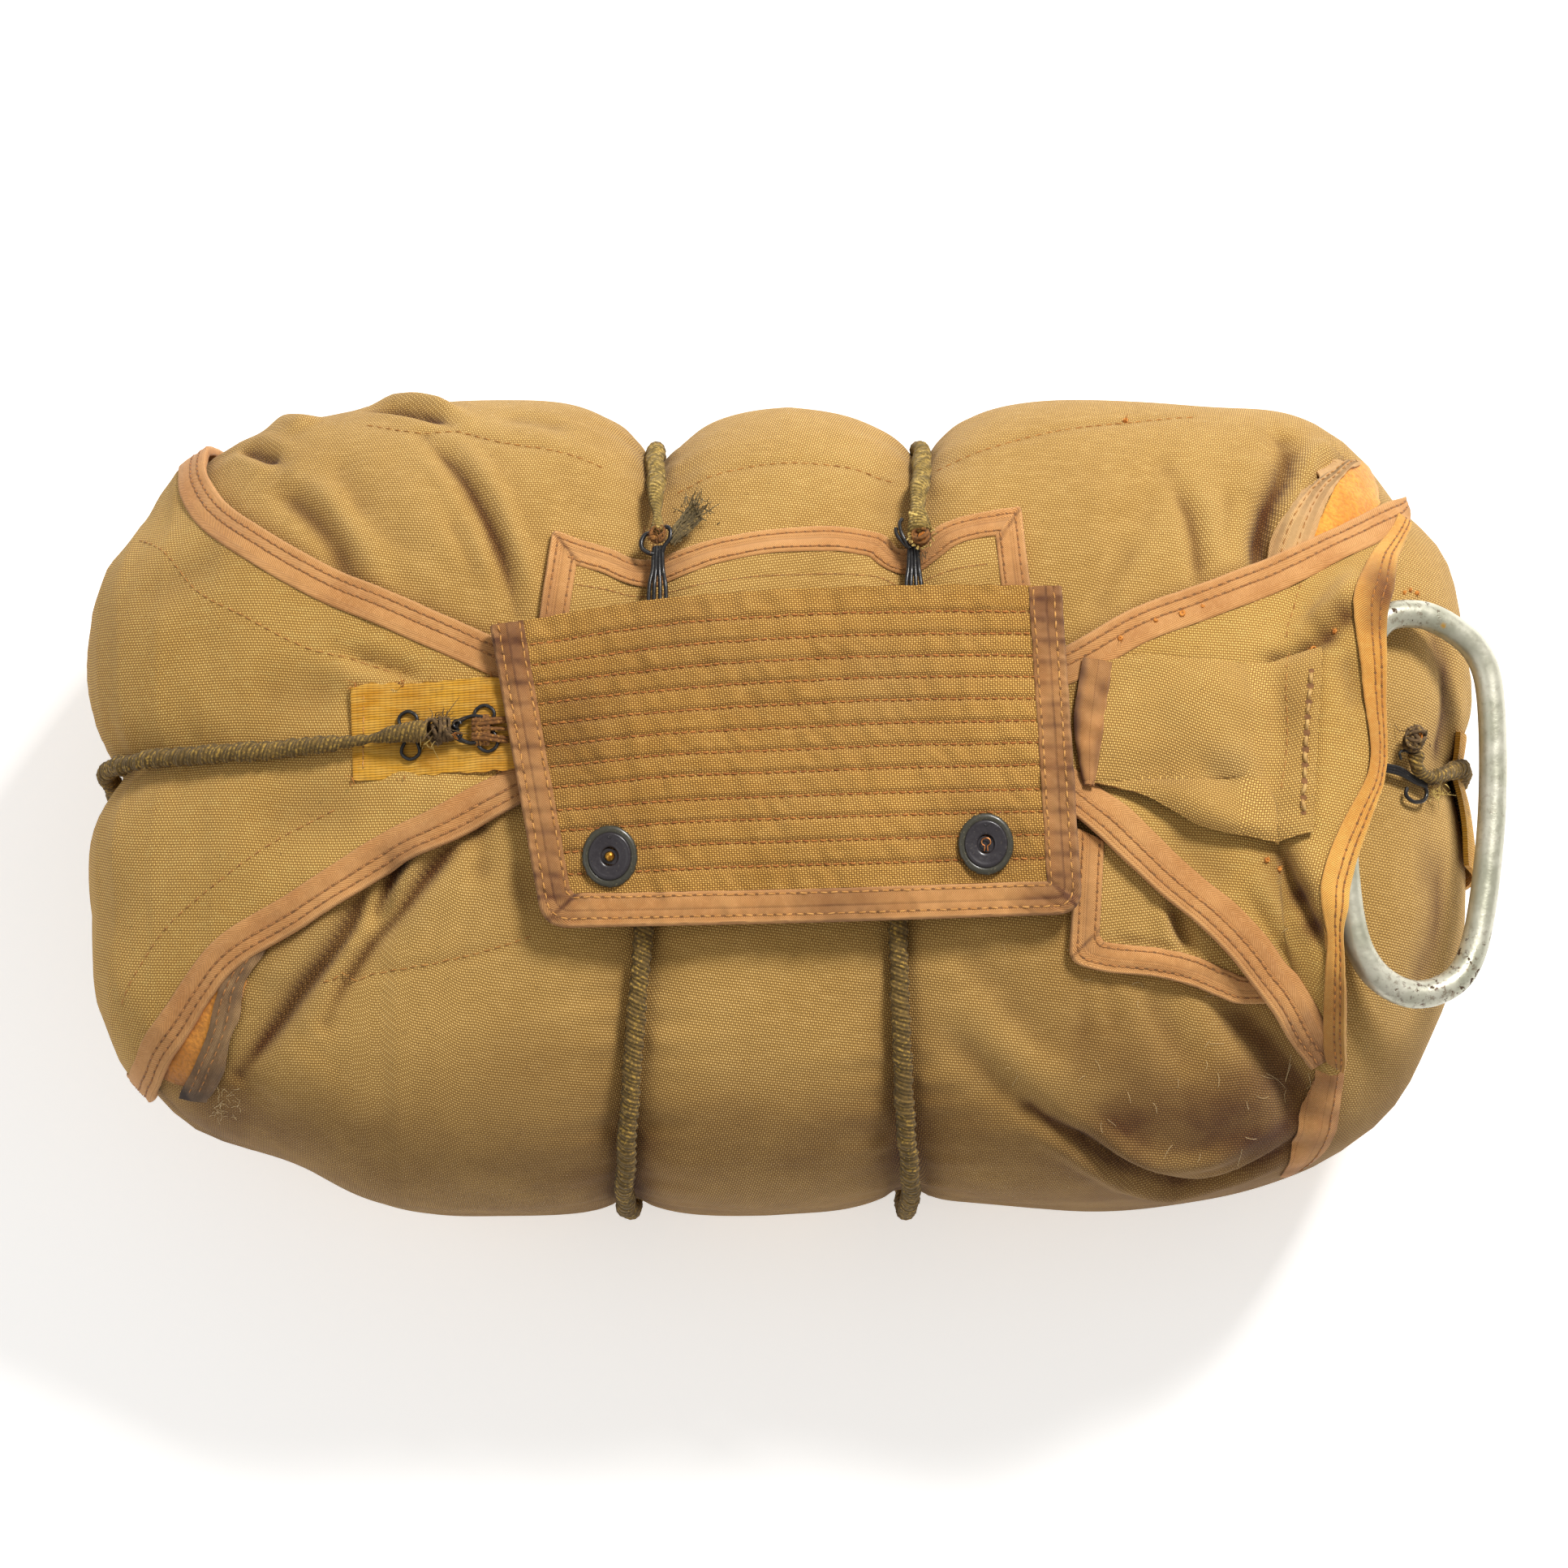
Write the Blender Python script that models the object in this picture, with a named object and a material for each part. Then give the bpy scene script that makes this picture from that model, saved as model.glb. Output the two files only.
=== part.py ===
"""Packed chest parachute, lying on its back: a canvas pack drawn in by elastic opening bands.

Units are metres. +X runs along the pack, +Y across it and +Z up out of its face.
The origin is on the flat back, midway along and across the pack.
Tables are in millimetres, and MM turns them into metres.
"""

import math

import bmesh
import bpy
import numpy as np
from mathutils import Vector
from mathutils.bvhtree import BVHTree

MM = 0.001
COLLECTION = "packed_parachute"

# The filled pack: a straight spine with rounded sections around it.
HALF_LENGTH = 0.204
SPINE_Y = 0.007
SPINE_Z = 0.075
SPINE_REACH = 0.130
UPPER_HALF_WIDTH = 0.114
LOWER_HALF_WIDTH = 0.128
CROWN_RISE = 0.077
BACK_DROP = 0.080
FACE_POWER = 2.7
BACK_POWER = 4.5
END_POWER = 3.0
CORNER_POWERS = {"upper": (4.1, 4.5), "lower": (3.7, 3.65)}  # left end, right end

# Grooves that the bands draw into the pack.
BAND_RADIUS = 0.0026
BAND_GAP = 0.0005
GROOVE_FLAT = 0.0024
GROOVE_SPREAD = 0.012
BACK_GROOVE_EDGE = 0.0062
BACK_GROOVE_DEPTH = 0.0068
CROSSING_DEPTH = 0.0130
CROSSING_REACH = (0.060, 0.075)
MIDDLE_LOBE_DROP = 0.003

# Cross bands: a row per place across the pack, from the lower side over the face to the upper side.
CROSS_ROWS = {
    "y": (-118, -90, -42, 40, 70, 90, 112),
    "left_x": (-43.5, -41, -37, -35, -34, -34.5, -35.5),
    "right_x": (38.5, 36, 34, 37, 40, 41.5, 42.5),
    "depth": (5, 5, 3, 3, 4, 8, 15),
}
# End band: a row per place along the pack, from the left end to the right end.
END_ROWS = {
    "x": (-204, -190, -150, -125, 178, 190, 204),
    "depth": (14, 10, 3.5, 0, 0, 3.5, 8),
}
# Main folds of the filled pack: where each runs, how wide it is, and its height (a trough is negative).
FOLDS = (
    # name, start x, start y, end x, end y, width, height
    ("corner hollow", -118, -52, -130, -82, 12, -3.0),
    ("left long fold", -96, -34, -150, -74, 9, 2.5),
    ("upper left fold", -98, 84, -76, 50, 9, -2.0),
    ("upper right fold", 146, 92, 139, 66, 8, -3.5),
    ("right shoulder", 150, 104, 168, 92, 14, 3.0),
    ("lower right hollow", 128, -66, 150, -92, 12, -3.0),
)

# Thickness and spacing of the sewn layers, measured out from the pack.
GAP = 0.0003
TAPE = 0.0005
CLOTH = 0.0010
LOWER_WALL = 0.0006
CLOTH_BASE = LOWER_WALL + TAPE + GAP
UPPER_WALL = CLOTH_BASE + CLOTH + GAP
BOUND_TOP = UPPER_WALL + TAPE
TAPE_OVERHANG = 0.0009
CORNER_SPREAD = 0.08  # keeps the three inner points of a tape's corner apart
FLAP_TAPE_WIDTH = 0.010
PROTECTOR_TAPE_WIDTH = 0.0082
TAB_TAPE_WIDTH = 0.006
TAB_SLACK = 0.0002
STRIP_BASE = 0.0006
PROTECTOR_THICKNESS = 0.0020
PROTECTOR_BASE = 0.0065
WEBBING = 0.0014
WEBBING_BASE = 0.0008
WIRE_RADIUS = 0.0006

# Flap edges, from the point under the protector outwards: x, y, and z where the edge is on the side.
LEFT_FLAP_UPPER = (
    (-58, 27), (-80, 39), (-108, 54), (-136, 67), (-159, 84), (-168, 97),
    (-171, 104, 85), (-170, 106, 60), (-166, 104, 36),
)
LEFT_FLAP_LOWER = (
    (-58, -1), (-72, -9), (-88, -18), (-107, -27), (-130, -41), (-154, -55), (-170, -75),
    (-174, -88, 100), (-172, -98, 70), (-166, -102, 38),
)
LEFT_FLAP_SLACK = 0.0006
RIGHT_FLAP_UPPER = ((62, 27), (81, 35), (100, 46), (120, 54), (139, 62), (157, 71), (173, 78))
RIGHT_FLAP_LOWER = ((62, 0), (84, -13), (99, -27), (116, -41), (132, -56), (144, -68), (152, -79))
RIGHT_FLAP_BOW = 0.009

UPPER_TAB_LEFT = ((-67, 37), (-66, 45), (-63, 69))
UPPER_TAB_TOP = (
    (-63, 69), (-48, 64), (-37, 61), (-16, 67), (6, 70), (28, 69), (36, 64), (49, 72), (69, 76),
)
UPPER_TAB_RIGHT = ((73, 41), (71, 55), (69, 76))
LOWER_TAB = {"top_left": (81, -35), "left": (82, -53), "right": (135, -62), "top_right": (118, -52)}

PROTECTOR_BOTTOM = ((-64, -42), (10, -40), (84, -37))
PROTECTOR_TOP = ((-79, 42), (-66, 44), (-29, 50), (16, 54), (50, 54), (79, 54))

POCKET_TOP = ((95, 27), (104, 31), (130, 34), (152, 34))
POCKET_BOTTOM = ((92, 1), (110, -7), (130, -13), (149, -15))
POCKET_BULGE = 0.004
POCKET_TAPE_LEFT = ((84, 25), (83.5, 13), (83.5, 1))
POCKET_TAPE_RIGHT = ((93, 25), (91.5, 13), (89.5, 1))

# Small strips at the two open corners: each row is a pair of points across the strip.
LEFT_LINING = ((-159, -63, -157, -62.5), (-164, -69, -160, -68), (-168, -75, -164.5, -77), (-170, -80, -167, -82))
LEFT_CORNER_TAPE = (
    (-149, -55, -144, -60), (-155, -63, -149, -68), (-160, -73, -153, -78), (-164, -83, -157, -88),
    (-168, -88, -162, -94),
)
RIGHT_LINING = ((153, 76, 159, 77), (159, 83, 168, 83), (164, 90, 175, 87), (169, 96, 178, 92))
RIGHT_CORNER_TAPE = ((138, 68, 144, 70), (141, 75, 150, 75.5), (147, 83, 157, 83.5), (156, 90, 162, 90.5))
TAPE_TAIL = (
    # x, y, z of one edge, then of the other
    (152, -84, 124, 160, -82, 119), (151, -94, 115, 161, -91, 111), (148, -102, 107, 158, -100, 98),
    (146, -108, 90, 155, -106, 84),
)

HOOK_TAB_ROWS = (
    # x and y on the upper edge, x and y on the lower edge, lift
    (-119, 24, -118, -2, 2.7), (-98, 25, -96, -1, 2.8), (-78, 26, -77, 0, 3.9), (-66, 26.5, -66, 0.5, 4.1),
)
END_WEBBING_Y = (-22, 19)
END_WEBBING_Z = (24, 118)

# Wire loops and hooks, as plan points.
EYE_OUTER = ((-103, 14), (-102, 6))
EYE_INNER = ((-81, 15), (-80, 8))
EYE_RADIUS = 0.0026
CROSS_HOOK_LIFT = {"left": 4.5, "right": 3.5}

# The bands' ends on the face: x, y, lift of the centre line, radius.
END_BAND_LEFT = (
    (-92, 10, 8.6, 3.6), (-96, 10, 8.6, 3.8), (-99, 10, 8.6, 2.9), (-104, 9.5, 8.6, 2.9),
    (-110, 8.6, 8.4, 2.4), (-118, 8, 7.9, 2.6), (-127, 7.4, 7.2, 2.6), (-138, 7, 6.0, 2.6),
)
END_BAND_RIGHT = ((191, 3, 5.2, 2.6), (186, 4, 6.0, 2.6), (183.5, 7, 7.0, 2.8), (182.5, 12, 6.8, 3.8))
CROSS_BAND_LEFT_TOP = ((-34, 74, 4.2, 2.2), (-33.5, 69, 6.2, 2.4), (-33.5, 65, 7.2, 3.2), (-33.5, 62.5, 7.2, 2.8))
CROSS_BAND_RIGHT_TOP = ((40, 75, 5.4, 2.5), (40.5, 70.5, 7.0, 2.8), (41, 66, 7.8, 3.6), (41, 63.5, 7.8, 3.2))
CROSS_BAND_START_Y = -24
FRAYED_TAIL = ((-28, 65.5, 7.0, 1.8), (-25, 71, 6.0, 2.4), (-22.5, 76, 5.0, 2.6), (-20.5, 80, 4.4, 2.6))

# The ripcord handle: plan points of its rod's centre line, anticlockwise, and the plane it lies in.
HANDLE_ROD_RADIUS = 0.0040
HANDLE_ROUTE = (
    (163, 25), (171, 44), (182, 51), (193, 47.5), (201.5, 36.5), (204.5, 22), (204, -8), (200, -38),
    (195, -53), (187, -59.5), (177, -60.5), (167, -54), (161.5, -40), (159.7, -10),
)
HANDLE_PLANE = {"x": 0.165, "z": 0.1403, "slope": -0.36}
HANDLE_POINTS = 34
ROD_CLEARANCE = 0.0018

SNAP_PLACES = {"left": (-46, -24.4), "right": (58, -21)}
SNAP_SIZE = (0.0149, 0.0167)
SNAP_HOLE_RADIUS = 0.0024

# How finely each piece is divided.
GROOVE_LINES = (0.0024, 0.0062, 0.015, 0.028, 0.046, 0.066)
SIDE_ANGLES = (44, 30, 15)
END_RING_ANGLES = (7, 14, 21, 28, 35, 42, 49)
GROOVE_STATIONS = (0.0024, 0.0075, 0.014, 0.023)
OUTER_STATIONS = (0.148, 0.134, 0.120, 0.106, 0.092, 0.079)
MIDDLE_STATION = 0.0015


def smoothstep(low, high, value):
    """Rise smoothly from 0 at low to 1 at high."""
    t = np.clip((value - low) / (high - low), 0.0, 1.0)
    return t * t * (3.0 - 2.0 * t)


def table(rows, column):
    """A column of a table in metres."""
    return np.array(rows[column]) * MM


# ---------------------------------------------------------------- the filled pack


def end_scale(x, power):
    """How far the section at x has shrunk towards the pack's end."""
    return (1.0 - np.minimum(np.abs(x) / HALF_LENGTH, 1.0) ** power) ** (1.0 / power)


def base_point(x, angle):
    """A point of the pack before it is drawn in: x along it, angle from +Y towards +Z."""
    x, angle = np.broadcast_arrays(x, angle)
    across, up = np.cos(angle), np.sin(angle)
    power = np.where(up >= 0, FACE_POWER, BACK_POWER)
    reach = (np.abs(across) ** power + np.abs(up) ** power) ** (1.0 / power)
    left = x < 0
    upper = np.where(left, *CORNER_POWERS["upper"])
    lower = np.where(left, *CORNER_POWERS["lower"])
    width = np.where(
        across >= 0,
        UPPER_HALF_WIDTH * end_scale(x, upper),
        LOWER_HALF_WIDTH * end_scale(x, lower),
    )
    height = np.where(up >= 0, CROWN_RISE, BACK_DROP) * end_scale(x, END_POWER)
    y = SPINE_Y + width * across / reach
    z = np.maximum(SPINE_Z + height * up / reach, 0.0)
    return np.stack([x, y, z], axis=-1)


def cross_line(side, y, z):
    """Where a cross band runs: its x at a place around the pack."""
    face = np.interp(y, table(CROSS_ROWS, "y"), table(CROSS_ROWS, side + "_x"))
    edges = table(CROSS_ROWS, "y")[[0, -1]]
    back = np.interp(y, edges, table(CROSS_ROWS, side + "_x")[[0, -1]])
    return back + (face - back) * smoothstep(0.040, 0.100, z)


def cross_depth(y, z):
    """How deep the cross bands draw the pack in."""
    face = np.interp(y, table(CROSS_ROWS, "y"), table(CROSS_ROWS, "depth"))
    stops = np.array([-118, -100, 96, 112]) * MM
    depths = table(CROSS_ROWS, "depth")
    back = np.interp(y, stops, [depths[0], BACK_GROOVE_DEPTH, BACK_GROOVE_DEPTH, depths[-1]])
    return back + (face - back) * smoothstep(0.020, 0.070, z)


def groove(distance, z):
    """The outline of a groove: wide on the face and sides, narrow on the flat back."""
    wide = np.exp(-np.maximum(distance - GROOVE_FLAT, 0.0) / GROOVE_SPREAD)
    narrow = 1.0 - smoothstep(GROOVE_FLAT, BACK_GROOVE_EDGE, distance)
    return narrow + (wide - narrow) * smoothstep(0.004, 0.040, z)


def end_depth(x, z):
    """How deep the end band draws the pack in, along the line over both ends and the back."""
    face = np.interp(x, table(END_ROWS, "x"), table(END_ROWS, "depth"))
    crossing = 1.0 - smoothstep(*CROSSING_REACH, np.abs(x))
    back = BACK_GROOVE_DEPTH + (CROSSING_DEPTH - BACK_GROOVE_DEPTH) * crossing
    return back + (face - back) * smoothstep(0.030, 0.075, z)


def fold_height(points):
    """The height of the main folds on the face."""
    height = np.zeros(points.shape[:-1])
    plan = points[..., :2]
    for _, x0, y0, x1, y1, width, rise in FOLDS:
        start = np.array([x0, y0]) * MM
        run = np.array([x1, y1]) * MM - start
        along = np.clip(((plan - start) @ run) / (run @ run), 0.0, 1.0)
        away = np.linalg.norm(plan - start - along[..., None] * run, axis=-1)
        height += rise * MM * np.exp(-((away / (width * MM)) ** 2))
    return height * smoothstep(SPINE_Z, SPINE_Z + 0.03, points[..., 2])


def lobe_drop(x, y):
    """The lobe between the cross bands stands lower than its neighbours on the upper side."""
    return MIDDLE_LOBE_DROP * smoothstep(0.045, 0.025, np.abs(x - MIDDLE_STATION)) * smoothstep(0.04, 0.10, y)


def displacement(points, bridge):
    """How far the surface moves out. bridge is how far cloth spans the cross grooves, 0 to 1."""
    x, y, z = points[..., 0], points[..., 1], points[..., 2]
    dent = end_depth(x, z) * groove(np.abs(y - SPINE_Y), z)
    for side in ("left", "right"):
        away = np.abs(x - cross_line(side, y, z))
        dent = np.maximum(dent, (1.0 - bridge) * cross_depth(y, z) * groove(away, z))
    return fold_height(points) - dent - lobe_drop(x, y) * (1.0 - bridge)


def grid_normals(grid, wrap):
    """Unit normals of a grid of points, pointing away from the spine."""
    if wrap:
        padded = np.concatenate([grid[:, -1:], grid, grid[:, :1]], axis=1)
        across = padded[:, 2:] - padded[:, :-2]
    else:
        across = np.gradient(grid, axis=1)
    along = np.gradient(grid, axis=0)
    normals = np.cross(along, across)
    normals /= np.maximum(np.linalg.norm(normals, axis=-1, keepdims=True), 1e-12)
    outward = np.sum(normals * (grid - spine_point(grid)), axis=-1, keepdims=True)
    return np.where(outward < 0, -normals, normals)


def spine_point(points):
    """The nearest point of the pack's spine."""
    x = np.clip(points[..., 0], -SPINE_REACH, SPINE_REACH)
    return np.stack([x, np.full_like(x, SPINE_Y), np.full_like(x, SPINE_Z)], axis=-1)


def pack_grid(stations, angles, bridge=0.0):
    """The pack's skin as a grid, a row per station and a column per angle."""
    x, angle = np.meshgrid(stations, angles, indexing="ij")
    plain = base_point(x, angle)
    for side in ("left", "right"):
        nominal = np.mean(table(CROSS_ROWS, side + "_x"))
        shift = cross_line(side, plain[..., 1], plain[..., 2]) - nominal
        x = x + shift * np.exp(-(((x - nominal) / 0.040) ** 2))
    points = base_point(x, angle)
    normals = grid_normals(points, wrap=True)
    return points + normals * displacement(points, bridge)[..., None]


def pole_points():
    """The two ends of the pack, drawn in by the end band."""
    ends = []
    for sign in (-1, 1):
        tip = np.array([sign * HALF_LENGTH, SPINE_Y, SPINE_Z])
        ends.append(tip - np.array([sign * end_depth(tip[0], tip[2]), 0, 0]))
    return ends


def end_stations():
    """Distances along the pack of the rings that round off an end, from the tip inwards."""
    power = np.mean([CORNER_POWERS["upper"], CORNER_POWERS["lower"]])
    for degrees in END_RING_ANGLES:
        turn = math.radians(degrees)
        reach = (math.cos(turn) ** power + math.sin(turn) ** power) ** (1.0 / power)
        yield HALF_LENGTH * math.cos(turn) / reach


def pack_stations():
    """Every section of the pack, closest together where the cross bands draw it in."""
    outer = list(end_stations()) + list(OUTER_STATIONS)
    stations = [-x for x in outer] + outer + [MIDDLE_STATION]
    for side in ("left", "right"):
        middle = np.mean(table(CROSS_ROWS, side + "_x"))
        stations += [middle - d for d in GROOVE_STATIONS] + [middle + d for d in GROOVE_STATIONS]
    return np.array(sorted(stations))


def pack_angles():
    """Every direction around a section, closest together at the end band."""
    angles = [0.0, math.pi]
    for vertical in (1, -1):
        for width, horizontal in ((UPPER_HALF_WIDTH, 1), (LOWER_HALF_WIDTH, -1)):
            turns = [math.acos(d / width) for d in GROOVE_LINES] + [math.radians(a) for a in SIDE_ANGLES]
            angles += [math.atan2(vertical * math.sin(t), horizontal * math.cos(t)) for t in turns]
    return np.array(sorted(a % math.tau for a in angles))


# ---------------------------------------------------------------- seating pieces on the pack


class Skin:
    """The pack's surface that cloth and hardware are laid on: the outer of a fine copy and the pack."""

    def __init__(self, pack, bridge):
        stations = np.concatenate([-np.array(list(end_stations())), np.linspace(-0.155, 0.155, 105)])
        stations = np.sort(np.concatenate([stations, np.array(list(end_stations()))]))
        angles = np.linspace(0.0, math.tau, 144, endpoint=False)
        grid = pack_grid(stations, angles, bridge)
        rows, columns = grid.shape[:2]
        points = [Vector(p) for p in grid.reshape(-1, 3)] + [Vector(p) for p in pole_points()]
        faces = list(ring_faces(rows, columns)) + list(pole_faces(rows, columns))
        mesh = pack.data
        pack_points = [v.co.copy() for v in mesh.vertices]
        pack_faces = [tuple(f.vertices) for f in mesh.polygons]
        self.trees = [BVHTree.FromPolygons(points, faces), BVHTree.FromPolygons(pack_points, pack_faces)]

    def above(self, x, y):
        """The surface point straight below a plan position."""
        hits = [tree.ray_cast(Vector((x, y, 0.4)), Vector((0, 0, -1)))[0] for tree in self.trees]
        return np.array(max(hits, key=lambda hit: hit.z))

    def around(self, point):
        """The surface point that a point is pushed to from the spine."""
        start = Vector(spine_point(np.asarray(point, dtype=float)))
        way = (Vector(point) - start).normalized()
        hits = [tree.ray_cast(start, way)[0] for tree in self.trees]
        return np.array(max(hits, key=lambda hit: (hit - start).length))

    def seat(self, *place):
        """A point on the surface from a plan position, or from a rough position in space, in mm."""
        if len(place) == 2:
            return self.above(place[0] * MM, place[1] * MM)
        return self.around(np.array(place) * MM)

    def lifted(self, x, y, lift):
        """A point above a plan position, moved out along the surface's slope, in mm."""
        step = 0.004
        here = self.above(x * MM, y * MM)
        east = self.above(x * MM + step, y * MM) - self.above(x * MM - step, y * MM)
        north = self.above(x * MM, y * MM + step) - self.above(x * MM, y * MM - step)
        normal = np.cross(east, north)
        return here + lift * MM * normal / np.linalg.norm(normal)


def ring_faces(rows, columns):
    """Faces of a tube of closed rings."""
    for i in range(rows - 1):
        for j in range(columns):
            k = (j + 1) % columns
            yield (i * columns + j, i * columns + k, (i + 1) * columns + k, (i + 1) * columns + j)


def pole_faces(rows, columns):
    """Fans from the first and the last ring to the two poles, whose points come last."""
    first, last = rows * columns, rows * columns + 1
    start = (rows - 1) * columns
    for j in range(columns):
        k = (j + 1) % columns
        yield (first, k, j)
        yield (last, start + j, start + k)


def smooth_path(points, count):
    """count points evenly spaced on a smooth curve through the given points."""
    points = np.array(points, dtype=float)
    ends = [2 * points[0] - points[1], 2 * points[-1] - points[-2]]
    padded = np.concatenate([ends[:1], points, ends[1:]])
    return even_spacing(catmull_rom(padded), count)


def closed_path(points, count):
    """count points evenly spaced on a smooth closed curve through the given points."""
    points = np.array(points, dtype=float)
    padded = np.concatenate([points[-1:], points, points[:2]])
    return even_spacing(catmull_rom(padded), count + 1)[:-1]


def catmull_rom(padded, steps=12):
    """A Catmull-Rom curve through all but the first and last points."""
    curve = []
    for a, b, c, d in zip(padded, padded[1:], padded[2:], padded[3:]):
        for t in np.arange(steps) / steps:
            cubic = (3 * b - a - 3 * c + d) * t**3 + (2 * a - 5 * b + 4 * c - d) * t**2
            curve.append(0.5 * (cubic + (c - a) * t) + b)
    curve.append(padded[-2])
    return np.array(curve)


def even_spacing(curve, count):
    """Resample a polyline at equal steps."""
    lengths = np.concatenate([[0], np.cumsum(np.linalg.norm(np.diff(curve, axis=0), axis=1))])
    places = np.linspace(0, lengths[-1], count)
    return np.stack([np.interp(places, lengths, curve[:, k]) for k in range(curve.shape[1])], axis=-1)


def edge(skin, places, count):
    """A flap's edge on the surface: table places in mm, resampled."""
    return smooth_path([skin.seat(*place) for place in places], count)


def across_places(length, margin, inner):
    """Fractions across a sheet: both edges, both tape widths and the cloth between."""
    m = margin / length
    return np.concatenate([[0.0], np.linspace(m, 1.0 - m, inner), [1.0]])


def span(skin, first, second, margin, inner, groove_lines=()):
    """Rows of surface points from one edge to the other. groove_lines adds columns at the end band."""
    grid = []
    for a, b in zip(first, second):
        places = across_places(np.linalg.norm(b - a), margin, inner)
        if groove_lines:
            middle = [(a[1] - SPINE_Y - d) / (a[1] - b[1]) for d in groove_lines]
            upper = np.linspace(places[1], middle[0], inner // 2 + 1)[:-1]
            lower = np.linspace(middle[-1], places[-2], inner // 2 + 1)[1:]
            places = np.concatenate([[0.0], upper, middle, lower, [1.0]])
        row = [a + (b - a) * s for s in places]
        grid.append([row[0]] + [skin.around(p) for p in row[1:-1]] + [row[-1]])
    return np.array(grid)


# ---------------------------------------------------------------- objects


def material(name, colour, roughness, metallic=0.0):
    """A plain Principled material."""
    new = bpy.data.materials.new(name)
    new.use_nodes = True
    shader = new.node_tree.nodes["Principled BSDF"]
    shader.inputs["Base Color"].default_value = (*colour, 1.0)
    shader.inputs["Roughness"].default_value = roughness
    shader.inputs["Metallic"].default_value = metallic
    return new


def add_mesh(name, points, faces, finish):
    """A closed mesh object with its faces turned outwards."""
    mesh = bpy.data.meshes.new(name)
    mesh.from_pydata([tuple(p) for p in points], [], [tuple(f) for f in faces])
    work = bmesh.new()
    work.from_mesh(mesh)
    bmesh.ops.recalc_face_normals(work, faces=work.faces)
    bmesh.ops.triangulate(work, faces=work.faces, quad_method="SHORT_EDGE")
    work.to_mesh(mesh)
    work.free()
    mesh.materials.append(finish)
    mesh.shade_smooth()
    mesh.set_sharp_from_angle(angle=math.radians(40))
    thing = bpy.data.objects.new(name, mesh)
    bpy.data.collections[COLLECTION].objects.link(thing)
    return thing


def add_sheet(name, grid, base, thickness, finish, lift=0.0):
    """Cloth of even thickness over a grid of surface points. lift raises it, point by point."""
    normals = grid_normals(grid, wrap=False)
    lift = np.broadcast_to(lift, grid.shape[:2])[..., None]
    low = grid + normals * (base + lift)
    high = grid + normals * (base + thickness + lift)
    rows, columns = grid.shape[:2]
    count = rows * columns
    points = np.concatenate([low.reshape(-1, 3), high.reshape(-1, 3)])
    faces = []
    for i in range(rows - 1):
        for j in range(columns - 1):
            a, b = i * columns + j, (i + 1) * columns + j
            faces.append((a, a + 1, b + 1, b))
            faces.append((count + a, count + b, count + b + 1, count + a + 1))
    rim = [(0, j) for j in range(columns)] + [(i, columns - 1) for i in range(1, rows)]
    rim += [(rows - 1, j) for j in range(columns - 2, -1, -1)] + [(i, 0) for i in range(rows - 2, 0, -1)]
    rim = [i * columns + j for i, j in rim]
    faces += [(a, b, count + b, count + a) for a, b in zip(rim, rim[1:] + rim[:1])]
    return add_mesh(name, points, faces, finish)


def add_binding(name, outer, inner, finish, base=0.0, cloth=CLOTH, lift=0.0, slack=0.0):
    """Tape folded round a cloth's edge: outer and inner are (points, normals) along the edge."""
    (edge_points, edge_normals), (inner_points, inner_normals) = outer, inner
    out = edge_points - inner_points
    out /= np.linalg.norm(out, axis=1, keepdims=True)
    lift = np.broadcast_to(lift, len(edge_points))[:, None]
    heights = np.cumsum([LOWER_WALL + base - slack, TAPE, cloth + 2 * (GAP + slack), TAPE])
    lowest, under, over, highest = (edge_normals * (h + lift) for h in heights)
    low_in, under_in, over_in, high_in = (inner_normals * (h + lift) for h in heights)
    outside = edge_points + out * TAPE_OVERHANG
    inside = edge_points + out * (TAPE_OVERHANG - TAPE)
    rings = [
        outside + lowest, inner_points + low_in, inner_points + under_in, inside + under,
        inside + over, inner_points + over_in, inner_points + high_in, outside + highest,
    ]
    sections = np.stack(rings, axis=1)
    rows, columns = sections.shape[:2]
    faces = list(ring_faces(rows, columns))
    for start in (0, (rows - 1) * columns):
        for quad in ((0, 1, 2, 3), (0, 3, 4, 7), (7, 4, 5, 6)):
            faces.append([start + k for k in quad])
    return add_mesh(name, sections.reshape(-1, 3), faces, finish)


def rim_pairs(grid, sides):
    """Points and normals along a bound edge, and a tape's width in from it.

    sides is first or last for one long edge, end for the last row's, or around for all three.
    """
    normals = grid_normals(grid, wrap=False)

    def pick(rows, columns):
        return grid[rows, columns], normals[rows, columns]

    rows, columns = grid.shape[:2]
    every_row = np.arange(rows)
    if sides == "first":
        return pick(every_row, 0), pick(every_row, 1)
    if sides == "last":
        return pick(every_row, columns - 1), pick(every_row, columns - 2)
    if sides == "end":
        middle = np.arange(2, columns - 2)
        return pick(rows - 1, middle), pick(rows - 2, middle)
    up, along = np.arange(rows - 1), np.arange(columns)
    outer = [(i, 0) for i in up] + [(rows - 1, j) for j in along] + [(i, columns - 1) for i in up[::-1]]
    inner = [(i, 1) for i in up] + [(rows - 2, j) for j in np.clip(along, 1, columns - 2)]
    inner += [(i, columns - 2) for i in up[::-1]]
    points, directions = pick(*np.array(inner).T)
    for corner in (rows - 1, rows + columns - 2):
        points[corner - 1] += CORNER_SPREAD * (points[corner - 2] - points[corner])
        points[corner + 1] += CORNER_SPREAD * (points[corner + 2] - points[corner])
    return pick(*np.array(outer).T), (points, directions)


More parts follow.
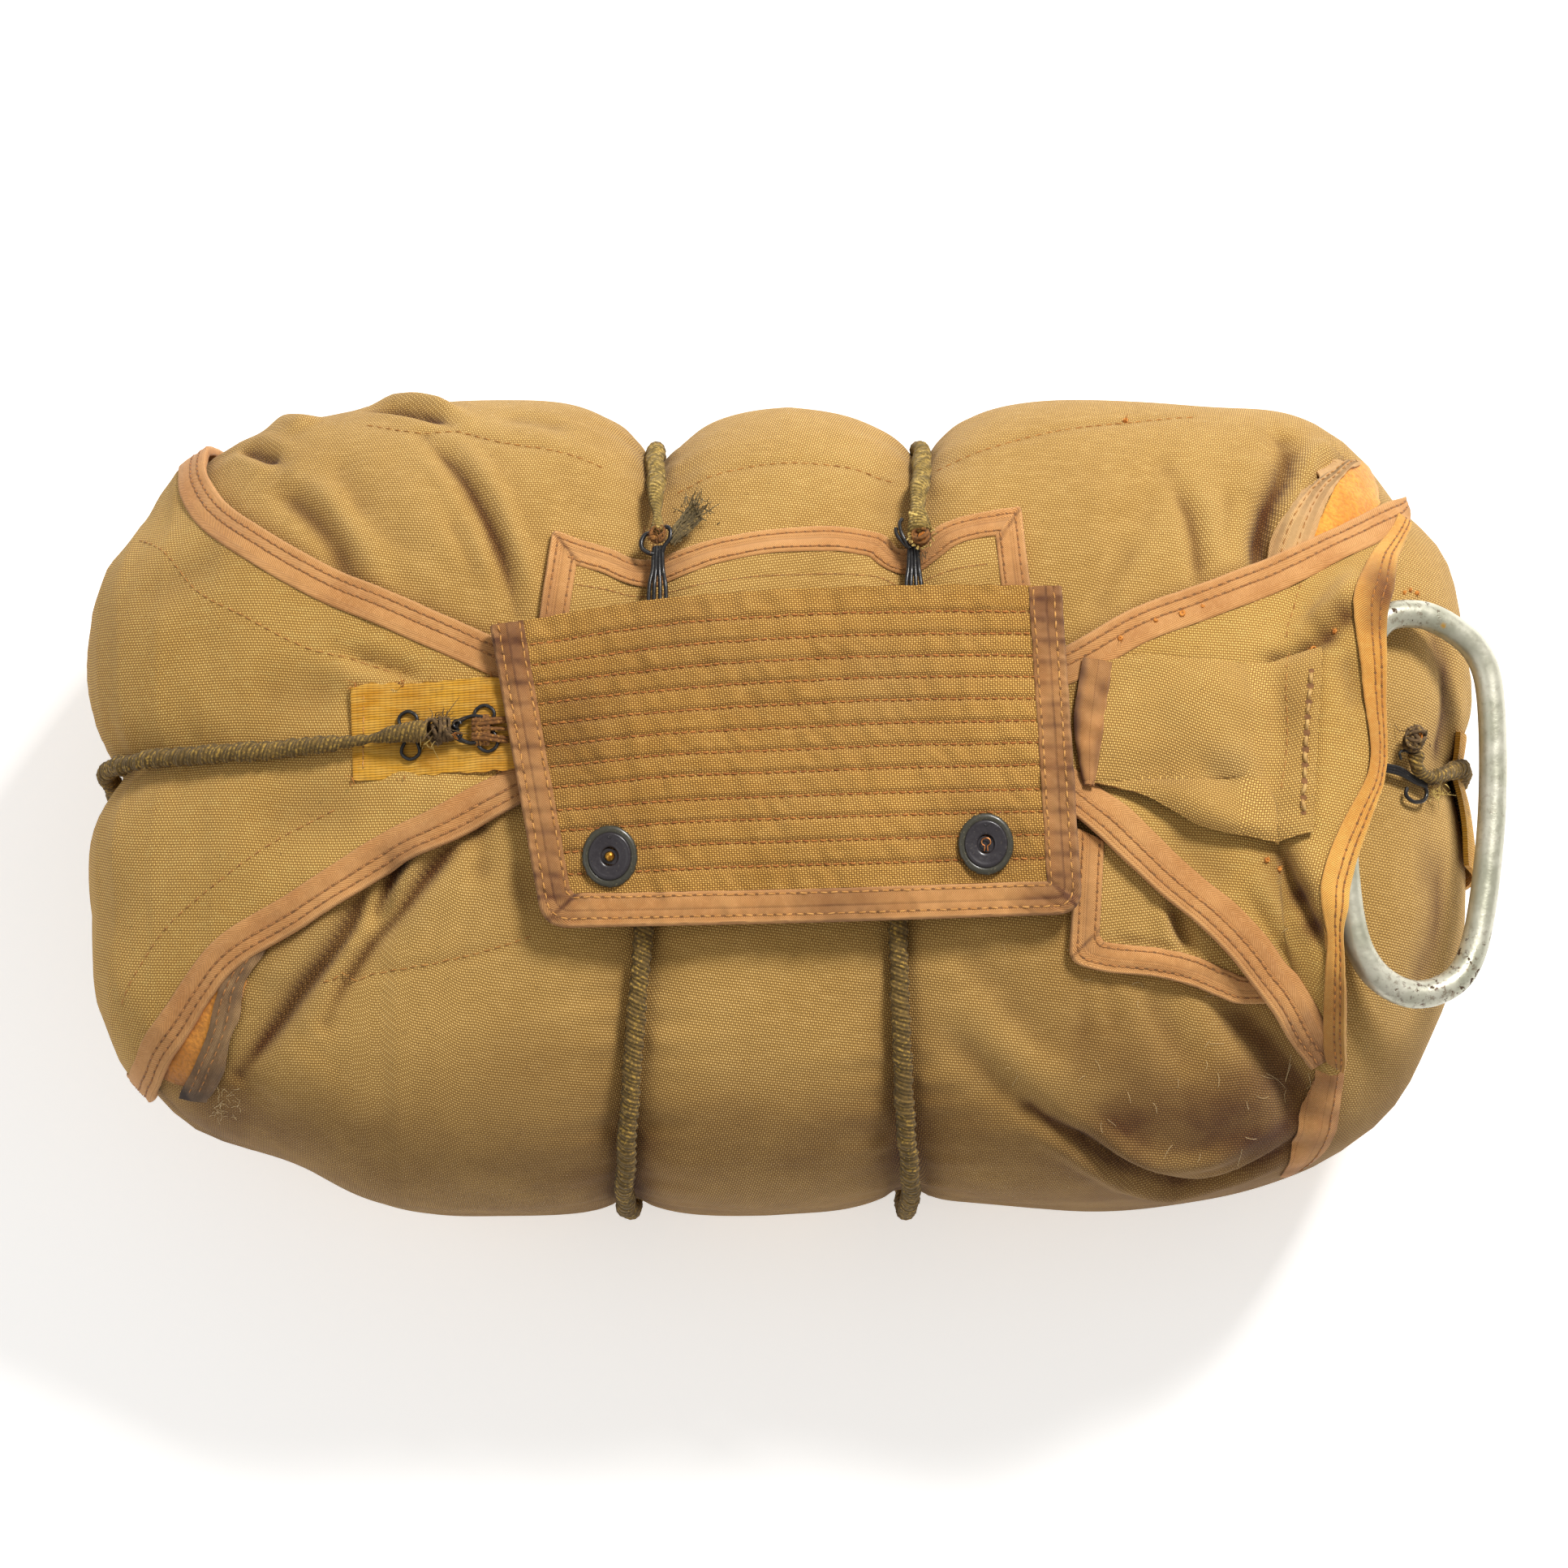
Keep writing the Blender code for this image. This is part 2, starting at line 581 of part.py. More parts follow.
def add_tube(name, points, radius, finish, radii=None, cyclic=False, sides=2):
    """A round cord, rod or wire along a route. radii scales the radius point by point."""
    curve = bpy.data.curves.new(name, "CURVE")
    curve.dimensions = "3D"
    curve.bevel_depth = radius
    curve.bevel_resolution = sides
    curve.use_fill_caps = True
    spline = curve.splines.new("POLY")
    spline.points.add(len(points) - 1)
    spline.use_cyclic_u = cyclic
    for k, point in enumerate(points):
        spline.points[k].co = (*point, 1.0)
        spline.points[k].radius = 1.0 if radii is None else radii[k]
    curve.materials.append(finish)
    thing = bpy.data.objects.new(name, curve)
    bpy.data.collections[COLLECTION].objects.link(thing)
    return thing


def add_turned(name, centre, normal, profile, finish, stretch=1.0, segments=16):
    """A turned piece standing on a surface: profile is a closed loop of radius and height."""
    turn = Vector((0, 0, 1)).rotation_difference(Vector(normal)).to_matrix()
    points = []
    for step in range(segments):
        a = math.tau * step / segments
        for radius, height in profile:
            spot = Vector((radius * math.cos(a), radius * stretch * math.sin(a), height))
            points.append(np.array(centre) + np.array(turn @ spot))
    size = len(profile)
    faces = []
    for i in range(segments):
        k = (i + 1) % segments
        for j in range(size):
            n = (j + 1) % size
            faces.append((i * size + j, k * size + j, k * size + n, i * size + n))
    return add_mesh(name, points, faces, finish)


# ---------------------------------------------------------------- the pieces


def make_pack(finish):
    """The filled pack, with the grooves of its bands and its main folds."""
    grid = pack_grid(pack_stations(), pack_angles())
    rows, columns = grid.shape[:2]
    points = list(grid.reshape(-1, 3)) + pole_points()
    faces = list(ring_faces(rows, columns)) + list(pole_faces(rows, columns))
    return add_mesh("pack_body", points, faces, finish)


def make_left_flap(skin, cloth, tape):
    """The flap that wraps the left end, bound along both long edges."""
    upper = edge(skin, LEFT_FLAP_UPPER, 24)
    lower = edge(skin, LEFT_FLAP_LOWER, 24)
    grid = span(skin, upper, lower, FLAP_TAPE_WIDTH, 10, groove_lines=(0.011, 0.004, 0.0, -0.004, -0.011))
    slack = LEFT_FLAP_SLACK * smoothstep(-0.150, -0.185, grid[..., 0].min(axis=1))[:, None]
    add_sheet("left_end_flap", grid, CLOTH_BASE, CLOTH, cloth, slack)
    add_binding("left_flap_upper_binding", *rim_pairs(grid, "first"), tape, lift=slack[:, 0])
    add_binding("left_flap_lower_binding", *rim_pairs(grid, "last"), tape, lift=slack[:, 0])


def handle_height(x):
    """The height of the handle's centre line at x."""
    return HANDLE_PLANE["z"] + HANDLE_PLANE["slope"] * (x - HANDLE_PLANE["x"])


def handle_route():
    """The centre line of the ripcord handle's rod."""
    plan = closed_path(np.array(HANDLE_ROUTE) * MM, HANDLE_POINTS)
    return np.array([(x, y, handle_height(x)) for x, y in plan])


def raised(grid):
    """The surface under the right flap where it stands off the pack, over the rod and the lower tab."""
    route = handle_route()
    hidden = route[route[:, 0] < 0.187]
    away = np.min(np.linalg.norm(grid[..., None, :2] - hidden[:, :2], axis=-1), axis=-1)
    needed = handle_height(grid[..., 0]) + HANDLE_ROD_RADIUS + GAP - LOWER_WALL - grid[..., 2]
    over_rod = np.maximum(needed + ROD_CLEARANCE, 0) * np.exp(-((np.maximum(away - 0.005, 0) / 0.012) ** 2))
    tab = np.array(list(LOWER_TAB.values())) * MM
    low, high = tab.min(axis=0) - 0.004, tab.max(axis=0) + 0.004
    near = np.maximum(np.maximum(low - grid[..., :2], grid[..., :2] - high), 0).max(axis=-1)
    over_tab = (BOUND_TOP + GAP) * smoothstep(0.010, 0.0, near)
    return grid + np.maximum(over_rod, over_tab)[..., None] * np.array([0.0, 0.0, 1.0])


def right_flap_grid(skin):
    """The surface under the right flap."""
    upper = edge(skin, RIGHT_FLAP_UPPER, 13)
    lower = edge(skin, RIGHT_FLAP_LOWER, 13)
    middle = span(skin, upper, lower, FLAP_TAPE_WIDTH, 9)
    rows = np.linspace(0, 1, len(middle))
    places = np.linspace(0, 1, middle.shape[1])
    bow = RIGHT_FLAP_BOW * rows[:, None] ** 3 * 4 * places * (1 - places)
    moved = middle + bow[..., None] * np.array([1.0, 0.0, 0.0])
    grid = np.array([[skin.above(*p[:2]) for p in row] for row in moved])
    last = grid[-1] - grid[-2]
    inset = grid[-1] - last / np.linalg.norm(last, axis=-1, keepdims=True) * FLAP_TAPE_WIDTH * 0.9
    grid[-2] = [skin.above(*p[:2]) for p in inset]
    return grid


def make_right_flap(skin, cloth, tape, orange):
    """The flap over the right end, which holds the ripcord handle."""
    grid = raised(right_flap_grid(skin))
    add_sheet("right_end_flap", grid, CLOTH_BASE, CLOTH, cloth)
    add_binding("right_flap_upper_binding", *rim_pairs(grid, "first"), tape)
    add_binding("right_flap_lower_binding", *rim_pairs(grid, "last"), tape)
    add_binding("right_flap_end_binding", *rim_pairs(grid, "end"), orange)


def make_pocket(skin, cloth, tape):
    """The raised pocket on the right flap and the tape along its left edge."""
    top = edge(skin, POCKET_TOP, 8)
    bottom = edge(skin, POCKET_BOTTOM, 8)
    grid = span(skin, top, bottom, 0.003, 5)
    rows, columns = grid.shape[:2]
    along = np.sin(np.linspace(0.12, 0.88, rows) * math.pi)[:, None]
    across = np.sin(np.linspace(0.05, 0.95, columns) * math.pi)[None, :] ** 0.6
    base = CLOTH_BASE + CLOTH + GAP
    add_sheet("ripcord_pocket", raised(grid), base, CLOTH, cloth, POCKET_BULGE * along * across)
    left = edge(skin, POCKET_TAPE_LEFT, 6)
    right = edge(skin, POCKET_TAPE_RIGHT, 6)
    strip = span(skin, left, right, 0.002, 2)
    add_sheet("pocket_binding", strip, base, TAPE * 2, tape)


def make_upper_tab(skin, cloth, tape):
    """The tongue that shows above the protector, bound on three sides."""
    left = edge(skin, UPPER_TAB_LEFT, 5)
    right = edge(skin, UPPER_TAB_RIGHT, 5)
    top = edge(skin, UPPER_TAB_TOP, 17)
    grid = []
    for row, s in enumerate(np.linspace(0, 1, 5)):
        line = left[row] + (right[row] - left[row]) * np.linspace(0, 1, 17)[:, None]
        sag = top[:, :2] - (left[-1] + (right[-1] - left[-1]) * np.linspace(0, 1, 17)[:, None])[:, :2]
        line[:, :2] += sag * s
        grid.append(line[:, :2])
    grid = np.array(grid)
    grid[-2] = grid[-1] - np.array([0.0, TAB_TAPE_WIDTH])
    grid[:, 1] = grid[:, 0] + np.array([TAB_TAPE_WIDTH + 0.001, 0.0])
    grid[:, -2] = grid[:, -1] - np.array([TAB_TAPE_WIDTH + 0.002, 0.0])
    grid = np.array([[skin.above(*p) for p in row] for row in grid])
    add_sheet("upper_tab", grid, CLOTH_BASE, CLOTH, cloth)
    add_binding("upper_tab_binding", *rim_pairs(grid, "around"), tape, slack=TAB_SLACK)


def make_lower_tab(skin, cloth, tape):
    """The corner of cloth below the protector, partly under the right flap."""
    corner = {key: np.array(place) * MM for key, place in LOWER_TAB.items()}
    grid = []
    for s in np.linspace(0, 1, 5):
        left = corner["top_left"] + (corner["left"] - corner["top_left"]) * s
        right = corner["top_right"] + (corner["right"] - corner["top_right"]) * s
        grid.append([left + (right - left) * t for t in np.linspace(0, 1, 7)])
    grid = np.array(grid)
    inward = grid[-3] - grid[-1]
    grid[-2] = grid[-1] + inward / np.linalg.norm(inward, axis=-1, keepdims=True) * TAB_TAPE_WIDTH
    grid[:, 1] = grid[:, 0] + np.array([TAB_TAPE_WIDTH, 0.0])
    grid[:, -2] = grid[:, -1] - np.array([TAB_TAPE_WIDTH, 0.0])
    grid = np.array([[skin.above(*p) for p in row] for row in grid])
    add_sheet("lower_tab", grid, CLOTH_BASE, CLOTH, cloth)
    add_binding("lower_tab_binding", *rim_pairs(grid, "around"), tape, slack=TAB_SLACK)


def protector_grid(skin):
    """The surface under the protector, from its hinge at the top down to its free edge."""
    bottom = edge(skin, PROTECTOR_BOTTOM, 12)
    top = edge(skin, PROTECTOR_TOP, 12)
    grid = np.array([[b + (t - b) * s for t, b in zip(top, bottom)] for s in np.linspace(1, 0, 8)])
    down = (grid[-1] - grid[0]) / np.linalg.norm(grid[-1] - grid[0], axis=-1, keepdims=True)
    grid[-2] = grid[-1] - down * PROTECTOR_TAPE_WIDTH
    grid[:, 1] = grid[:, 0] + np.array([PROTECTOR_TAPE_WIDTH, 0.0, 0.0])
    grid[:, -2] = grid[:, -1] - np.array([PROTECTOR_TAPE_WIDTH, 0.0, 0.0])
    return np.array([[skin.above(*p[:2]) for p in row] for row in grid])


def make_protector(skin, cloth, tape):
    """The quilted protector flap over the pins, bound on its two sides and its free edge."""
    grid = protector_grid(skin)
    add_sheet("protector_flap", grid, PROTECTOR_BASE, PROTECTOR_THICKNESS, cloth)
    base = PROTECTOR_BASE - CLOTH_BASE
    add_binding(
        "protector_binding", *rim_pairs(grid, "around"), tape, base=base, cloth=PROTECTOR_THICKNESS
    )


def make_snaps(skin, lacquer, brass):
    """The two snap sockets on the protector, and the ball stud that shows in the left one."""
    for side, place in SNAP_PLACES.items():
        here = skin.lifted(*place, 0.0)
        normal = skin.lifted(*place, 1.0) - here
        normal /= np.linalg.norm(normal)
        foot = here + normal * (PROTECTOR_BASE + PROTECTOR_THICKNESS + 0.0004)
        outside, hole = SNAP_SIZE[0] / 2, SNAP_HOLE_RADIUS
        profile = [
            (outside, 0), (outside, 0.0008), (outside - 0.0015, 0.0012),
            (hole + 0.0015, 0.0018), (hole, 0.0014), (hole, 0),
        ]
        stretch = SNAP_SIZE[1] / SNAP_SIZE[0]
        add_turned("snap_socket_" + side, foot, normal, profile, lacquer, stretch)
        if side == "left":
            neck = [foot, foot + normal * 0.0008, foot + normal * 0.0016, foot + normal * 0.0022]
            add_tube("snap_stud", neck, 0.0014, brass, radii=(0.9, 1.0, 1.0, 0.6))


def make_corner_pieces(skin, orange, tape):
    """Lining and tape that show where the two end flaps stand off the pack's corners."""
    strips = {
        "left_corner_lining": (LEFT_LINING, orange), "left_corner_tape": (LEFT_CORNER_TAPE, tape),
        "right_corner_lining": (RIGHT_LINING, orange), "right_corner_tape": (RIGHT_CORNER_TAPE, tape),
    }
    for name, (rows, finish) in strips.items():
        first = edge(skin, [row[:2] for row in rows], 7)
        second = edge(skin, [row[2:] for row in rows], 7)
        grid = span(skin, first, second, 0.001, 2)
        add_sheet(name, grid, STRIP_BASE, 2 * TAPE, finish)
    first = edge(skin, [row[:3] for row in TAPE_TAIL], 7)
    second = edge(skin, [row[3:] for row in TAPE_TAIL], 7)
    add_sheet("lower_binding_tail", span(skin, first, second, 0.002, 2), STRIP_BASE, 2 * TAPE, tape)


def make_webbing(skin, webbing):
    """The webbing tab under the left hooks, and the webbing round the right end."""
    upper = edge(skin, [row[0:2] for row in HOOK_TAB_ROWS], 7)
    lower = edge(skin, [row[2:4] for row in HOOK_TAB_ROWS], 7)
    lift = np.interp(np.linspace(0, 3, 7), range(4), [row[4] for row in HOOK_TAB_ROWS]) * MM
    add_sheet("hook_tab", span(skin, upper, lower, 0.005, 3), 0.0, WEBBING, webbing, lift[:, None])
    low, high = END_WEBBING_Z
    heights = np.linspace(low, high, 12)
    sides = [[skin.around((0.2, y * MM, z * MM)) for z in heights] for y in END_WEBBING_Y]
    grid = span(skin, *np.array(sides)[::-1], 0.003, 4, groove_lines=(0.008, 0.003, 0.0, -0.003, -0.008))
    add_sheet("end_webbing", grid, WEBBING_BASE, WEBBING, webbing)


def band_ends(skin, rows):
    """Route points and radii of a band's end on the face."""
    points = [skin.lifted(*row[:3]) for row in rows]
    return points, [row[3] * MM / BAND_RADIUS for row in rows]


def cross_band_point(side, angle):
    """A point of a cross band's centre line, in its groove."""
    x = cross_line(side, SPINE_Y, SPINE_Z + CROWN_RISE)
    for _ in range(3):
        plain = base_point(x, angle)
        x = cross_line(side, plain[1], plain[2])
    step = 0.01
    tangent = base_point(x, angle + step) - base_point(x, angle - step)
    normal = np.cross(tangent, np.array([1.0, 0.0, 0.0]))
    normal /= np.linalg.norm(normal)
    if normal @ (plain - spine_point(plain)) < 0:
        normal = -normal
    if plain[2] < 1e-6:
        normal = np.array([0.0, 0.0, -1.0])
    sunk = cross_depth(plain[1], plain[2]) + lobe_drop(plain[0], plain[1])
    return plain + normal * (BAND_RADIUS + BAND_GAP - sunk)


def make_cross_band(skin, side, top_rows, finish):
    """A band round the pack: from under the protector, over the back, to its knot on the face."""
    angles = [a for a in pack_angles() if a > math.pi * 0.5]
    route = [cross_band_point(side, a) for a in angles]
    first = next(k for k, p in enumerate(route) if p[1] < CROSS_BAND_START_Y * MM)
    route = route[first:]
    rising = [cross_band_point(side, a) for a in pack_angles() if a < math.pi * 0.5]
    last = next(k for k, p in enumerate(rising) if p[1] < 0.082)
    route += rising[:last]
    points, radii = band_ends(skin, top_rows)
    add_tube(
        "cross_band_" + side, np.array(route + points), BAND_RADIUS, finish,
        radii=[1.0] * len(route) + radii,
    )


def end_band_route(skin):
    """The end band's centre line and radii: left hook, left end, back, right end, right hook."""
    stations = pack_stations()
    rise = {
        "left": CLOTH_BASE + CLOTH + LEFT_FLAP_SLACK + 2 * BAND_GAP,
        "right": WEBBING_BASE + WEBBING + BAND_GAP,
    }

    def along(x, angle, lift):
        plain = base_point(x, angle)
        sunk = displacement(plain[None], 0.0)[0]
        ahead, behind = min(x + 0.001, HALF_LENGTH), max(x - 0.001, -HALF_LENGTH)
        tangent = base_point(ahead, angle) - base_point(behind, angle)
        normal = np.array([-tangent[2], 0.0, tangent[0]]) * math.copysign(1.0, math.sin(angle))
        normal = np.array([0.0, 0.0, -1.0]) if plain[2] < 1e-6 else normal / np.linalg.norm(normal)
        return plain + normal * (sunk + BAND_RADIUS + lift)

    top, bottom = math.pi / 2, -math.pi / 2
    left_tip, right_tip = pole_points()
    points, radii = band_ends(skin, END_BAND_LEFT)
    points += [along(x, top, rise["left"]) for x in stations[stations < -0.145][::-1]]
    points.append(left_tip - np.array([BAND_RADIUS + rise["left"], 0, 0]))
    for x in stations:
        lift = BAND_GAP + (rise["left"] - BAND_GAP) * float(smoothstep(-0.165, -0.180, x))
        lift += (rise["right"] - BAND_GAP) * float(smoothstep(0.165, 0.180, x))
        points.append(along(x, bottom, lift))
    points.append(right_tip + np.array([BAND_RADIUS + rise["right"], 0, 0]))
    points += [along(x, top, rise["right"]) for x in stations[stations > 0.194][::-1]]
    radii += [1.0] * (len(points) - len(radii))
    right_points, right_radii = band_ends(skin, END_BAND_RIGHT)
    return np.array(points + right_points), radii + right_radii


def make_bands(skin, elastic):
    """The two cross bands, the end band and the frayed tail of the left knot."""
    make_cross_band(skin, "left", CROSS_BAND_LEFT_TOP, elastic)
    make_cross_band(skin, "right", CROSS_BAND_RIGHT_TOP, elastic)
    points, radii = end_band_route(skin)
    add_tube("end_band", points, BAND_RADIUS, elastic, radii=radii)
    points, radii = band_ends(skin, FRAYED_TAIL)
    add_tube("frayed_band_tail", points, BAND_RADIUS, elastic, radii=radii)


def wire_loop(skin, name, plan, lift, finish, count=20):
    """A closed loop of black wire lying on the face."""
    route = closed_path(plan, count)
    points = [skin.lifted(x, y, lift) for x, y in route]
    return add_tube(name, points, WIRE_RADIUS, finish, cyclic=True, sides=1)


def eye_outline(places, radius):
    """A waisted loop round two places: the outline of a sewn wire eye."""
    (x0, y0), (x1, y1) = places
    r = radius / MM
    return [
        (x0, y0 + r), (x0 - r, y0), (x0 - 0.4 * r, (y0 + y1) / 2 + 0.6), (x1 - r, y1),
        (x1, y1 - r), (x1 + r, y1), (x1 + 0.4 * r, (y0 + y1) / 2 - 0.6), (x0 + r, y0),
    ]


def make_wire(skin, lacquer):
    """The sewn wire eyes on the hook tab, and the hooks at the four knots."""
    wire_loop(skin, "hook_eye_outer", eye_outline(EYE_OUTER, EYE_RADIUS), 5.1, lacquer)
    wire_loop(skin, "hook_eye_inner", eye_outline(EYE_INNER, EYE_RADIUS), 6.2, lacquer)
    left = [(-88.2, 14.5), (-89.0, 11.0), (-88.0, 7.8), (-85.4, 8.2), (-84.5, 11.0), (-85.6, 14.0)]
    wire_loop(skin, "left_end_hook", left, 6.0, lacquer, 14)
    shank = [(-2.4, 14), (-2.4, 7.5), (-5.0, 5.0), (-2.2, 2.6), (2.2, 2.6), (5.0, 5.0), (2.4, 7.5), (2.4, 14)]
    for side, x, y in (("left", -33.5, 60.5), ("right", 41, 60.0)):
        plan = [(x + a, y - b) for a, b in shank]
        wire_loop(skin, "cross_hook_" + side, plan, CROSS_HOOK_LIFT[side], lacquer, 24)
    right = [(176.6, 3.6), (176.4, 0.4), (180.0, -1.4), (182.6, -5.0), (185.0, -4.4), (184.6, -1.2), (181.0, 2.2)]
    wire_loop(skin, "right_end_hook", right, 1.3, lacquer, 16)


def main():
    """Build every piece in its own named object."""
    for old in list(bpy.data.objects):
        bpy.data.objects.remove(old, do_unlink=True)
    collection = bpy.data.collections.new(COLLECTION)
    bpy.context.scene.collection.children.link(collection)

    canvas = material("canvas", (0.40, 0.28, 0.12), 0.95)
    quilted = material("quilted_canvas", (0.34, 0.22, 0.07), 0.95)
    twill = material("twill_tape", (0.44, 0.27, 0.15), 0.90)
    orange = material("orange_twill", (0.60, 0.27, 0.05), 0.90)
    mustard = material("mustard_webbing", (0.45, 0.25, 0.04), 0.85)
    elastic = material("elastic_band", (0.10, 0.08, 0.03), 0.80)
    lacquer = material("black_lacquer", (0.02, 0.02, 0.02), 0.30)
    brass = material("brass", (0.55, 0.36, 0.12), 0.35, 1.0)
    silver = material("silver_paint", (0.60, 0.59, 0.54), 0.40)

    pack = make_pack(canvas)
    body_skin = Skin(pack, bridge=0.0)
    cloth_skin = Skin(pack, bridge=0.6)
    stiff_skin = Skin(pack, bridge=1.0)
    make_left_flap(body_skin, canvas, twill)
    make_right_flap(body_skin, canvas, twill, orange)
    make_pocket(body_skin, canvas, twill)
    make_upper_tab(cloth_skin, canvas, twill)
    make_lower_tab(body_skin, canvas, twill)
    make_protector(stiff_skin, quilted, twill)
    make_snaps(stiff_skin, lacquer, brass)
    make_corner_pieces(body_skin, orange, twill)
    make_webbing(body_skin, mustard)
    make_bands(cloth_skin, elastic)
    make_wire(cloth_skin, lacquer)
    add_tube("ripcord_handle", handle_route(), HANDLE_ROD_RADIUS, silver, cyclic=True)


main()
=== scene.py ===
"""Looks for a packed chest parachute: canvas, twill tape, quilting, webbing, bands, hooks and handle.

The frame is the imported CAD, in metres: +X along the pack, +Y across it, +Z out of its face.
Tables are in millimetres, and MM turns them into metres.
"""

import math

import bmesh
import bpy
import numpy as np
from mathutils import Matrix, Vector
from mathutils.bvhtree import BVHTree


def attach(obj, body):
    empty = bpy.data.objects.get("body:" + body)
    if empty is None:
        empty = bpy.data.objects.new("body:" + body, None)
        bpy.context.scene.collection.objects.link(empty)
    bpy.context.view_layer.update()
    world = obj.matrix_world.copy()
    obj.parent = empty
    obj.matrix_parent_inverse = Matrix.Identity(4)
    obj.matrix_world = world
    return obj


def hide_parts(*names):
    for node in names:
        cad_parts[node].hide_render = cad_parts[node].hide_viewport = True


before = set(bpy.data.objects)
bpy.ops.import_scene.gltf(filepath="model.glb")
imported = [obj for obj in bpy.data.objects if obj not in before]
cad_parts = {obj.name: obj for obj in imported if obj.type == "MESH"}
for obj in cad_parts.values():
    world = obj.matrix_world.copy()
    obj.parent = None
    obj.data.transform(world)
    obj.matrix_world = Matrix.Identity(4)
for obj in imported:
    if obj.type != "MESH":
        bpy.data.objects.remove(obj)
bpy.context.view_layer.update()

MM = 0.001
RANDOM = np.random.default_rng(24)

# ---------------------------------------------------------------- sizes, as in the CAD

HALF_LENGTH = 0.204
SPINE_Y = 0.007
SPINE_Z = 0.075
SPINE_REACH = 0.130
UPPER_HALF_WIDTH = 0.114
LOWER_HALF_WIDTH = 0.128
CROWN_RISE = 0.077
BACK_DROP = 0.080
FACE_POWER = 2.7
BACK_POWER = 4.5
END_POWER = 3.0
CORNER_POWERS = {"upper": (4.1, 4.5), "lower": (3.7, 3.65)}  # left end, right end

BAND_RADIUS = 0.0026
BAND_GAP = 0.0005
GROOVE_FLAT = 0.0024
GROOVE_SPREAD = 0.012
BACK_GROOVE_EDGE = 0.0062
BACK_GROOVE_DEPTH = 0.0068
CROSSING_DEPTH = 0.0130
CROSSING_REACH = (0.060, 0.075)
MIDDLE_LOBE_DROP = 0.003
MIDDLE_STATION = 0.0015

CROSS_ROWS = {
    "y": (-118, -90, -42, 40, 70, 90, 112),
    "left": (-43.5, -41, -37, -35, -34, -34.5, -35.5),
    "right": (38.5, 36, 34, 37, 40, 41.5, 42.5),
    "depth": (6.5, 5, 3, 3, 4, 8.5, 18),
}
END_ROWS = {"x": (-204, -190, -150, -125, 178, 190, 204), "depth": (14, 10, 3.5, 0, 0, 3.5, 8)}

GAP = 0.0003
TAPE = 0.0005
CLOTH = 0.0010
LOWER_WALL = 0.0006
CLOTH_BASE = LOWER_WALL + TAPE + GAP
UPPER_WALL = CLOTH_BASE + CLOTH + GAP
BOUND_TOP = UPPER_WALL + TAPE
FLAP_TAPE_WIDTH = 0.010
PROTECTOR_TAPE_WIDTH = 0.0088
TAB_TAPE_WIDTH = 0.0078
STRIP_FOOT = 0.0001
PROTECTOR_THICKNESS = 0.0020
PROTECTOR_BASE = 0.0065
WEBBING = 0.0014
ROD_CLEARANCE = 0.0018
POCKET_BULGE = 0.0052

# Where rays start over the pack, and how far round a point the cloth under it is looked for.
RAY_START = 0.4
RIM_HEIGHT = 0.105
SLOPE_STEP = 0.003
CAST_REACH = 0.005
EDGE_SPAN = 0.0045

# Flap edges, from the point under the protector outwards: x, y, and z where the edge is on the side.
LEFT_FLAP_UPPER = (
    (-58, 27), (-80, 38), (-104, 49), (-126, 59), (-144, 70), (-158, 81), (-165.5, 92),
    (-167, 101, 100), (-166, 105, 84), (-163, 106, 62),
)
LEFT_FLAP_LOWER = (
    (-58, -1), (-72, -9), (-88, -18), (-107, -27), (-130, -41), (-154, -55), (-169, -74),
    (-174.5, -80.5, 107), (-178, -83, 93), (-181.5, -80, 78), (-181, -73, 60),
)
LEFT_FLAP_SLACK = 0.0006
RIGHT_FLAP_UPPER = ((62, 27), (81, 35), (100, 46), (120, 54), (139, 62), (157, 71), (170, 78.5), (181, 85))
RIGHT_FLAP_LOWER = (
    (62, 0), (84, -13), (98, -25.5), (107.5, -34), (117, -41.5), (127, -51), (136.5, -62.5), (144, -72),
    (150.5, -80),
)
RIGHT_FLAP_END = (
    (181, 85), (182.2, 80.5), (181.6, 75.5), (179, 68), (176.2, 61), (173.4, 53), (170.6, 45), (170, 18),
    (169.5, 2), (166, -10), (160.3, -26), (157, -41), (158, -53), (160, -66), (160.5, -77), (158, -81.5),
    (150.5, -80),
)
UPPER_TAB_LEFT = ((-67, 37), (-66, 45), (-63, 69))
UPPER_TAB_TOP = (
    (-63, 69), (-48, 64), (-37, 61), (-16, 67), (6, 70), (28, 69), (36, 64), (49, 72), (69, 76),
)
UPPER_TAB_RIGHT = ((73, 41), (71, 55), (69, 76))
LOWER_TAB_LEFT = ((84, -16), (83, -34), (82, -52.5))
LOWER_TAB_BOTTOM = ((82, -52.5), (92, -55), (105, -56), (116, -58.5), (124, -61.5), (131, -63.5), (145, -62))
LOWER_TAB_RIGHT = ((127, -36), (137, -47), (145, -62))
PROTECTOR_BOTTOM = ((-64, -43), (10, -41.5), (84, -39))
PROTECTOR_TOP = ((-79, 39.7), (-66, 41.8), (-29, 47.4), (16, 50.2), (50, 51), (79, 50.8))
POCKET_TOP = ((92, 31), (104.5, 33.3), (126, 31.5), (142.5, 31.3), (154, 35))
POCKET_BOTTOM = ((86.5, -3.5), (101, -8.2), (118, -15), (130, -18.2), (141, -19.6), (150, -17.4))
HANDLE_ROD_RADIUS = 0.0040
HANDLE_ROUTE = (
    (163, 25), (171, 44), (182, 48), (193, 44.5), (201.5, 36.5), (204.5, 22), (204, -8), (200, -38),
    (195, -53), (187, -59.5), (177, -60.5), (167, -54), (161.5, -40), (159.7, -10),
)
HANDLE_HIDDEN_TO = 0.187
HANDLE_PLANE = {"x": 0.165, "z": 0.1403, "slope": -0.36}
SNAP_PLACES = {"left": (-46, -24.4), "right": (58, -21)}

# ---------------------------------------------------------------- folds of the cloth

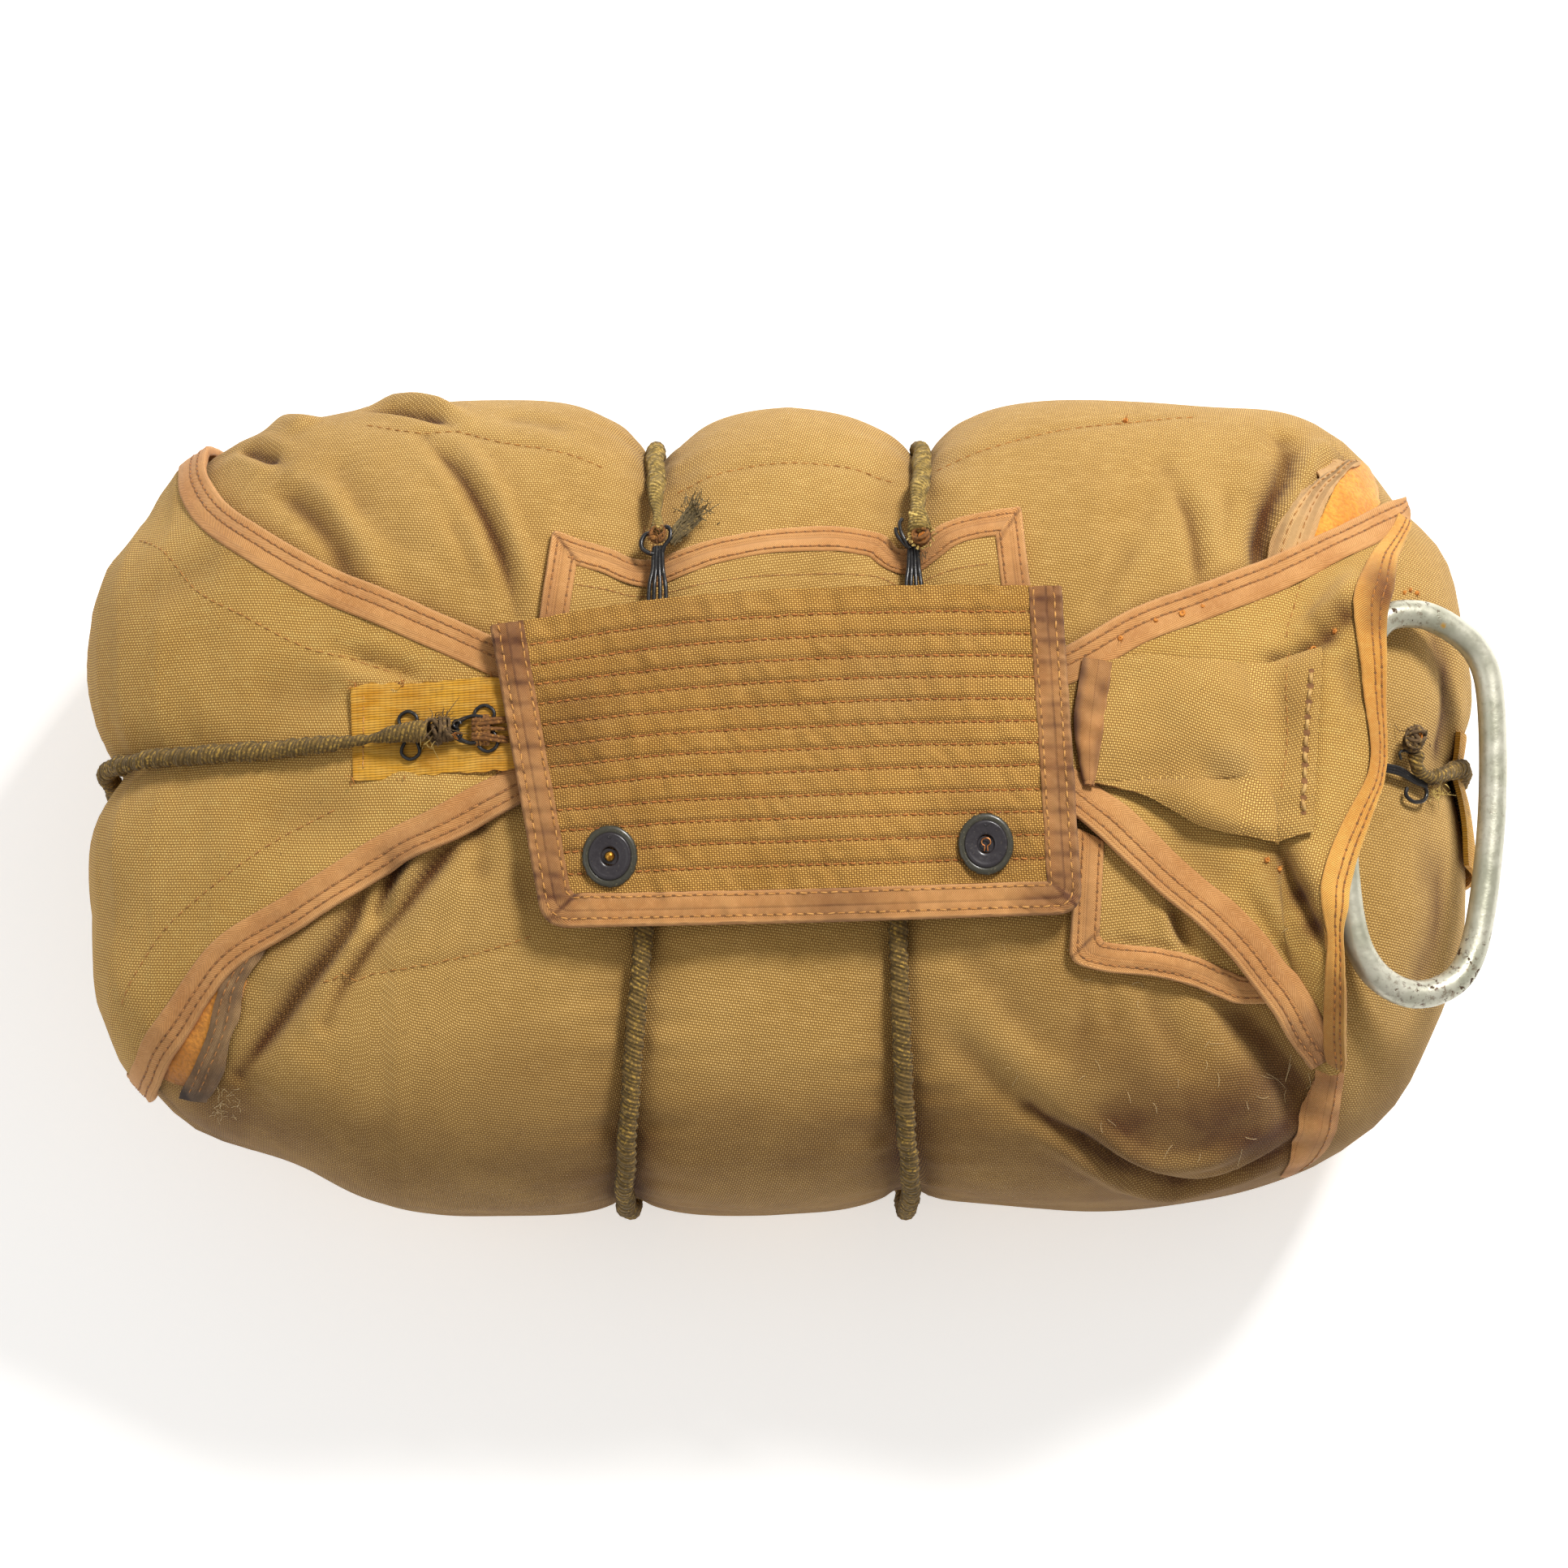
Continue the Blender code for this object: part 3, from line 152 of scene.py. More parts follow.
# Each fold: profile, width, height, and its route. A route point is x, y on the face, or x, y, z.
# ridge and trough are soft, and crease is a sharp valley.
PACK_FOLDS = (
    # upper left
    ("trough", 4.6, 3.4, ((-146, 90), (-142, 85), (-134, 77.5), (-128, 70), (-123, 61), (-118, 52))),
    ("ridge", 5.5, 2.4, ((-138, 88), (-127.5, 80), (-120.5, 70), (-114, 61), (-108, 52))),
    ("trough", 5.0, 1.2, ((-127, 98), (-124, 90), (-120, 81), (-116, 71))),
    (
        "crease", 4.0, 4.2,
        ((-101, 101), (-98, 97.5), (-90, 87.5), (-85, 79), (-80.5, 69), (-76.5, 59), (-73, 46)),
    ),
    ("ridge", 5.5, 2.6, ((-95, 97), (-85, 86), (-79, 75), (-75, 65), (-70.5, 54), (-68, 46))),
    ("ridge", 9.0, 1.4, ((-112, 92), (-104, 80), (-96, 66), (-90, 54))),
    ("trough", 7.0, 1.0, ((-66, 96), (-58, 84), (-54, 70))),
    ("crease", 3.6, 4.0, ((-118, 114, 105), (-107, 112, 113), (-100, 109, 118), (-94, 105))),
    ("ridge", 4.5, 3.6, ((-120, 118, 92), (-108, 115.5, 104), (-99, 112, 114), (-91, 107))),
    ("crease", 3.6, 4.4, ((-157, 101, 104), (-149, 98, 116), (-143, 95))),
    ("ridge", 6.0, 3.4, ((-146, 108, 92), (-141, 106, 104), (-134, 104, 113))),
    ("trough", 5.0, 1.6, ((-82, 109, 120), (-69, 106.5), (-58, 102))),
    ("trough", 20.0, 5.0, ((-196, 58, 78), (-188, 78, 80), (-176, 92, 84))),
    # lower left
    ("trough", 20.0, 5.5, ((-196, -48, 78), (-186, -72, 78), (-168, -94, 78))),
    ("trough", 2.7, 5.6, ((-102, -18), (-107.3, -27.9), (-110.4, -34.9), (-113.6, -41), (-116.7, -45.6))),
    ("trough", 3.2, 6.4, (
        (-110, -24), (-116.7, -34.8), (-120.7, -42.4), (-126.2, -50.8), (-134.2, -60), (-143.3, -71.8),
        (-153.6, -83.7),
    )),
    ("trough", 3.3, 6.4, (
        (-84, -14), (-89.3, -20), (-98.7, -29.6), (-105.7, -38), (-112.8, -45.7), (-119.9, -54.8),
        (-123.9, -61.6), (-127.2, -69.1),
    )),
    (
        "ridge", 4.0, 3.8,
        ((-93, -17), (-104, -32), (-110.5, -40.5), (-118.3, -49.5), (-124.7, -58), (-131, -68)),
    ),
    ("ridge", 4.4, 2.2, ((-121, -33), (-127, -42), (-136, -52), (-146, -62))),
    ("ridge", 4.6, 1.8, ((-84, -12), (-92, -25), (-100, -37), (-109, -48))),
    ("trough", 4.4, 1.8, ((-84, -8), (-83, -16), (-82.3, -25), (-83.3, -34))),
    ("trough", 4.0, 1.0, ((-72.5, -22), (-71.8, -31), (-70.6, -39))),
    ("ridge", 8.0, 1.6, ((-128, -76), (-136, -84), (-146, -92, 120))),
    # middle
    ("trough", 6.0, 1.0, ((-26, 94), (-27, 83), (-25, 73))),
    ("trough", 6.0, 1.0, ((31, 94), (31, 83), (28, 73))),
    # upper right
    ("trough", 4.2, 9.0, (
        (147, 101, 119), (147.8, 93.8), (145.5, 86.8), (142.4, 80.9), (140, 73.4), (138.6, 65.3), (137, 55),
    )),
    ("ridge", 6.0, 3.0, ((154.5, 97), (151.5, 91), (147.8, 83), (145.5, 75), (144, 66))),
    ("ridge", 4.4, 3.4, ((141, 68), (142, 76), (146, 84), (151.5, 92), (160, 99, 115), (168, 103, 105))),
    ("ridge", 7.0, 1.6, ((139, 97), (137.5, 90), (134, 80))),
    ("trough", 3.2, 2.6, ((113.5, 90), (115.6, 82.5), (118.6, 73.4), (120.3, 62.8), (120.4, 50))),
    ("ridge", 4.6, 1.4, ((124, 86), (124.5, 74), (124.5, 60))),
    ("trough", 5.0, 1.3, ((112.5, 99), (112, 96), (110, 87), (107.5, 78), (106, 70))),
    ("trough", 5.0, 1.6, ((102, 72), (100, 66), (96, 56), (92, 48), (88, 41))),
    ("trough", 4.5, 1.4, ((130, 86), (129.5, 80), (128.5, 70), (130, 60))),
    ("ridge", 9.0, 1.2, ((92, 90), (90, 74), (86, 58))),
    # right end
    ("crease", 6.0, 2.4, ((188, 48), (193, 34), (193, 18), (189, 4))),
    ("ridge", 6.0, 1.8, ((196, 46), (201, 30), (200, 14))),
    ("trough", 7.0, 2.0, ((186, -12), (190, -30), (189, -48), (182, -66))),
    # lower right
    ("crease", 4.2, 6.0, (
        (72, -94), (78, -98), (86.5, -102), (95.5, -106.5, 118), (105.5, -111, 110), (114, -113, 103),
        (121, -112.5, 100), (131, -110, 100), (140, -106.5, 103), (150, -101, 106),
    )),
    (
        "ridge", 5.0, 3.0,
        ((86, -98), (98, -103, 121), (108, -106, 117), (118, -107, 114), (128, -104, 114), (139, -98, 116)),
    ),
    ("ridge", 5.0, 2.2, ((76, -101), (92, -109, 115), (102, -114, 104), (117, -116, 92), (133, -112, 90))),
    ("trough", 6.0, 2.0, ((44, -68), (51.5, -76.5), (64, -88.5), (77, -97.5))),
    ("trough", 6.5, 1.6, ((48, -44), (53.5, -50.5), (64, -63.5), (72.5, -74), (84, -80))),
    ("ridge", 8.0, 1.6, ((60, -70), (72, -82), (84, -90))),
    ("trough", 6.0, 1.5, ((104, -58), (107.5, -64), (113.5, -74.5), (122, -84))),
    ("trough", 7.5, 7.0, ((122, -58), (131, -68), (141, -78), (149, -90), (149, -102, 108))),
    ("trough", 3.5, 2.6, ((113, -34), (113, -42), (115.5, -48))),
)

# Where the filled pack is drawn in a little, seen from the face: x, y, reach and depth.
LEANS = (
    (-190, 82, 30, 6.5), (-206, -30, 30, 5.0), (-150, -112, 26, 6.5), (-206, 20, 24, 3.0), (188, 92, 18, 6.5),
    (194, -70, 24, 4.0), (62, -122, 34, 3.4), (10, -122, 40, 1.6), (-112, -122, 24, -1.5),
    (152, 110, 18, -3.0),
)
# Small folds that fan out from a gather: x, y, first and last direction in degrees, reach from and to,
# and how many.
FANS = (
    (-72, 34, 96, 150, 22, 72, 7), (-80, -12, 225, 262, 18, 66, 5), (86, 40, 34, 84, 18, 60, 6),
    (84, -34, 272, 322, 20, 66, 6),
)

LEFT_FLAP_FOLDS = (
    ("crease", 3.5, 2.2, ((-124, 35), (-109, 30), (-98, 25))),
    ("ridge", 5.0, 1.8, ((-128, 31), (-112, 25), (-98, 20))),
    ("trough", 8.0, 1.6, ((-150, 22), (-135, 24), (-120, 26))),
    ("trough", 9.0, 1.4, ((-150, -12), (-132, -11), (-112, -9))),
    ("ridge", 7.0, 1.5, ((-100, -6), (-88, -8), (-76, -4))),
    ("trough", 8.0, 1.3, ((-186, 56), (-172, 60), (-156, 66))),
)
RIGHT_FLAP_FOLDS = (
    ("trough", 2.4, 3.4, ((141.5, -20), (144.5, -29), (147.8, -36.5), (151.2, -44), (154.5, -51))),
    ("ridge", 4.2, 2.6, ((147, -16), (150, -27), (154.5, -37), (158, -46))),
    ("ridge", 5.0, 1.6, ((132, -24), (138, -37), (145, -50))),
    ("crease", 3.0, 1.8, ((131, -33), (138, -44), (146, -56))),
    ("trough", 6.0, 1.9, ((108, -14), (118, -24), (128, -36))),
    ("ridge", 6.0, 1.8, ((152, 40), (160, 48), (166, 58))),
    ("trough", 5.0, 1.9, ((158, 34), (163, 26), (165, 16))),
    ("trough", 2.3, 2.4, ((136, 33), (143, 32.5), (150.7, 35), (156.9, 40), (161.4, 45), (166, 49))),
    ("ridge", 4.0, 1.8, ((150, 41), (158, 47), (166, 54))),
)


def smoothstep(low, high, value):
    """Rise smoothly from 0 at low to 1 at high."""
    t = np.clip((value - low) / (high - low), 0.0, 1.0)
    return t * t * (3.0 - 2.0 * t)


def bell(distance, width):
    """1 where distance is 0, falling off over width."""
    return np.exp(-((distance / width) ** 2))


def clamp(value):
    """A value kept between 0 and 1."""
    return np.clip(value, 0.0, 1.0)


def table(rows, column):
    """A column of a table in metres."""
    return np.array(rows[column]) * MM


def unit(vectors):
    """Vectors scaled to length 1."""
    return vectors / np.maximum(np.linalg.norm(vectors, axis=-1, keepdims=True), 1e-12)


# ---------------------------------------------------------------- the filled pack's shape


def end_scale(x, power):
    """How far the section at x has shrunk towards the pack's end."""
    return (1.0 - np.minimum(np.abs(x) / HALF_LENGTH, 1.0) ** power) ** (1.0 / power)


def base_point(x, angle):
    """A point of the pack before it is drawn in: x along it, angle from +Y towards +Z."""
    x, angle = np.broadcast_arrays(x, angle)
    across, up = np.cos(angle), np.sin(angle)
    power = np.where(up >= 0, FACE_POWER, BACK_POWER)
    reach = (np.abs(across) ** power + np.abs(up) ** power) ** (1.0 / power)
    upper = np.where(x < 0, *CORNER_POWERS["upper"])
    lower = np.where(x < 0, *CORNER_POWERS["lower"])
    upper_width = UPPER_HALF_WIDTH * end_scale(x, upper)
    lower_width = LOWER_HALF_WIDTH * end_scale(x, lower)
    width = np.where(across >= 0, upper_width, lower_width)
    height = np.where(up >= 0, CROWN_RISE, BACK_DROP) * end_scale(x, END_POWER)
    y = SPINE_Y + width * across / reach
    z = np.maximum(SPINE_Z + height * up / reach, 0.0)
    return np.stack([x, y, z], axis=-1)


def cross_line(side, y, z):
    """Where a cross band runs: its x at a place around the pack."""
    places, line = table(CROSS_ROWS, "y"), table(CROSS_ROWS, side)
    face = np.interp(y, places, line)
    back = np.interp(y, places[[0, -1]], line[[0, -1]])
    return back + (face - back) * smoothstep(0.040, 0.100, z)


def cross_depth(y, z):
    """How deep the cross bands draw the pack in."""
    depths = table(CROSS_ROWS, "depth")
    face = np.interp(y, table(CROSS_ROWS, "y"), depths)
    stops = np.array([-118, -100, 96, 112]) * MM
    back = np.interp(y, stops, [depths[0], BACK_GROOVE_DEPTH, BACK_GROOVE_DEPTH, depths[-1]])
    return back + (face - back) * smoothstep(0.020, 0.070, z)


def groove(distance, z):
    """The outline of a groove: wide on the face and sides, narrow on the flat back."""
    wide = np.exp(-np.maximum(distance - GROOVE_FLAT, 0.0) / GROOVE_SPREAD)
    narrow = 1.0 - smoothstep(GROOVE_FLAT, BACK_GROOVE_EDGE, distance)
    return narrow + (wide - narrow) * smoothstep(0.004, 0.040, z)


def end_depth(x, z):
    """How deep the end band draws the pack in, along the line over both ends and the back."""
    face = np.interp(x, table(END_ROWS, "x"), table(END_ROWS, "depth"))
    crossing = 1.0 - smoothstep(*CROSSING_REACH, np.abs(x))
    back = BACK_GROOVE_DEPTH + (CROSSING_DEPTH - BACK_GROOVE_DEPTH) * crossing
    return back + (face - back) * smoothstep(0.030, 0.075, z)


def lobe_drop(x, y):
    """The lobe between the cross bands stands lower than its neighbours on the upper side."""
    near = smoothstep(0.045, 0.025, np.abs(x - MIDDLE_STATION))
    return MIDDLE_LOBE_DROP * near * smoothstep(0.04, 0.10, y)


def band_distances(points):
    """How far points are from the three bands: left and right cross bands, end band."""
    x, y, z = points[..., 0], points[..., 1], points[..., 2]
    left, right = (np.abs(x - cross_line(side, y, z)) for side in ("left", "right"))
    return left, right, np.abs(y - SPINE_Y)


def displacement(points, bridge):
    """How far the surface moves out. bridge is how far cloth spans the cross grooves, 0 to 1."""
    x, y, z = points[..., 0], points[..., 1], points[..., 2]
    left, right, along = band_distances(points)
    dent = end_depth(x, z) * groove(along, z)
    for away in (left, right):
        dent = np.maximum(dent, (1.0 - bridge) * cross_depth(y, z) * groove(away, z))
    return -dent - lobe_drop(x, y) * (1.0 - bridge)


def spine_point(points):
    """The nearest point of the pack's spine."""
    x = np.clip(points[..., 0], -SPINE_REACH, SPINE_REACH)
    return np.stack([x, np.full_like(x, SPINE_Y), np.full_like(x, SPINE_Z)], axis=-1)


def grid_normals(grid, wrap=False):
    """Unit normals of a grid of points, pointing away from the spine."""
    if wrap:
        padded = np.concatenate([grid[:, -1:], grid, grid[:, :1]], axis=1)
        across = padded[:, 2:] - padded[:, :-2]
    else:
        across = np.gradient(grid, axis=1)
    normals = unit(np.cross(np.gradient(grid, axis=0), across))
    outward = np.sum(normals * (grid - spine_point(grid)), axis=-1, keepdims=True)
    return np.where(outward < 0, -normals, normals)


def spaced(density, low, high, count):
    """count places from low to high, packed closer where density is higher."""
    fine = np.linspace(low, high, 4000)
    total = np.concatenate([[0.0], np.cumsum((density(fine[1:]) + density(fine[:-1])) / 2)])
    return np.interp(np.linspace(0, total[-1], count), total, fine)


def end_stations(count):
    """Distances along the pack of the rings that round off an end, from the tip inwards."""
    power = np.mean([CORNER_POWERS["upper"], CORNER_POWERS["lower"]])
    turns = np.radians(np.linspace(1.6, 49.0, count))
    reach = (np.cos(turns) ** power + np.sin(turns) ** power) ** (1.0 / power)
    return HALF_LENGTH * np.cos(turns) / reach


def pack_angles(count):
    """Directions around a section, closer together on the face and at the end band's back groove."""

    def density(angle):
        point = base_point(np.zeros_like(angle), angle)
        step = np.linalg.norm(np.gradient(point, axis=0), axis=-1)
        under = smoothstep(0.03, 0.0, point[:, 2])
        near_band = bell(point[:, 1] - SPINE_Y, 0.008)
        low = smoothstep(0.085, 0.055, point[:, 2])
        return step * (1.0 - 0.35 * low) * (1.0 - 0.70 * under * (1.0 - near_band))

    return spaced(density, -math.pi / 2, math.pi * 1.5, count + 1)[:-1]


def pack_grid(stations, angles, bridge=0.0):
    """The pack's skin as a grid, a row per station and a column per angle."""
    x, angle = np.meshgrid(stations, angles, indexing="ij")
    plain = base_point(x, angle)
    for side in ("left", "right"):
        nominal = np.mean(table(CROSS_ROWS, side))
        shift = cross_line(side, plain[..., 1], plain[..., 2]) - nominal
        x = x + shift * bell(x - nominal, 0.040)
    points = base_point(x, angle)
    return points + grid_normals(points, wrap=True) * displacement(points, bridge)[..., None]


def pole_points():
    """The two ends of the pack, drawn in by the end band."""
    ends = []
    for sign in (-1, 1):
        tip = np.array([sign * HALF_LENGTH, SPINE_Y, SPINE_Z])
        ends.append(tip - np.array([sign * end_depth(tip[0], tip[2]), 0, 0]))
    return np.array(ends)


def ring_faces(rows, columns):
    """Faces of a tube of closed rings."""
    i, j = np.meshgrid(np.arange(rows - 1), np.arange(columns), indexing="ij")
    k = (j + 1) % columns
    quads = np.stack(
        [i * columns + j, i * columns + k, (i + 1) * columns + k, (i + 1) * columns + j], axis=-1,
    )
    return quads.reshape(-1, 4).tolist()


def pole_faces(rows, columns):
    """Fans from the first and the last ring to the two poles, whose points come last."""
    first, last = rows * columns, rows * columns + 1
    start = (rows - 1) * columns
    fans = []
    for j in range(columns):
        k = (j + 1) % columns
        fans += [[first, k, j], [last, start + j, start + k]]
    return fans


def surface_tree(points, faces):
    """A surface on which rays and nearest points can be found."""
    return BVHTree.FromPolygons([Vector(p) for p in points], faces)


class Skin:
    """Surfaces that cloth and hardware are laid on. A point goes on the outermost of them."""

    def __init__(self, *surfaces):
        self.trees = [surface_tree(points, faces) for points, faces in surfaces]

    def above(self, x, y):
        """The surface point straight below a plan position."""
        hits = [tree.ray_cast(Vector((x, y, RAY_START)), Vector((0, 0, -1)))[0] for tree in self.trees]
        hits = [hit for hit in hits if hit is not None]
        if not hits:
            return self.around((x, y, RIM_HEIGHT))
        return np.array(max(hits, key=lambda hit: hit.z))

    def around(self, point):
        """The surface point that a point is pushed to from the spine."""
        start = Vector(spine_point(np.asarray(point, dtype=float)))
        way = (Vector(point) - start).normalized()
        hits = [tree.ray_cast(start, way)[0] for tree in self.trees]
        hits = [hit for hit in hits if hit is not None]
        return np.array(max(hits, key=lambda hit: (hit - start).length))

    def seat(self, *place):
        """A point on the surface from a plan position, or from a rough position in space, in mm."""
        if len(place) == 2:
            return self.above(place[0] * MM, place[1] * MM)
        return self.around(np.array(place) * MM)

    def normal(self, x, y):
        """The surface's slope at a plan position, in metres."""
        east = self.above(x + SLOPE_STEP, y) - self.above(x - SLOPE_STEP, y)
        north = self.above(x, y + SLOPE_STEP) - self.above(x, y - SLOPE_STEP)
        return unit(np.cross(east, north))

    def lifted(self, x, y, lift):
        """A point above a plan position, moved out along the surface's slope, in mm."""
        return self.above(x * MM, y * MM) + lift * MM * self.normal(x * MM, y * MM)


def coarse_stations(count):
    """Sections of the pack without its folds: its rounded ends and an even count between them."""
    ends = end_stations(9)
    return np.concatenate([-ends, np.linspace(-0.155, 0.155, count), ends[::-1]])


def smooth_surface(bridge):
    """The pack's surface without its folds, as points and faces."""
    angles = np.linspace(0.0, math.tau, 144, endpoint=False)
    grid = pack_grid(coarse_stations(105), angles, bridge)
    rows, columns = grid.shape[:2]
    points = np.concatenate([grid.reshape(-1, 3), pole_points()])
    return points, ring_faces(rows, columns) + pole_faces(rows, columns)


# ---------------------------------------------------------------- folds and small waves

PROFILES = {
    "ridge": lambda q: np.exp(-q * q),
    "trough": lambda q: -np.exp(-q * q),
    "crease": lambda q: 0.30 * bell(np.abs(q) - 1.55, 0.7) - np.exp(-1.5 * np.abs(q) ** 1.15),
}


def fold_height(points, folds, skin):
    """The height that a table of folds adds to surface points."""
    flat_points = points.reshape(-1, 3)
    height = np.zeros(len(flat_points))
    for profile, width, rise, places in folds:
        line = edge(skin, places, 4 * len(places))
        reach = 3.0 * width * MM
        low, high = line.min(axis=0) - reach, line.max(axis=0) + reach
        near = np.all((flat_points > low) & (flat_points < high), axis=1)
        chosen = flat_points[near]
        nearest, along = np.full(len(chosen), np.inf), np.zeros(len(chosen))
        for k, (start, end) in enumerate(zip(line, line[1:])):
            run = end - start
            t = clamp((chosen - start) @ run / (run @ run))
            distance = np.linalg.norm(chosen - start - t[:, None] * run, axis=1)
            along = np.where(distance < nearest, (k + t) / (len(line) - 1), along)
            nearest = np.minimum(distance, nearest)
        fade = smoothstep(0.0, 0.3, along) * smoothstep(1.0, 0.7, along)
        past_end = np.exp(-((nearest / (width * MM)) ** 2) * 0.15)
        taper = 0.25 + 0.75 * fade
        height[near] += rise * MM * PROFILES[profile](nearest / (width * MM)) * taper * past_end
    return height.reshape(points.shape[:-1])


def waves(points, length, seed, stretch=(1.0, 1.0, 1.0)):
    """Smooth random waves of about the given length, from -1 to 1, the same on every run."""
    rng = np.random.default_rng(seed)
    total = np.zeros(points.shape[:-1])
    for _ in range(14):
        way = unit(rng.normal(size=3)) * np.array(stretch)
        turns = math.tau / length * rng.uniform(0.6, 1.7)
        total += np.sin(points @ way * turns + rng.uniform(0, math.tau))
    return total / 6.0


def smooth_path(points, count):
    """count points evenly spaced on a smooth curve through the given points."""
    points = np.array(points, dtype=float)
    ends = [2 * points[0] - points[1], 2 * points[-1] - points[-2]]
    return even_spacing(catmull_rom(np.concatenate([ends[:1], points, ends[1:]])), count)


def closed_path(points, count):
    """count points evenly spaced on a smooth closed curve through the given points."""
    points = np.array(points, dtype=float)
    padded = np.concatenate([points[-1:], points, points[:2]])
    return even_spacing(catmull_rom(padded), count + 1)[:-1]


def catmull_rom(padded):
    """A Catmull-Rom curve through all but the first and last points, in 16 steps from point to point."""
    t = (np.arange(16) / 16)[:, None]
    curve = []
    for a, b, c, d in zip(padded, padded[1:], padded[2:], padded[3:]):
        cubic = (3 * b - a - 3 * c + d) * t**3 + (2 * a - 5 * b + 4 * c - d) * t**2
        curve.append(0.5 * (cubic + (c - a) * t) + b)
    return np.concatenate(curve + [padded[-2:-1]])


def path_lengths(points):
    """Distance along a line of points, from its start."""
    return np.concatenate([[0.0], np.cumsum(np.linalg.norm(np.diff(points, axis=0), axis=1))])


def row_lengths(grid):
    """Distance along each row of a grid, from its first point."""
    steps = np.linalg.norm(np.diff(grid, axis=1), axis=-1)
    return np.concatenate([np.zeros((len(grid), 1)), np.cumsum(steps, axis=1)], axis=1)


def along_line(places, lengths, values):
    """The values of a line's points at some distances along it."""
    return np.stack([np.interp(places, lengths, column) for column in values.T], axis=-1)


def even_spacing(curve, count):
    """Resample a polyline at equal steps."""
    lengths = path_lengths(curve)
    return along_line(np.linspace(0, lengths[-1], count), lengths, curve)


# ---------------------------------------------------------------- meshes


def add_mesh(name, points, faces, finish, cad=(), corner_uvs=None, values=None, sharp=40):
    """A piece with its faces turned outwards. corner_uvs is a UV per face corner, in metres."""
    mesh = bpy.data.meshes.new(name)
    mesh.from_pydata(np.asarray(points).tolist(), [], faces)
    if corner_uvs is not None:
        layer = mesh.uv_layers.new(name="cloth")
        layer.data.foreach_set("uv", np.asarray(corner_uvs, dtype=np.float32).ravel())
    for key, numbers in (values or {}).items():
        attribute = mesh.attributes.new(key, "FLOAT", "POINT")
        attribute.data.foreach_set("value", np.asarray(numbers, dtype=np.float32).ravel())
    work = bmesh.new()
    work.from_mesh(mesh)
    bmesh.ops.recalc_face_normals(work, faces=work.faces)
    work.to_mesh(mesh)
    work.free()
    mesh.materials.append(finish)
    mesh.shade_smooth()
    mesh.set_sharp_from_angle(angle=math.radians(sharp))
    thing = bpy.data.objects.new(name, mesh)
    bpy.context.scene.collection.objects.link(thing)
    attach(thing, "root")
    if cad:
        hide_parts(*cad)
    return thing


def grid_faces(rows, columns):
    """Quads of a grid of points."""
    i, j = np.meshgrid(np.arange(rows - 1), np.arange(columns - 1), indexing="ij")
    a, b = i * columns + j, (i + 1) * columns + j
    return np.stack([a, a + 1, b + 1, b], axis=-1).reshape(-1, 4)


def grid_surface(grid):
    """A grid of points as the points and faces of a surface."""
    return grid.reshape(-1, 3), grid_faces(*grid.shape[:2]).tolist()


def face_corners(faces):
    """The point at every corner of faces, one after another."""
    return np.concatenate([np.array(face) for face in faces])


def grid_uvs(grid):
    """Cloth coordinates of a grid in metres, along its middle line and across from it."""
    middle = grid.shape[1] // 2
    along = path_lengths(grid[:, middle])[:, None]
    across = row_lengths(grid)
    across = across - across[:, middle : middle + 1]
    return np.stack([np.broadcast_to(along, across.shape), across], axis=-1)


def sheet_mesh(name, top, thickness, finish, cad, values=None, cut=None):
    """Cloth of even thickness below a grid of its upper side's points. cut gives its cloth coordinates."""
    normals = grid_normals(top)
    low = top - normals * thickness
    rows, columns = top.shape[:2]
    count = rows * columns
    quads = grid_faces(rows, columns)
    rim = [(0, j) for j in range(columns)] + [(i, columns - 1) for i in range(1, rows)]
    rim += [(rows - 1, j) for j in range(columns - 2, -1, -1)] + [(i, 0) for i in range(rows - 2, 0, -1)]
    rim = np.array([i * columns + j for i, j in rim])
    after = np.roll(rim, -1)
    sides = np.stack([rim, after, count + after, count + rim], axis=-1)
    faces = np.concatenate([quads[:, ::-1], quads + count, sides])
    points = np.concatenate([low.reshape(-1, 3), top.reshape(-1, 3)])
    uvs = np.tile((grid_uvs(top) if cut is None else cut).reshape(-1, 2), (2, 1))
    doubled = {key: np.tile(np.ravel(numbers), 2) for key, numbers in (values or {}).items()}
    return add_mesh(name, points, faces.tolist(), finish, cad, uvs[faces.ravel()], doubled, sharp=50)


def tube_mesh(rings, closed=False):
    """Points and faces of a tube through rings of points, capped at its ends unless it is closed."""
    rows, columns = rings.shape[:2]
    points = rings.reshape(-1, 3)
    faces = ring_faces(rows, columns)
    if closed:
        start = (rows - 1) * columns
        for j in range(columns):
            k = (j + 1) % columns
            faces.append([start + j, start + k, k, j])
        return points, faces
    capped = np.concatenate([points, rings[:1].mean(axis=1), rings[-1:].mean(axis=1)])
    return capped, faces + pole_faces(rows, columns)


def route_frames(route, closed=False):
    """Tangents and two sideways directions along a route, turning as little as possible."""
    if closed:
        tangents = unit(np.roll(route, -1, axis=0) - np.roll(route, 1, axis=0))
    else:
        tangents = unit(np.gradient(route, axis=0))
    side = np.cross(tangents[0], (0.0, 0.0, 1.0))
    if np.linalg.norm(side) < 0.1:
        side = np.cross(tangents[0], (0.0, 1.0, 0.0))
    sides = []
    for tangent in tangents:
        side = unit(side - tangent * (side @ tangent))
        sides.append(side)
    sides = np.array(sides)
    return tangents, sides, np.cross(tangents, sides)


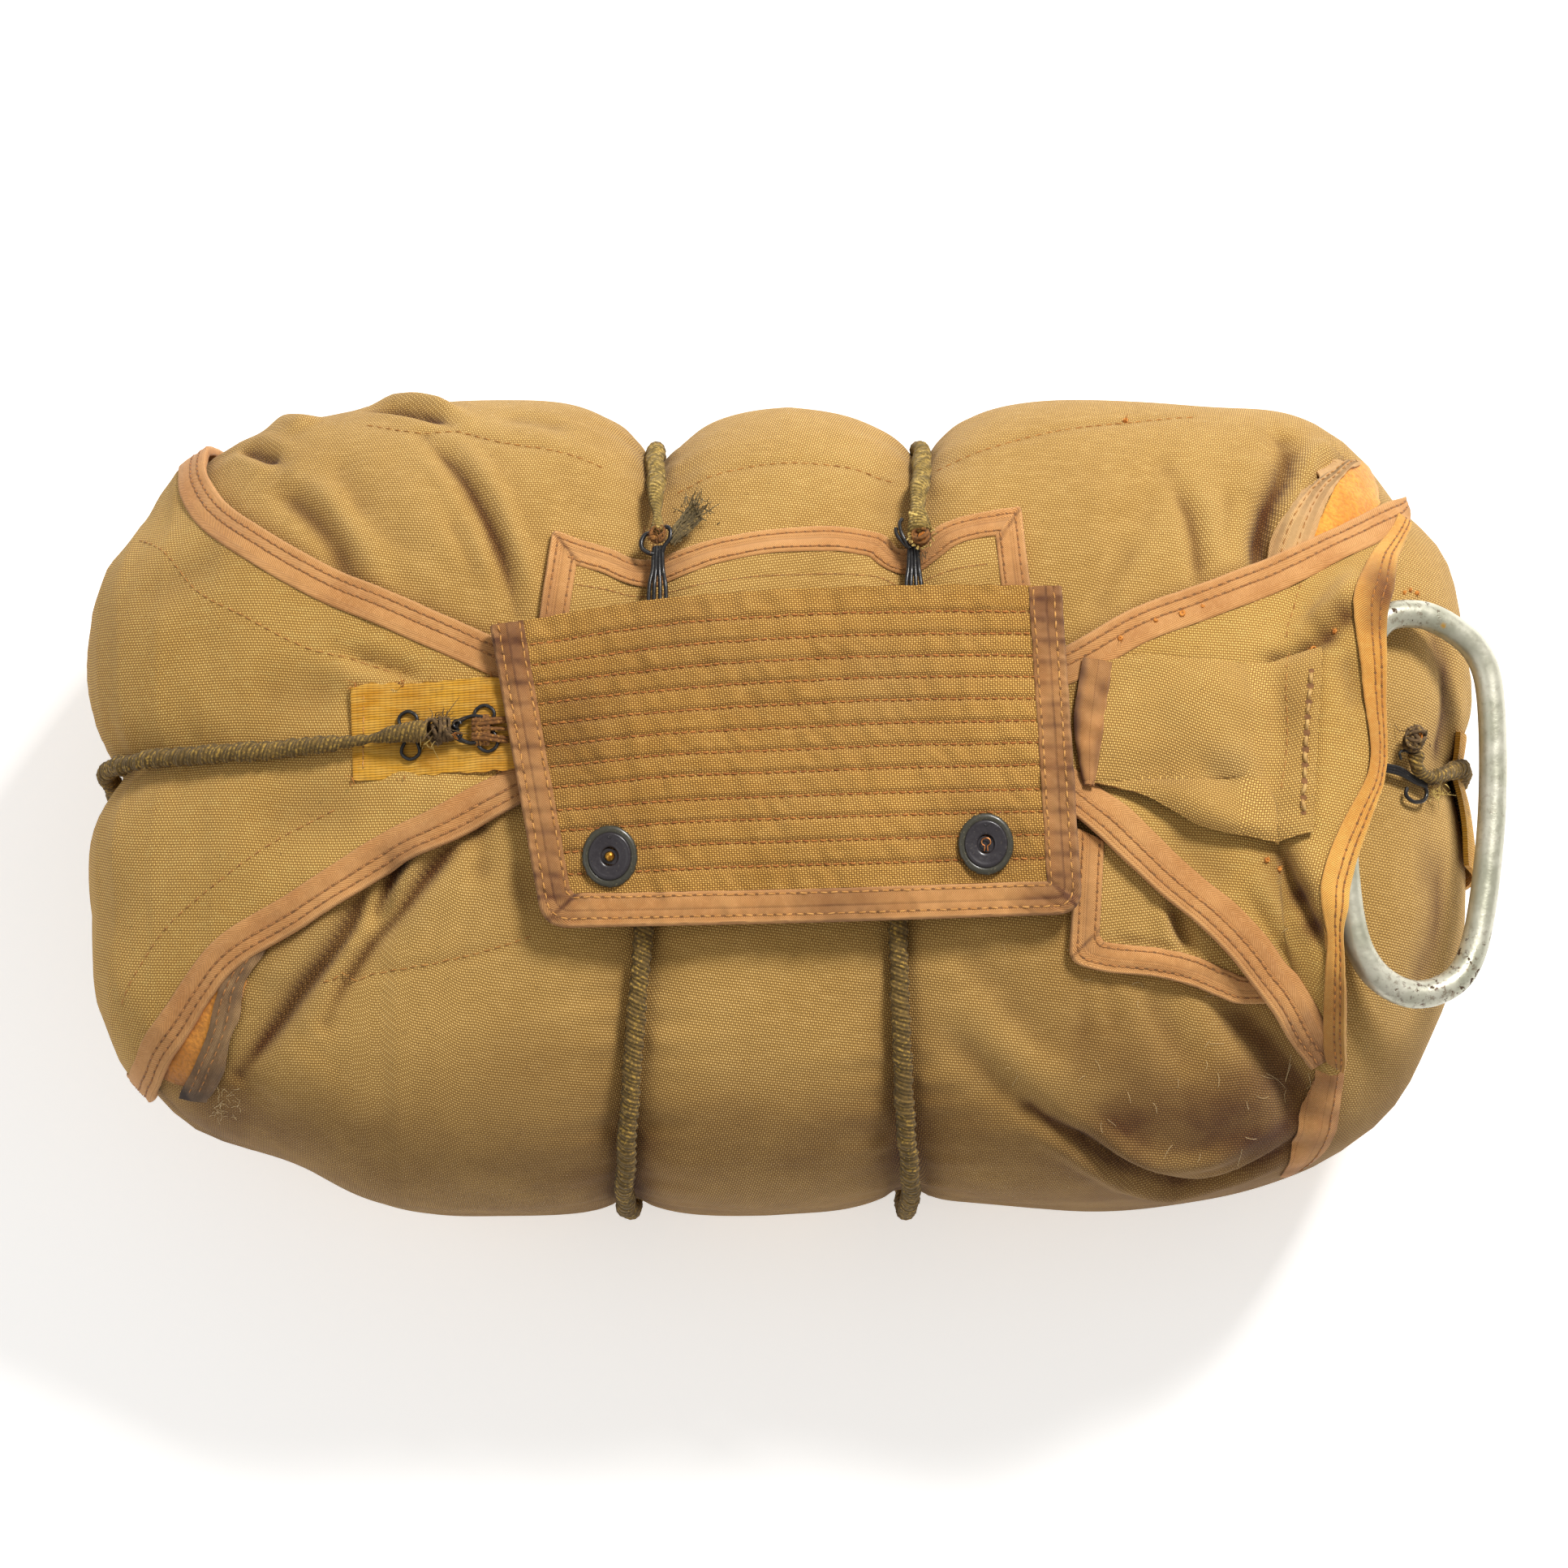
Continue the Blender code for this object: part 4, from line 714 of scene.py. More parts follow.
def cord_rings(route, radii, columns, closed=False, pitch=0.0, ridge=0.0, lobes=1):
    """Rings of a cord. pitch and ridge wind threads round it, and lobes is how many strands they make."""
    _, sides, ups = route_frames(route, closed)
    lengths = path_lengths(route)
    turns = np.linspace(0.0, math.tau, columns, endpoint=False)
    wound = np.ones((len(route), columns))
    if pitch:
        phase = math.tau * lengths[:, None] / pitch
        wound += ridge * np.sin(phase + lobes * turns[None, :])
    radius = np.broadcast_to(radii, len(route))[:, None] * wound
    across = np.cos(turns)[None, :, None] * sides[:, None, :]
    upward = np.sin(turns)[None, :, None] * ups[:, None, :]
    return route[:, None, :] + radius[..., None] * (across + upward)


def add_cord(name, route, radii, finish, cad=(), columns=12, **winding):
    """A round elastic cord along a route."""
    points, faces = tube_mesh(cord_rings(route, radii, columns, **winding))
    u = np.repeat(path_lengths(route), columns)
    v = np.tile(np.arange(columns) / columns, len(route)) * math.tau * float(np.mean(radii))
    uvs = np.stack([u, v], axis=-1)
    uvs = np.concatenate([uvs, uvs[:1], uvs[-1:]])
    return add_mesh(name, points, faces, finish, cad, uvs[face_corners(faces)], sharp=70)


class Batch:
    """Many small things of one finish, gathered into one piece."""

    def __init__(self):
        self.points = []
        self.faces = []
        self.count = 0

    def take(self, points, faces):
        """Add one thing."""
        self.points.append(np.asarray(points))
        self.faces += [[k + self.count for k in face] for face in faces]
        self.count += len(points)

    def tube(self, route, radii, columns=5):
        """Add a short thread."""
        self.take(*tube_mesh(cord_rings(np.asarray(route), radii, columns)))

    def piece(self, name, finish, slot, cad=()):
        """Make the piece."""
        return add_mesh(name, np.concatenate(self.points), self.faces, finish, cad, sharp=80)


# Threads, the dark discs of painted shade in needle holes, and fibres are gathered here by every sheet, and
# made into pieces at the end.
THREAD_LIGHT, THREAD_DARK, THREAD_ORANGE, THREAD_SEAM, THREAD_QUILT = (Batch() for _ in range(5))
HOLE_SHADES, FIBRES, LINT_FIBRES, KNOTS = (Batch() for _ in range(4))


def stitch_row(batch, hole_shades, points, normals, pitch=0.0028, share=0.72, radius=0.00024, rise=0.0002):
    """Stitches along a row of surface points, each one bowed up between two needle holes, which get dark
    discs of painted shade.
    """
    lengths = path_lengths(points)
    count = int(lengths[-1] / pitch)
    for k in range(count):
        start = (k + 0.12 + RANDOM.uniform(-0.05, 0.05)) * pitch
        reach = pitch * share * RANDOM.uniform(0.9, 1.06)
        places = start + reach * np.array([0.0, 0.14, 0.38, 0.62, 0.86, 1.0])
        route, facing = along_line(places, lengths, points), along_line(places, lengths, normals)
        heights = rise * np.array([-1.2, 0.35, 1.0, 1.0, 0.35, -1.2])
        sideways = unit(np.cross(route[-1] - route[0], facing[2]))
        lean = radius * RANDOM.uniform(-0.7, 0.7)
        route = route + facing * heights[:, None] + sideways * lean * np.linspace(-1, 1, 6)[:, None]
        taper = np.array([0.6, 0.9, 1.0, 1.0, 0.9, 0.6])
        batch.tube(route, radius * taper * RANDOM.uniform(0.85, 1.15))
        # Dark discs at the needle holes: painted shade.
        if hole_shades is not None:
            for end, way in ((0, -1.0), (-1, 1.0)):
                place = start + (reach if end else 0) + way * radius
                spot = np.interp(place, lengths, np.arange(len(lengths)))
                low = int(min(spot, len(points) - 2))
                centre = points[low] + (points[low + 1] - points[low]) * (spot - low)
                disc(hole_shades, centre + normals[low] * 0.00012, normals[low], radius * RANDOM.uniform(1.3, 2.0))


def disc(batch, centre, normal, radius, columns=6):
    """A small flat mark on a surface."""
    side = unit(np.cross(normal, (0.3, 1.0, 0.2)))
    other = np.cross(normal, side)
    turns = np.linspace(0, math.tau, columns, endpoint=False)
    ring = centre + radius * (np.cos(turns)[:, None] * side + 0.75 * np.sin(turns)[:, None] * other)
    low = centre - normal * 0.0004
    points = np.concatenate([ring, [centre + normal * 0.00002], [low]])
    faces = []
    for j in range(columns):
        k = (j + 1) % columns
        faces += [[columns, j, k], [columns + 1, k, j]]
    batch.take(points, faces)


# ---------------------------------------------------------------- finishes


def srgb(red, green, blue):
    """A linear colour from screen values of 0 to 255."""
    values = [c / 255 for c in (red, green, blue)]
    return tuple(c / 12.92 if c <= 0.04045 else ((c + 0.055) / 1.055) ** 2.4 for c in values)


def lighter(colour, amount):
    """A linear colour from screen values that are raised by an amount."""
    return srgb(*[min(255, c + amount) for c in colour])


def darker(colour, share):
    """A linear colour from a share of screen values."""
    return srgb(*[share * c for c in colour])


def shading(dark, base):
    """What a base colour is multiplied with to give a dark one."""
    return tuple(d / b for d, b in zip(srgb(*dark), srgb(*base)))


class Finish:
    """A node material, built step by step."""

    def __init__(self, name, roughness=0.9, metallic=0.0, sheen=0.0):
        self.material = bpy.data.materials.new(name)
        self.material.use_nodes = True
        self.tree = self.material.node_tree
        self.shader = self.tree.nodes["Principled BSDF"]
        self.shader.inputs["Roughness"].default_value = roughness
        self.shader.inputs["Metallic"].default_value = metallic
        self.shader.inputs["Specular IOR Level"].default_value = 0.25
        if sheen:
            self.shader.inputs["Sheen Weight"].default_value = sheen
            self.shader.inputs["Sheen Roughness"].default_value = 0.6

    def node(self, kind, **settings):
        """A new node with its properties set."""
        new = self.tree.nodes.new(kind)
        for key, value in settings.items():
            setattr(new, key, value)
        return new

    def put(self, value, socket):
        """Link a socket or set a plain value."""
        if isinstance(value, bpy.types.NodeSocket):
            self.tree.links.new(value, socket)
        else:
            socket.default_value = value

    def math(self, operation, *values):
        """The result of a Math node."""
        new = self.node("ShaderNodeMath", operation=operation)
        for k, value in enumerate(values):
            self.put(value, new.inputs[k])
        return new.outputs[0]

    def remap(self, value, low, high, to_low=0.0, to_high=1.0):
        """A value moved smoothly from one range to another."""
        new = self.node("ShaderNodeMapRange", interpolation_type="SMOOTHSTEP")
        for k, number in enumerate((value, low, high, to_low, to_high)):
            self.put(number, new.inputs[k])
        return new.outputs[0]

    def mix(self, factor, first, second, blend="MIX"):
        """A mix of two colours."""
        new = self.node("ShaderNodeMix", data_type="RGBA", blend_type=blend)
        for value, socket in ((factor, new.inputs[0]), (first, new.inputs[6]), (second, new.inputs[7])):
            if isinstance(value, tuple):
                value = (*value, 1.0)
            self.put(value, socket)
        return new.outputs[2]

    def place(self):
        """Where a point is, in metres."""
        return self.node("ShaderNodeTexCoord").outputs["Object"]

    def cloth(self):
        """Cloth coordinates in metres: along and across."""
        new = self.node("ShaderNodeSeparateXYZ")
        self.put(self.node("ShaderNodeUVMap", uv_map="cloth").outputs[0], new.inputs[0])
        return new.outputs[0], new.outputs[1]

    def value(self, key):
        """A number stored on the mesh's points."""
        return self.node("ShaderNodeAttribute", attribute_name=key).outputs["Fac"]

    def noise(self, size, detail=3.0, rough=0.55, stretch=None):
        """Noise of about the given size in metres, from 0 to 1."""
        new = self.node("ShaderNodeTexNoise")
        where = self.place()
        if stretch:
            scaled = self.node("ShaderNodeMapping")
            self.put(where, scaled.inputs[0])
            scaled.inputs["Scale"].default_value = stretch
            where = scaled.outputs[0]
        self.put(where, new.inputs["Vector"])
        new.inputs["Scale"].default_value = 1.0 / size
        new.inputs["Detail"].default_value = detail
        new.inputs["Roughness"].default_value = rough
        return new.outputs["Fac"]

    def wave(self, value, period):
        """A sine of a length in metres."""
        return self.math("SINE", self.math("MULTIPLY", value, math.tau / period))

    def bump(self, height, distance, strength=1.0):
        """A bump of the given height in metres."""
        new = self.node("ShaderNodeBump")
        new.inputs["Strength"].default_value = strength
        new.inputs["Distance"].default_value = distance
        self.put(height, new.inputs["Height"])
        return new.outputs[0]

    def blotched(self, below, above, size, detail, low, high, most=1.0):
        """A colour that shows over another where noise of about a size rises from low to high."""
        return self.mix(self.remap(self.noise(size, detail), low, high, 0.0, most), below, above)

    def done(self, colour=None, bump=None, roughness=None):
        """Connect the shader and return the material."""
        for value, key in ((colour, "Base Color"), (bump, "Normal"), (roughness, "Roughness")):
            if isinstance(value, tuple):
                value = (*value, 1.0)
            if value is not None:
                self.put(value, self.shader.inputs[key])
        return self.material


def weave_height(finish, along, across, thread):
    """Plain weave: threads of the two directions pass over each other in turn, from 0 to 1."""
    first = finish.math("SINE", finish.math("MULTIPLY", along, math.pi / thread[0]))
    second = finish.math("SINE", finish.math("MULTIPLY", across, math.pi / thread[1]))
    both = finish.math("MULTIPLY", first, second)
    return finish.math("MAXIMUM", both, finish.math("MULTIPLY", both, -0.45))


def wobbled(finish, value, size, amount):
    """A length in metres, unevenly shifted."""
    shift = finish.math("MULTIPLY_ADD", finish.noise(size, 2.0), 2 * amount, -amount)
    return finish.math("ADD", value, shift)


def turned(finish, along, across, degrees):
    """Cloth coordinates turned in the sheet's plane, for cloth cut off the straight."""
    c, s = math.cos(math.radians(degrees)), math.sin(math.radians(degrees))
    first = finish.math("MULTIPLY_ADD", along, c, finish.math("MULTIPLY", across, s))
    second = finish.math("MULTIPLY_ADD", across, c, finish.math("MULTIPLY", along, -s))
    return first, second


def canvas_finish(name, light, dark, gap, turn, thread=(0.00056, 0.00076)):
    """Duck canvas: weave, slubs, fading, crease wear, and grime with painted shade."""
    f = Finish(name, roughness=0.95, sheen=0.08)
    along, across = turned(f, *f.cloth(), turn)
    along, across = wobbled(f, along, 0.006, 0.00016), wobbled(f, across, 0.007, 0.00016)
    weave = weave_height(f, along, across, thread)
    slub = f.noise(0.0016, 2.0, stretch=(0.30, 1.0, 1.0))
    broad = f.noise(0.060, 2.0)
    body = f.mix(f.remap(broad, 0.30, 0.70), srgb(*dark), srgb(*light))
    body = f.mix(f.remap(slub, 0.45, 0.75, 0.0, 0.45), body, lighter(light, 18))
    speck = f.remap(f.noise(0.0011, 2.0), 0.64, 0.74)
    body = f.mix(f.math("MULTIPLY", speck, 0.35), body, srgb(112, 78, 36))
    fade = f.remap(f.noise(0.012, 3.0), 0.35, 0.75, 0.0, 0.25)
    body = f.mix(fade, body, lighter(light, 12))
    body = f.mix(f.remap(f.value("rub"), 0.0, 1.0, 0.0, 0.55), body, srgb(228, 192, 122))
    # Grime and painted shade, as the mesh's values give, in a dark brown.
    grime_and_shade = f.math("MULTIPLY", f.value("dirt_and_shade"), f.remap(f.noise(0.02, 4.0), 0.2, 0.8, 0.65, 1.1))
    body = f.mix(grime_and_shade, body, srgb(116, 72, 28))
    body = f.mix(f.remap(weave, 0.72, 0.0), body, shading(gap, dark), blend="MULTIPLY")
    fine = f.noise(0.00035, 2.0)
    height = f.math("MULTIPLY_ADD", fine, 0.25, weave)
    return f.done(body, f.bump(height, 0.00025, 1.0))


def felt_finish(name, light, dark, stain_and_shade):
    """Fuzzy woollen lining."""
    f = Finish(name, roughness=1.0, sheen=0.3)
    tuft = f.noise(0.0011, 4.0)
    body = f.blotched(srgb(*dark), srgb(*light), 0.012, 3.0, 0.3, 0.7)
    body = f.mix(f.remap(tuft, 0.60, 0.35, 0.0, 0.6), body, darker(dark, 0.78))
    # Grime and painted shade, as the mesh's values give.
    body = f.mix(f.math("MULTIPLY", f.value("dirt_and_shade"), 0.9), body, srgb(*stain_and_shade))
    return f.done(body, f.bump(tuft, 0.0004, 0.9))


def twill_finish(name, light, dark, groove, stain_and_shade=(108, 66, 36), spine=0.45):
    """Herringbone tape: fine ribs that turn back along its middle, faded on its edges."""
    f = Finish(name, roughness=0.9, sheen=0.12)
    along, across = f.cloth()
    folded = f.math("PINGPONG", across, 0.0026)
    slanted = f.math("ADD", along, f.math("MULTIPLY", folded, 1.35))
    ribs = f.remap(f.wave(wobbled(f, slanted, 0.004, 0.00008), 0.00064), -0.8, 0.8)
    broad = f.noise(0.018, 4.0)
    body = f.mix(f.remap(broad, 0.30, 0.70), srgb(*dark), srgb(*light))
    body = f.blotched(body, lighter(light, 24), 0.0012, 3.0, 0.4, 0.8, 0.35)
    body = f.mix(f.remap(f.value("rub"), 0.0, 1.0, 0.0, 0.6), body, lighter(light, 30))
    # Grime and painted shade, as the mesh's values give.
    grime_and_shade = f.math("MULTIPLY", f.value("dirt_and_shade"), f.remap(f.noise(0.01, 4.0), 0.2, 0.8, 0.6, 1.1))
    body = f.mix(grime_and_shade, body, srgb(*stain_and_shade))
    shade = shading(groove, dark)
    body = f.mix(f.remap(ribs, 1.0, 0.0, 0.0, 0.75), body, shade, blend="MULTIPLY")
    body = f.mix(f.remap(folded, 0.00022, 0.0, 0.0, spine), body, shade, blend="MULTIPLY")
    return f.done(body, f.bump(ribs, 0.00016, 0.9))


def webbing_finish(name):
    """Mustard webbing: cross ribs of thick yarn, darkened by handling."""
    f = Finish(name, roughness=0.85, sheen=0.1)
    along, across = f.cloth()
    across = wobbled(f, across, 0.01, 0.0004)
    yarn = f.math("ABSOLUTE", f.math("SINE", f.math("MULTIPLY", across, math.pi / 0.00074)))
    cross = f.math("ABSOLUTE", f.math("SINE", f.math("MULTIPLY", along, math.pi / 0.0016)))
    height = f.math("ADD", f.math("MULTIPLY", yarn, 0.75), f.math("MULTIPLY", cross, 0.25))
    fibre = f.noise(0.0016, 3.0, stretch=(0.2, 1.0, 1.0))
    body = f.blotched(srgb(186, 126, 18), srgb(208, 152, 38), 0.012, 4.0, 0.35, 0.7)
    body = f.mix(f.remap(fibre, 0.3, 0.8, 0.0, 0.6), body, srgb(222, 176, 84))
    body = f.mix(f.remap(height, 0.6, 0.1, 0.0, 0.55), body, srgb(140, 92, 24))
    body = f.blotched(body, srgb(120, 84, 36), 0.006, 4.0, 0.58, 0.75, 0.5)
    grime_and_shade = f.math("MULTIPLY", f.value("dirt_and_shade"), 0.8)
    body = f.mix(grime_and_shade, body, srgb(70, 50, 26))
    return f.done(body, f.bump(height, 0.0003, 0.9))


def elastic_finish(name, base, fleck, share, strength=0.7):
    """Shock cord: a worn cotton cover wrapped round and round, with gold yarn in it."""
    f = Finish(name, roughness=0.85, sheen=0.06)
    along, across = f.cloth()
    slant = f.math("ADD", along, f.math("MULTIPLY", across, 0.35))
    wraps = f.math("MULTIPLY_ADD", f.wave(wobbled(f, slant, 0.004, 0.0002), 0.00125), 0.5, 0.5)
    fibre = f.noise(0.0008, 3.0)
    body = f.mix(f.remap(fibre, 0.3, 0.7), darker(base, 0.72), srgb(*base))
    body = f.blotched(body, darker(base, 0.6), 0.009, 3.0, 0.4, 0.7, 0.5)
    gold = f.remap(f.math("ADD", f.noise(0.0010, 2.0), f.math("MULTIPLY", wraps, 0.10)), share, share + 0.08)
    patch = f.remap(f.noise(0.014, 3.0), 0.30, 0.55, 0.0, strength)
    body = f.mix(f.math("MULTIPLY", gold, patch), body, srgb(*fleck))
    body = f.mix(f.remap(wraps, 0.35, 0.0, 0.0, 0.6), body, darker(base, 0.45))
    height = f.math("ADD", f.math("MULTIPLY", wraps, 0.9), fibre)
    return f.done(body, f.bump(height, 0.00025, 1.0))


def lacquer_finish(name, colour=(30, 28, 29), worn=(92, 88, 72)):
    """Black lacquer on wire and snaps, thin on its edges."""
    f = Finish(name, roughness=0.32)
    f.shader.inputs["Coat Weight"].default_value = 0.35
    f.shader.inputs["Coat Roughness"].default_value = 0.2
    chip = f.remap(f.noise(0.0007, 4.0), 0.60, 0.70, 0.0, 0.7)
    body = f.mix(chip, srgb(*colour), srgb(*worn))
    rough = f.remap(f.noise(0.0012, 3.0), 0.3, 0.7, 0.24, 0.5)
    return f.done(body, f.bump(f.noise(0.0006, 3.0), 0.00006, 0.6), rough)


def metal_finish(name, light, dark, roughness):
    """Polished metal with a stained skin."""
    f = Finish(name, roughness=roughness, metallic=1.0)
    body = f.blotched(srgb(*dark), srgb(*light), 0.0015, 4.0, 0.35, 0.7)
    rough = f.remap(f.noise(0.001, 3.0), 0.3, 0.7, roughness * 0.8, roughness * 1.5)
    return f.done(body, f.bump(f.noise(0.0005, 2.0), 0.00003, 0.5), rough)


def silver_finish(name):
    """Chipped silver paint over steel, with rust in its chips."""
    f = Finish(name, roughness=0.4, metallic=0.55)
    f.shader.inputs["Specular IOR Level"].default_value = 0.5
    cloudy = f.remap(f.noise(0.012, 4.0), 0.3, 0.7)
    body = f.mix(cloudy, srgb(172, 172, 152), srgb(206, 204, 188))
    scuff = f.remap(f.noise(0.0022, 5.0, 0.7), 0.54, 0.64, 0.0, 0.7)
    body = f.mix(f.math("MULTIPLY", scuff, f.value("dirt_and_shade")), body, srgb(128, 112, 92))
    dark = f.remap(f.noise(0.0034, 5.0, 0.65), 0.585, 0.62)
    chips = f.math("MULTIPLY", dark, f.remap(f.value("dirt_and_shade"), 0.25, 0.9))
    body = f.mix(chips, body, srgb(84, 64, 46))
    rust = f.remap(f.noise(0.0016, 4.0), 0.55, 0.7)
    body = f.mix(f.math("MULTIPLY", rust, f.value("rub")), body, srgb(84, 52, 36))
    yellow = f.remap(f.value("yellow"), 0.5, 0.9)
    body = f.mix(yellow, body, srgb(205, 150, 20))
    rough = f.math("MULTIPLY_ADD", chips, 0.4, f.remap(f.noise(0.003, 4.0), 0.3, 0.7, 0.30, 0.46))
    height = f.math("SUBTRACT", f.noise(0.0011, 3.0), f.math("MULTIPLY", chips, 1.2))
    return f.done(body, f.bump(height, 0.00010, 0.6), rough)


def thread_finish(name, light, dark):
    """Twisted thread."""
    f = Finish(name, roughness=0.75, sheen=0.1)
    body = f.blotched(srgb(*dark), srgb(*light), 0.0016, 3.0, 0.3, 0.7)
    return f.done(body, f.bump(f.noise(0.0003, 2.0), 0.00008, 0.8))


# ---------------------------------------------------------------- the filled pack

FINE_ROUNDING = 20
FINE_SECTIONS = 262
FINE_COLUMNS = 304
# Seams sewn along the canvas: x and y, and z where they are on the side.
SEAMS = (
    ((-119, 106), (-106, 103), (-92, 102), (-78, 98), (-61, 95), (-47, 89)),
    ((-29, 84), (-16, 89), (1, 92), (21, 91), (36, 86)),
    ((46, 90), (56, 95), (79, 103), (101, 107), (122, 110, 115)),
    ((-128, -58), (-106, -55), (-94, -53), (-78, -49), (-66, -45)),
)
# Darkening, here and in the other tables of spots: x, y, reach and strength. On the pack, the spot left of
# the protector's lower left corner is painted shadow of the protector, the spot by the lower left corner
# opening is painted shade, and the strongest spot lies under the right flap's lower corner.
PACK_GRIME_AND_SHADE = (
    (139, -88, 15, 0.65), (112, -92, 24, 0.35), (90, -68, 26, 0.22), (60, -60, 24, 0.15),
    (-160, -88, 12, 0.3), (84, -32, 16, 0.3), (-70, -34, 9, 0.3),
)


def fine_stations():
    """Sections of the pack, close enough together for its folds."""
    centres = [np.mean(table(CROSS_ROWS, side)) for side in ("left", "right")]
    ends = end_stations(FINE_ROUNDING)

    def density(x):
        return 1.0 + sum(0.7 * bell(x - c, 0.012) for c in centres)

    inside = spaced(density, -ends[-1] + 0.0008, ends[-1] - 0.0008, FINE_SECTIONS)
    return np.concatenate([-ends, inside, ends[::-1]])


def pack_uvs(points, everything, fans, angles):
    """Cloth coordinates per face corner, along the pack and round it from the middle of its face."""
    rows, columns = points.shape[:2]
    top = int(np.argmin(np.abs(angles - math.pi / 2)))
    girth = row_lengths(np.concatenate([points, points[:, :1]], axis=1))
    girth -= girth[:, top : top + 1]
    middle = path_lengths(points[:, top])
    middle -= middle[rows // 2]
    i, j = np.meshgrid(np.arange(rows - 1), np.arange(columns), indexing="ij")
    corners = np.stack([(i, j), (i, j + 1), (i + 1, j + 1), (i + 1, j)], axis=-1)
    quad_uvs = np.stack([middle[corners[0]], girth[corners[0], corners[1]]], axis=-1).reshape(-1, 2)
    return np.concatenate([quad_uvs, everything[face_corners(fans)][:, 1:]])


def pack_shade_and_wear(points, folds, nearest, facing, skin):
    """The pack's painted shade, grime and rubbed places: painted shade in its fold valleys, beside the flaps'
    edges and beside the cross bands, darker towards its lower side, grime spots, and rubbed fold tops.
    """
    hollow = blurred(folds, 24) - folds
    cut = blurred(folds, 7) - folds
    # Painted shade in the fold valleys, from how far the surface lies below its smoothed self.
    shaded = clamp(hollow / 0.0016) * 0.45 + clamp((cut - 0.0002) / 0.0010) * 0.50
    # Painted shadow along the end flaps' long edges.
    shaded = shaded + 0.45 * beside_flaps(points, skin)
    # Darker towards the pack's lower long side, on its face and sides.
    low_side = smoothstep(-0.072, -0.104, points[..., 1] + 0.010 * waves(points, 0.05, 8)) * facing
    # Painted shade beside the cross bands, in their grooves on the face.
    near_band = np.exp(-nearest / 0.006) * 0.55 * smoothstep(0.03, 0.08, points[..., 2])
    dirt_and_shade = clamp(shaded + 0.55 * low_side + near_band + clamped_spots(points, PACK_GRIME_AND_SHADE))
    rub = clamp(-hollow / 0.0014) * 0.6
    return {key: np.append(values.ravel(), [0.3, 0.3]) for key, values in (("dirt_and_shade", dirt_and_shade), ("rub", rub))}


def make_pack(skin, finish):
    """The filled pack with its folds. Returns the fine surface that everything else lies on."""
    stations, angles = fine_stations(), pack_angles(FINE_COLUMNS)
    grid = pack_grid(stations, angles)
    normals = grid_normals(grid, wrap=True)
    left, right, along = band_distances(grid)
    nearest = np.minimum(left, right)
    facing = smoothstep(0.012, 0.05, grid[..., 2])
    folds = fold_height(grid, PACK_FOLDS + seam_folds() + fanned_folds(), skin)
    slack = 0.0009 * waves(grid, 0.085, 3) + 0.00022 * waves(grid, 0.034, 4)
    puckers = 0.0011 * waves(grid, 0.013, 5, (0.22, 1.0, 1.0)) * np.exp(-nearest / 0.013)
    puckers = puckers * smoothstep(0.0025, 0.006, nearest)
    end_puckers = 0.0008 * waves(grid, 0.012, 6, (1.0, 0.2, 1.0)) * np.exp(-along / 0.011)
    end_puckers = end_puckers * smoothstep(0.165, 0.185, np.abs(grid[..., 0]))
    height = folds + (slack + puckers + end_puckers) * facing - spots(grid, LEANS, MM)
    points = grid + normals * height[..., None]
    points[..., 2] = np.maximum(points[..., 2], 0.0)

    faces, fans = ring_faces(*points.shape[:2]), pole_faces(*points.shape[:2])
    everything = np.concatenate([points.reshape(-1, 3), pole_points()])
    body = add_mesh(
        "pack_canvas", everything, faces + fans, finish, ["pack_body"],
        pack_uvs(points, everything, fans, angles), pack_shade_and_wear(points, folds, nearest, facing, skin), sharp=80,
    )
    for seam in SEAMS:
        sew_seam(points, edge(skin, seam, 120), 0.0031, 0.0002)
    return everything, faces + fans


def beside_flaps(points, skin):
    """How near points are to the end flaps' long edges, 1 on an edge."""
    tables = (LEFT_FLAP_UPPER, LEFT_FLAP_LOWER, RIGHT_FLAP_UPPER, RIGHT_FLAP_LOWER)
    nearest = np.full(points.shape[:-1], np.inf)
    for place in np.concatenate([edge(skin, places, 90) for places in tables]):
        nearest = np.minimum(nearest, np.linalg.norm(points - place, axis=-1))
    return bell(nearest, 0.0032)


def spots(points, rows, scale=1.0):
    """Soft round spots on the face, added up: x, y and reach in mm, and strength times scale."""
    total = np.zeros(points.shape[:-1])
    for x, y, reach, strength in rows:
        away = np.linalg.norm(points[..., :2] - np.array([x, y]) * MM, axis=-1)
        total += strength * scale * bell(away, reach * MM)
    return total


def clamped_spots(points, rows):
    """Spots round places of the face, added up and kept from 0 to 1, for grime, painted shade and wear."""
    return clamp(spots(points, rows))


def fanned_folds():
    """Small folds that fan out from where the canvas is gathered."""
    rng = np.random.default_rng(52)
    folds = []
    for x, y, first, last, near, far, count in FANS:
        for k in range(count):
            turn = math.radians(first + (last - first) * (k + rng.uniform(0.1, 0.9)) / count)
            bend = rng.uniform(-0.25, 0.25)
            reach = np.linspace(near, near + (far - near) * rng.uniform(0.45, 1.0), 4)
            turns = turn + bend * (reach - near) / (far - near)
            route = [(x + r * math.cos(a), y + r * math.sin(a)) for r, a in zip(reach, turns)]
            profile = ("trough", "ridge")[k % 2]
            folds.append((profile, rng.uniform(3.0, 5.0), rng.uniform(0.3, 0.9), tuple(route)))
    return tuple(folds)


def seam_folds():
    """The shallow dents that the stitched seams draw into the canvas."""
    return tuple(("trough", 1.8, 0.55, seam) for seam in SEAMS)


# ---------------------------------------------------------------- sheets and their bindings


def edge(skin, places, count):
    """A flap's edge on the surface: table places in mm, resampled."""
    return smooth_path([skin.seat(*place) for place in places], count)


def evened(line, rounds):
    """A line of points smoothed along its length."""
    line = np.array(line)
    for _ in range(rounds):
        line[1:-1] = (line[:-2] + 2 * line[1:-1] + line[2:]) / 4
    return line


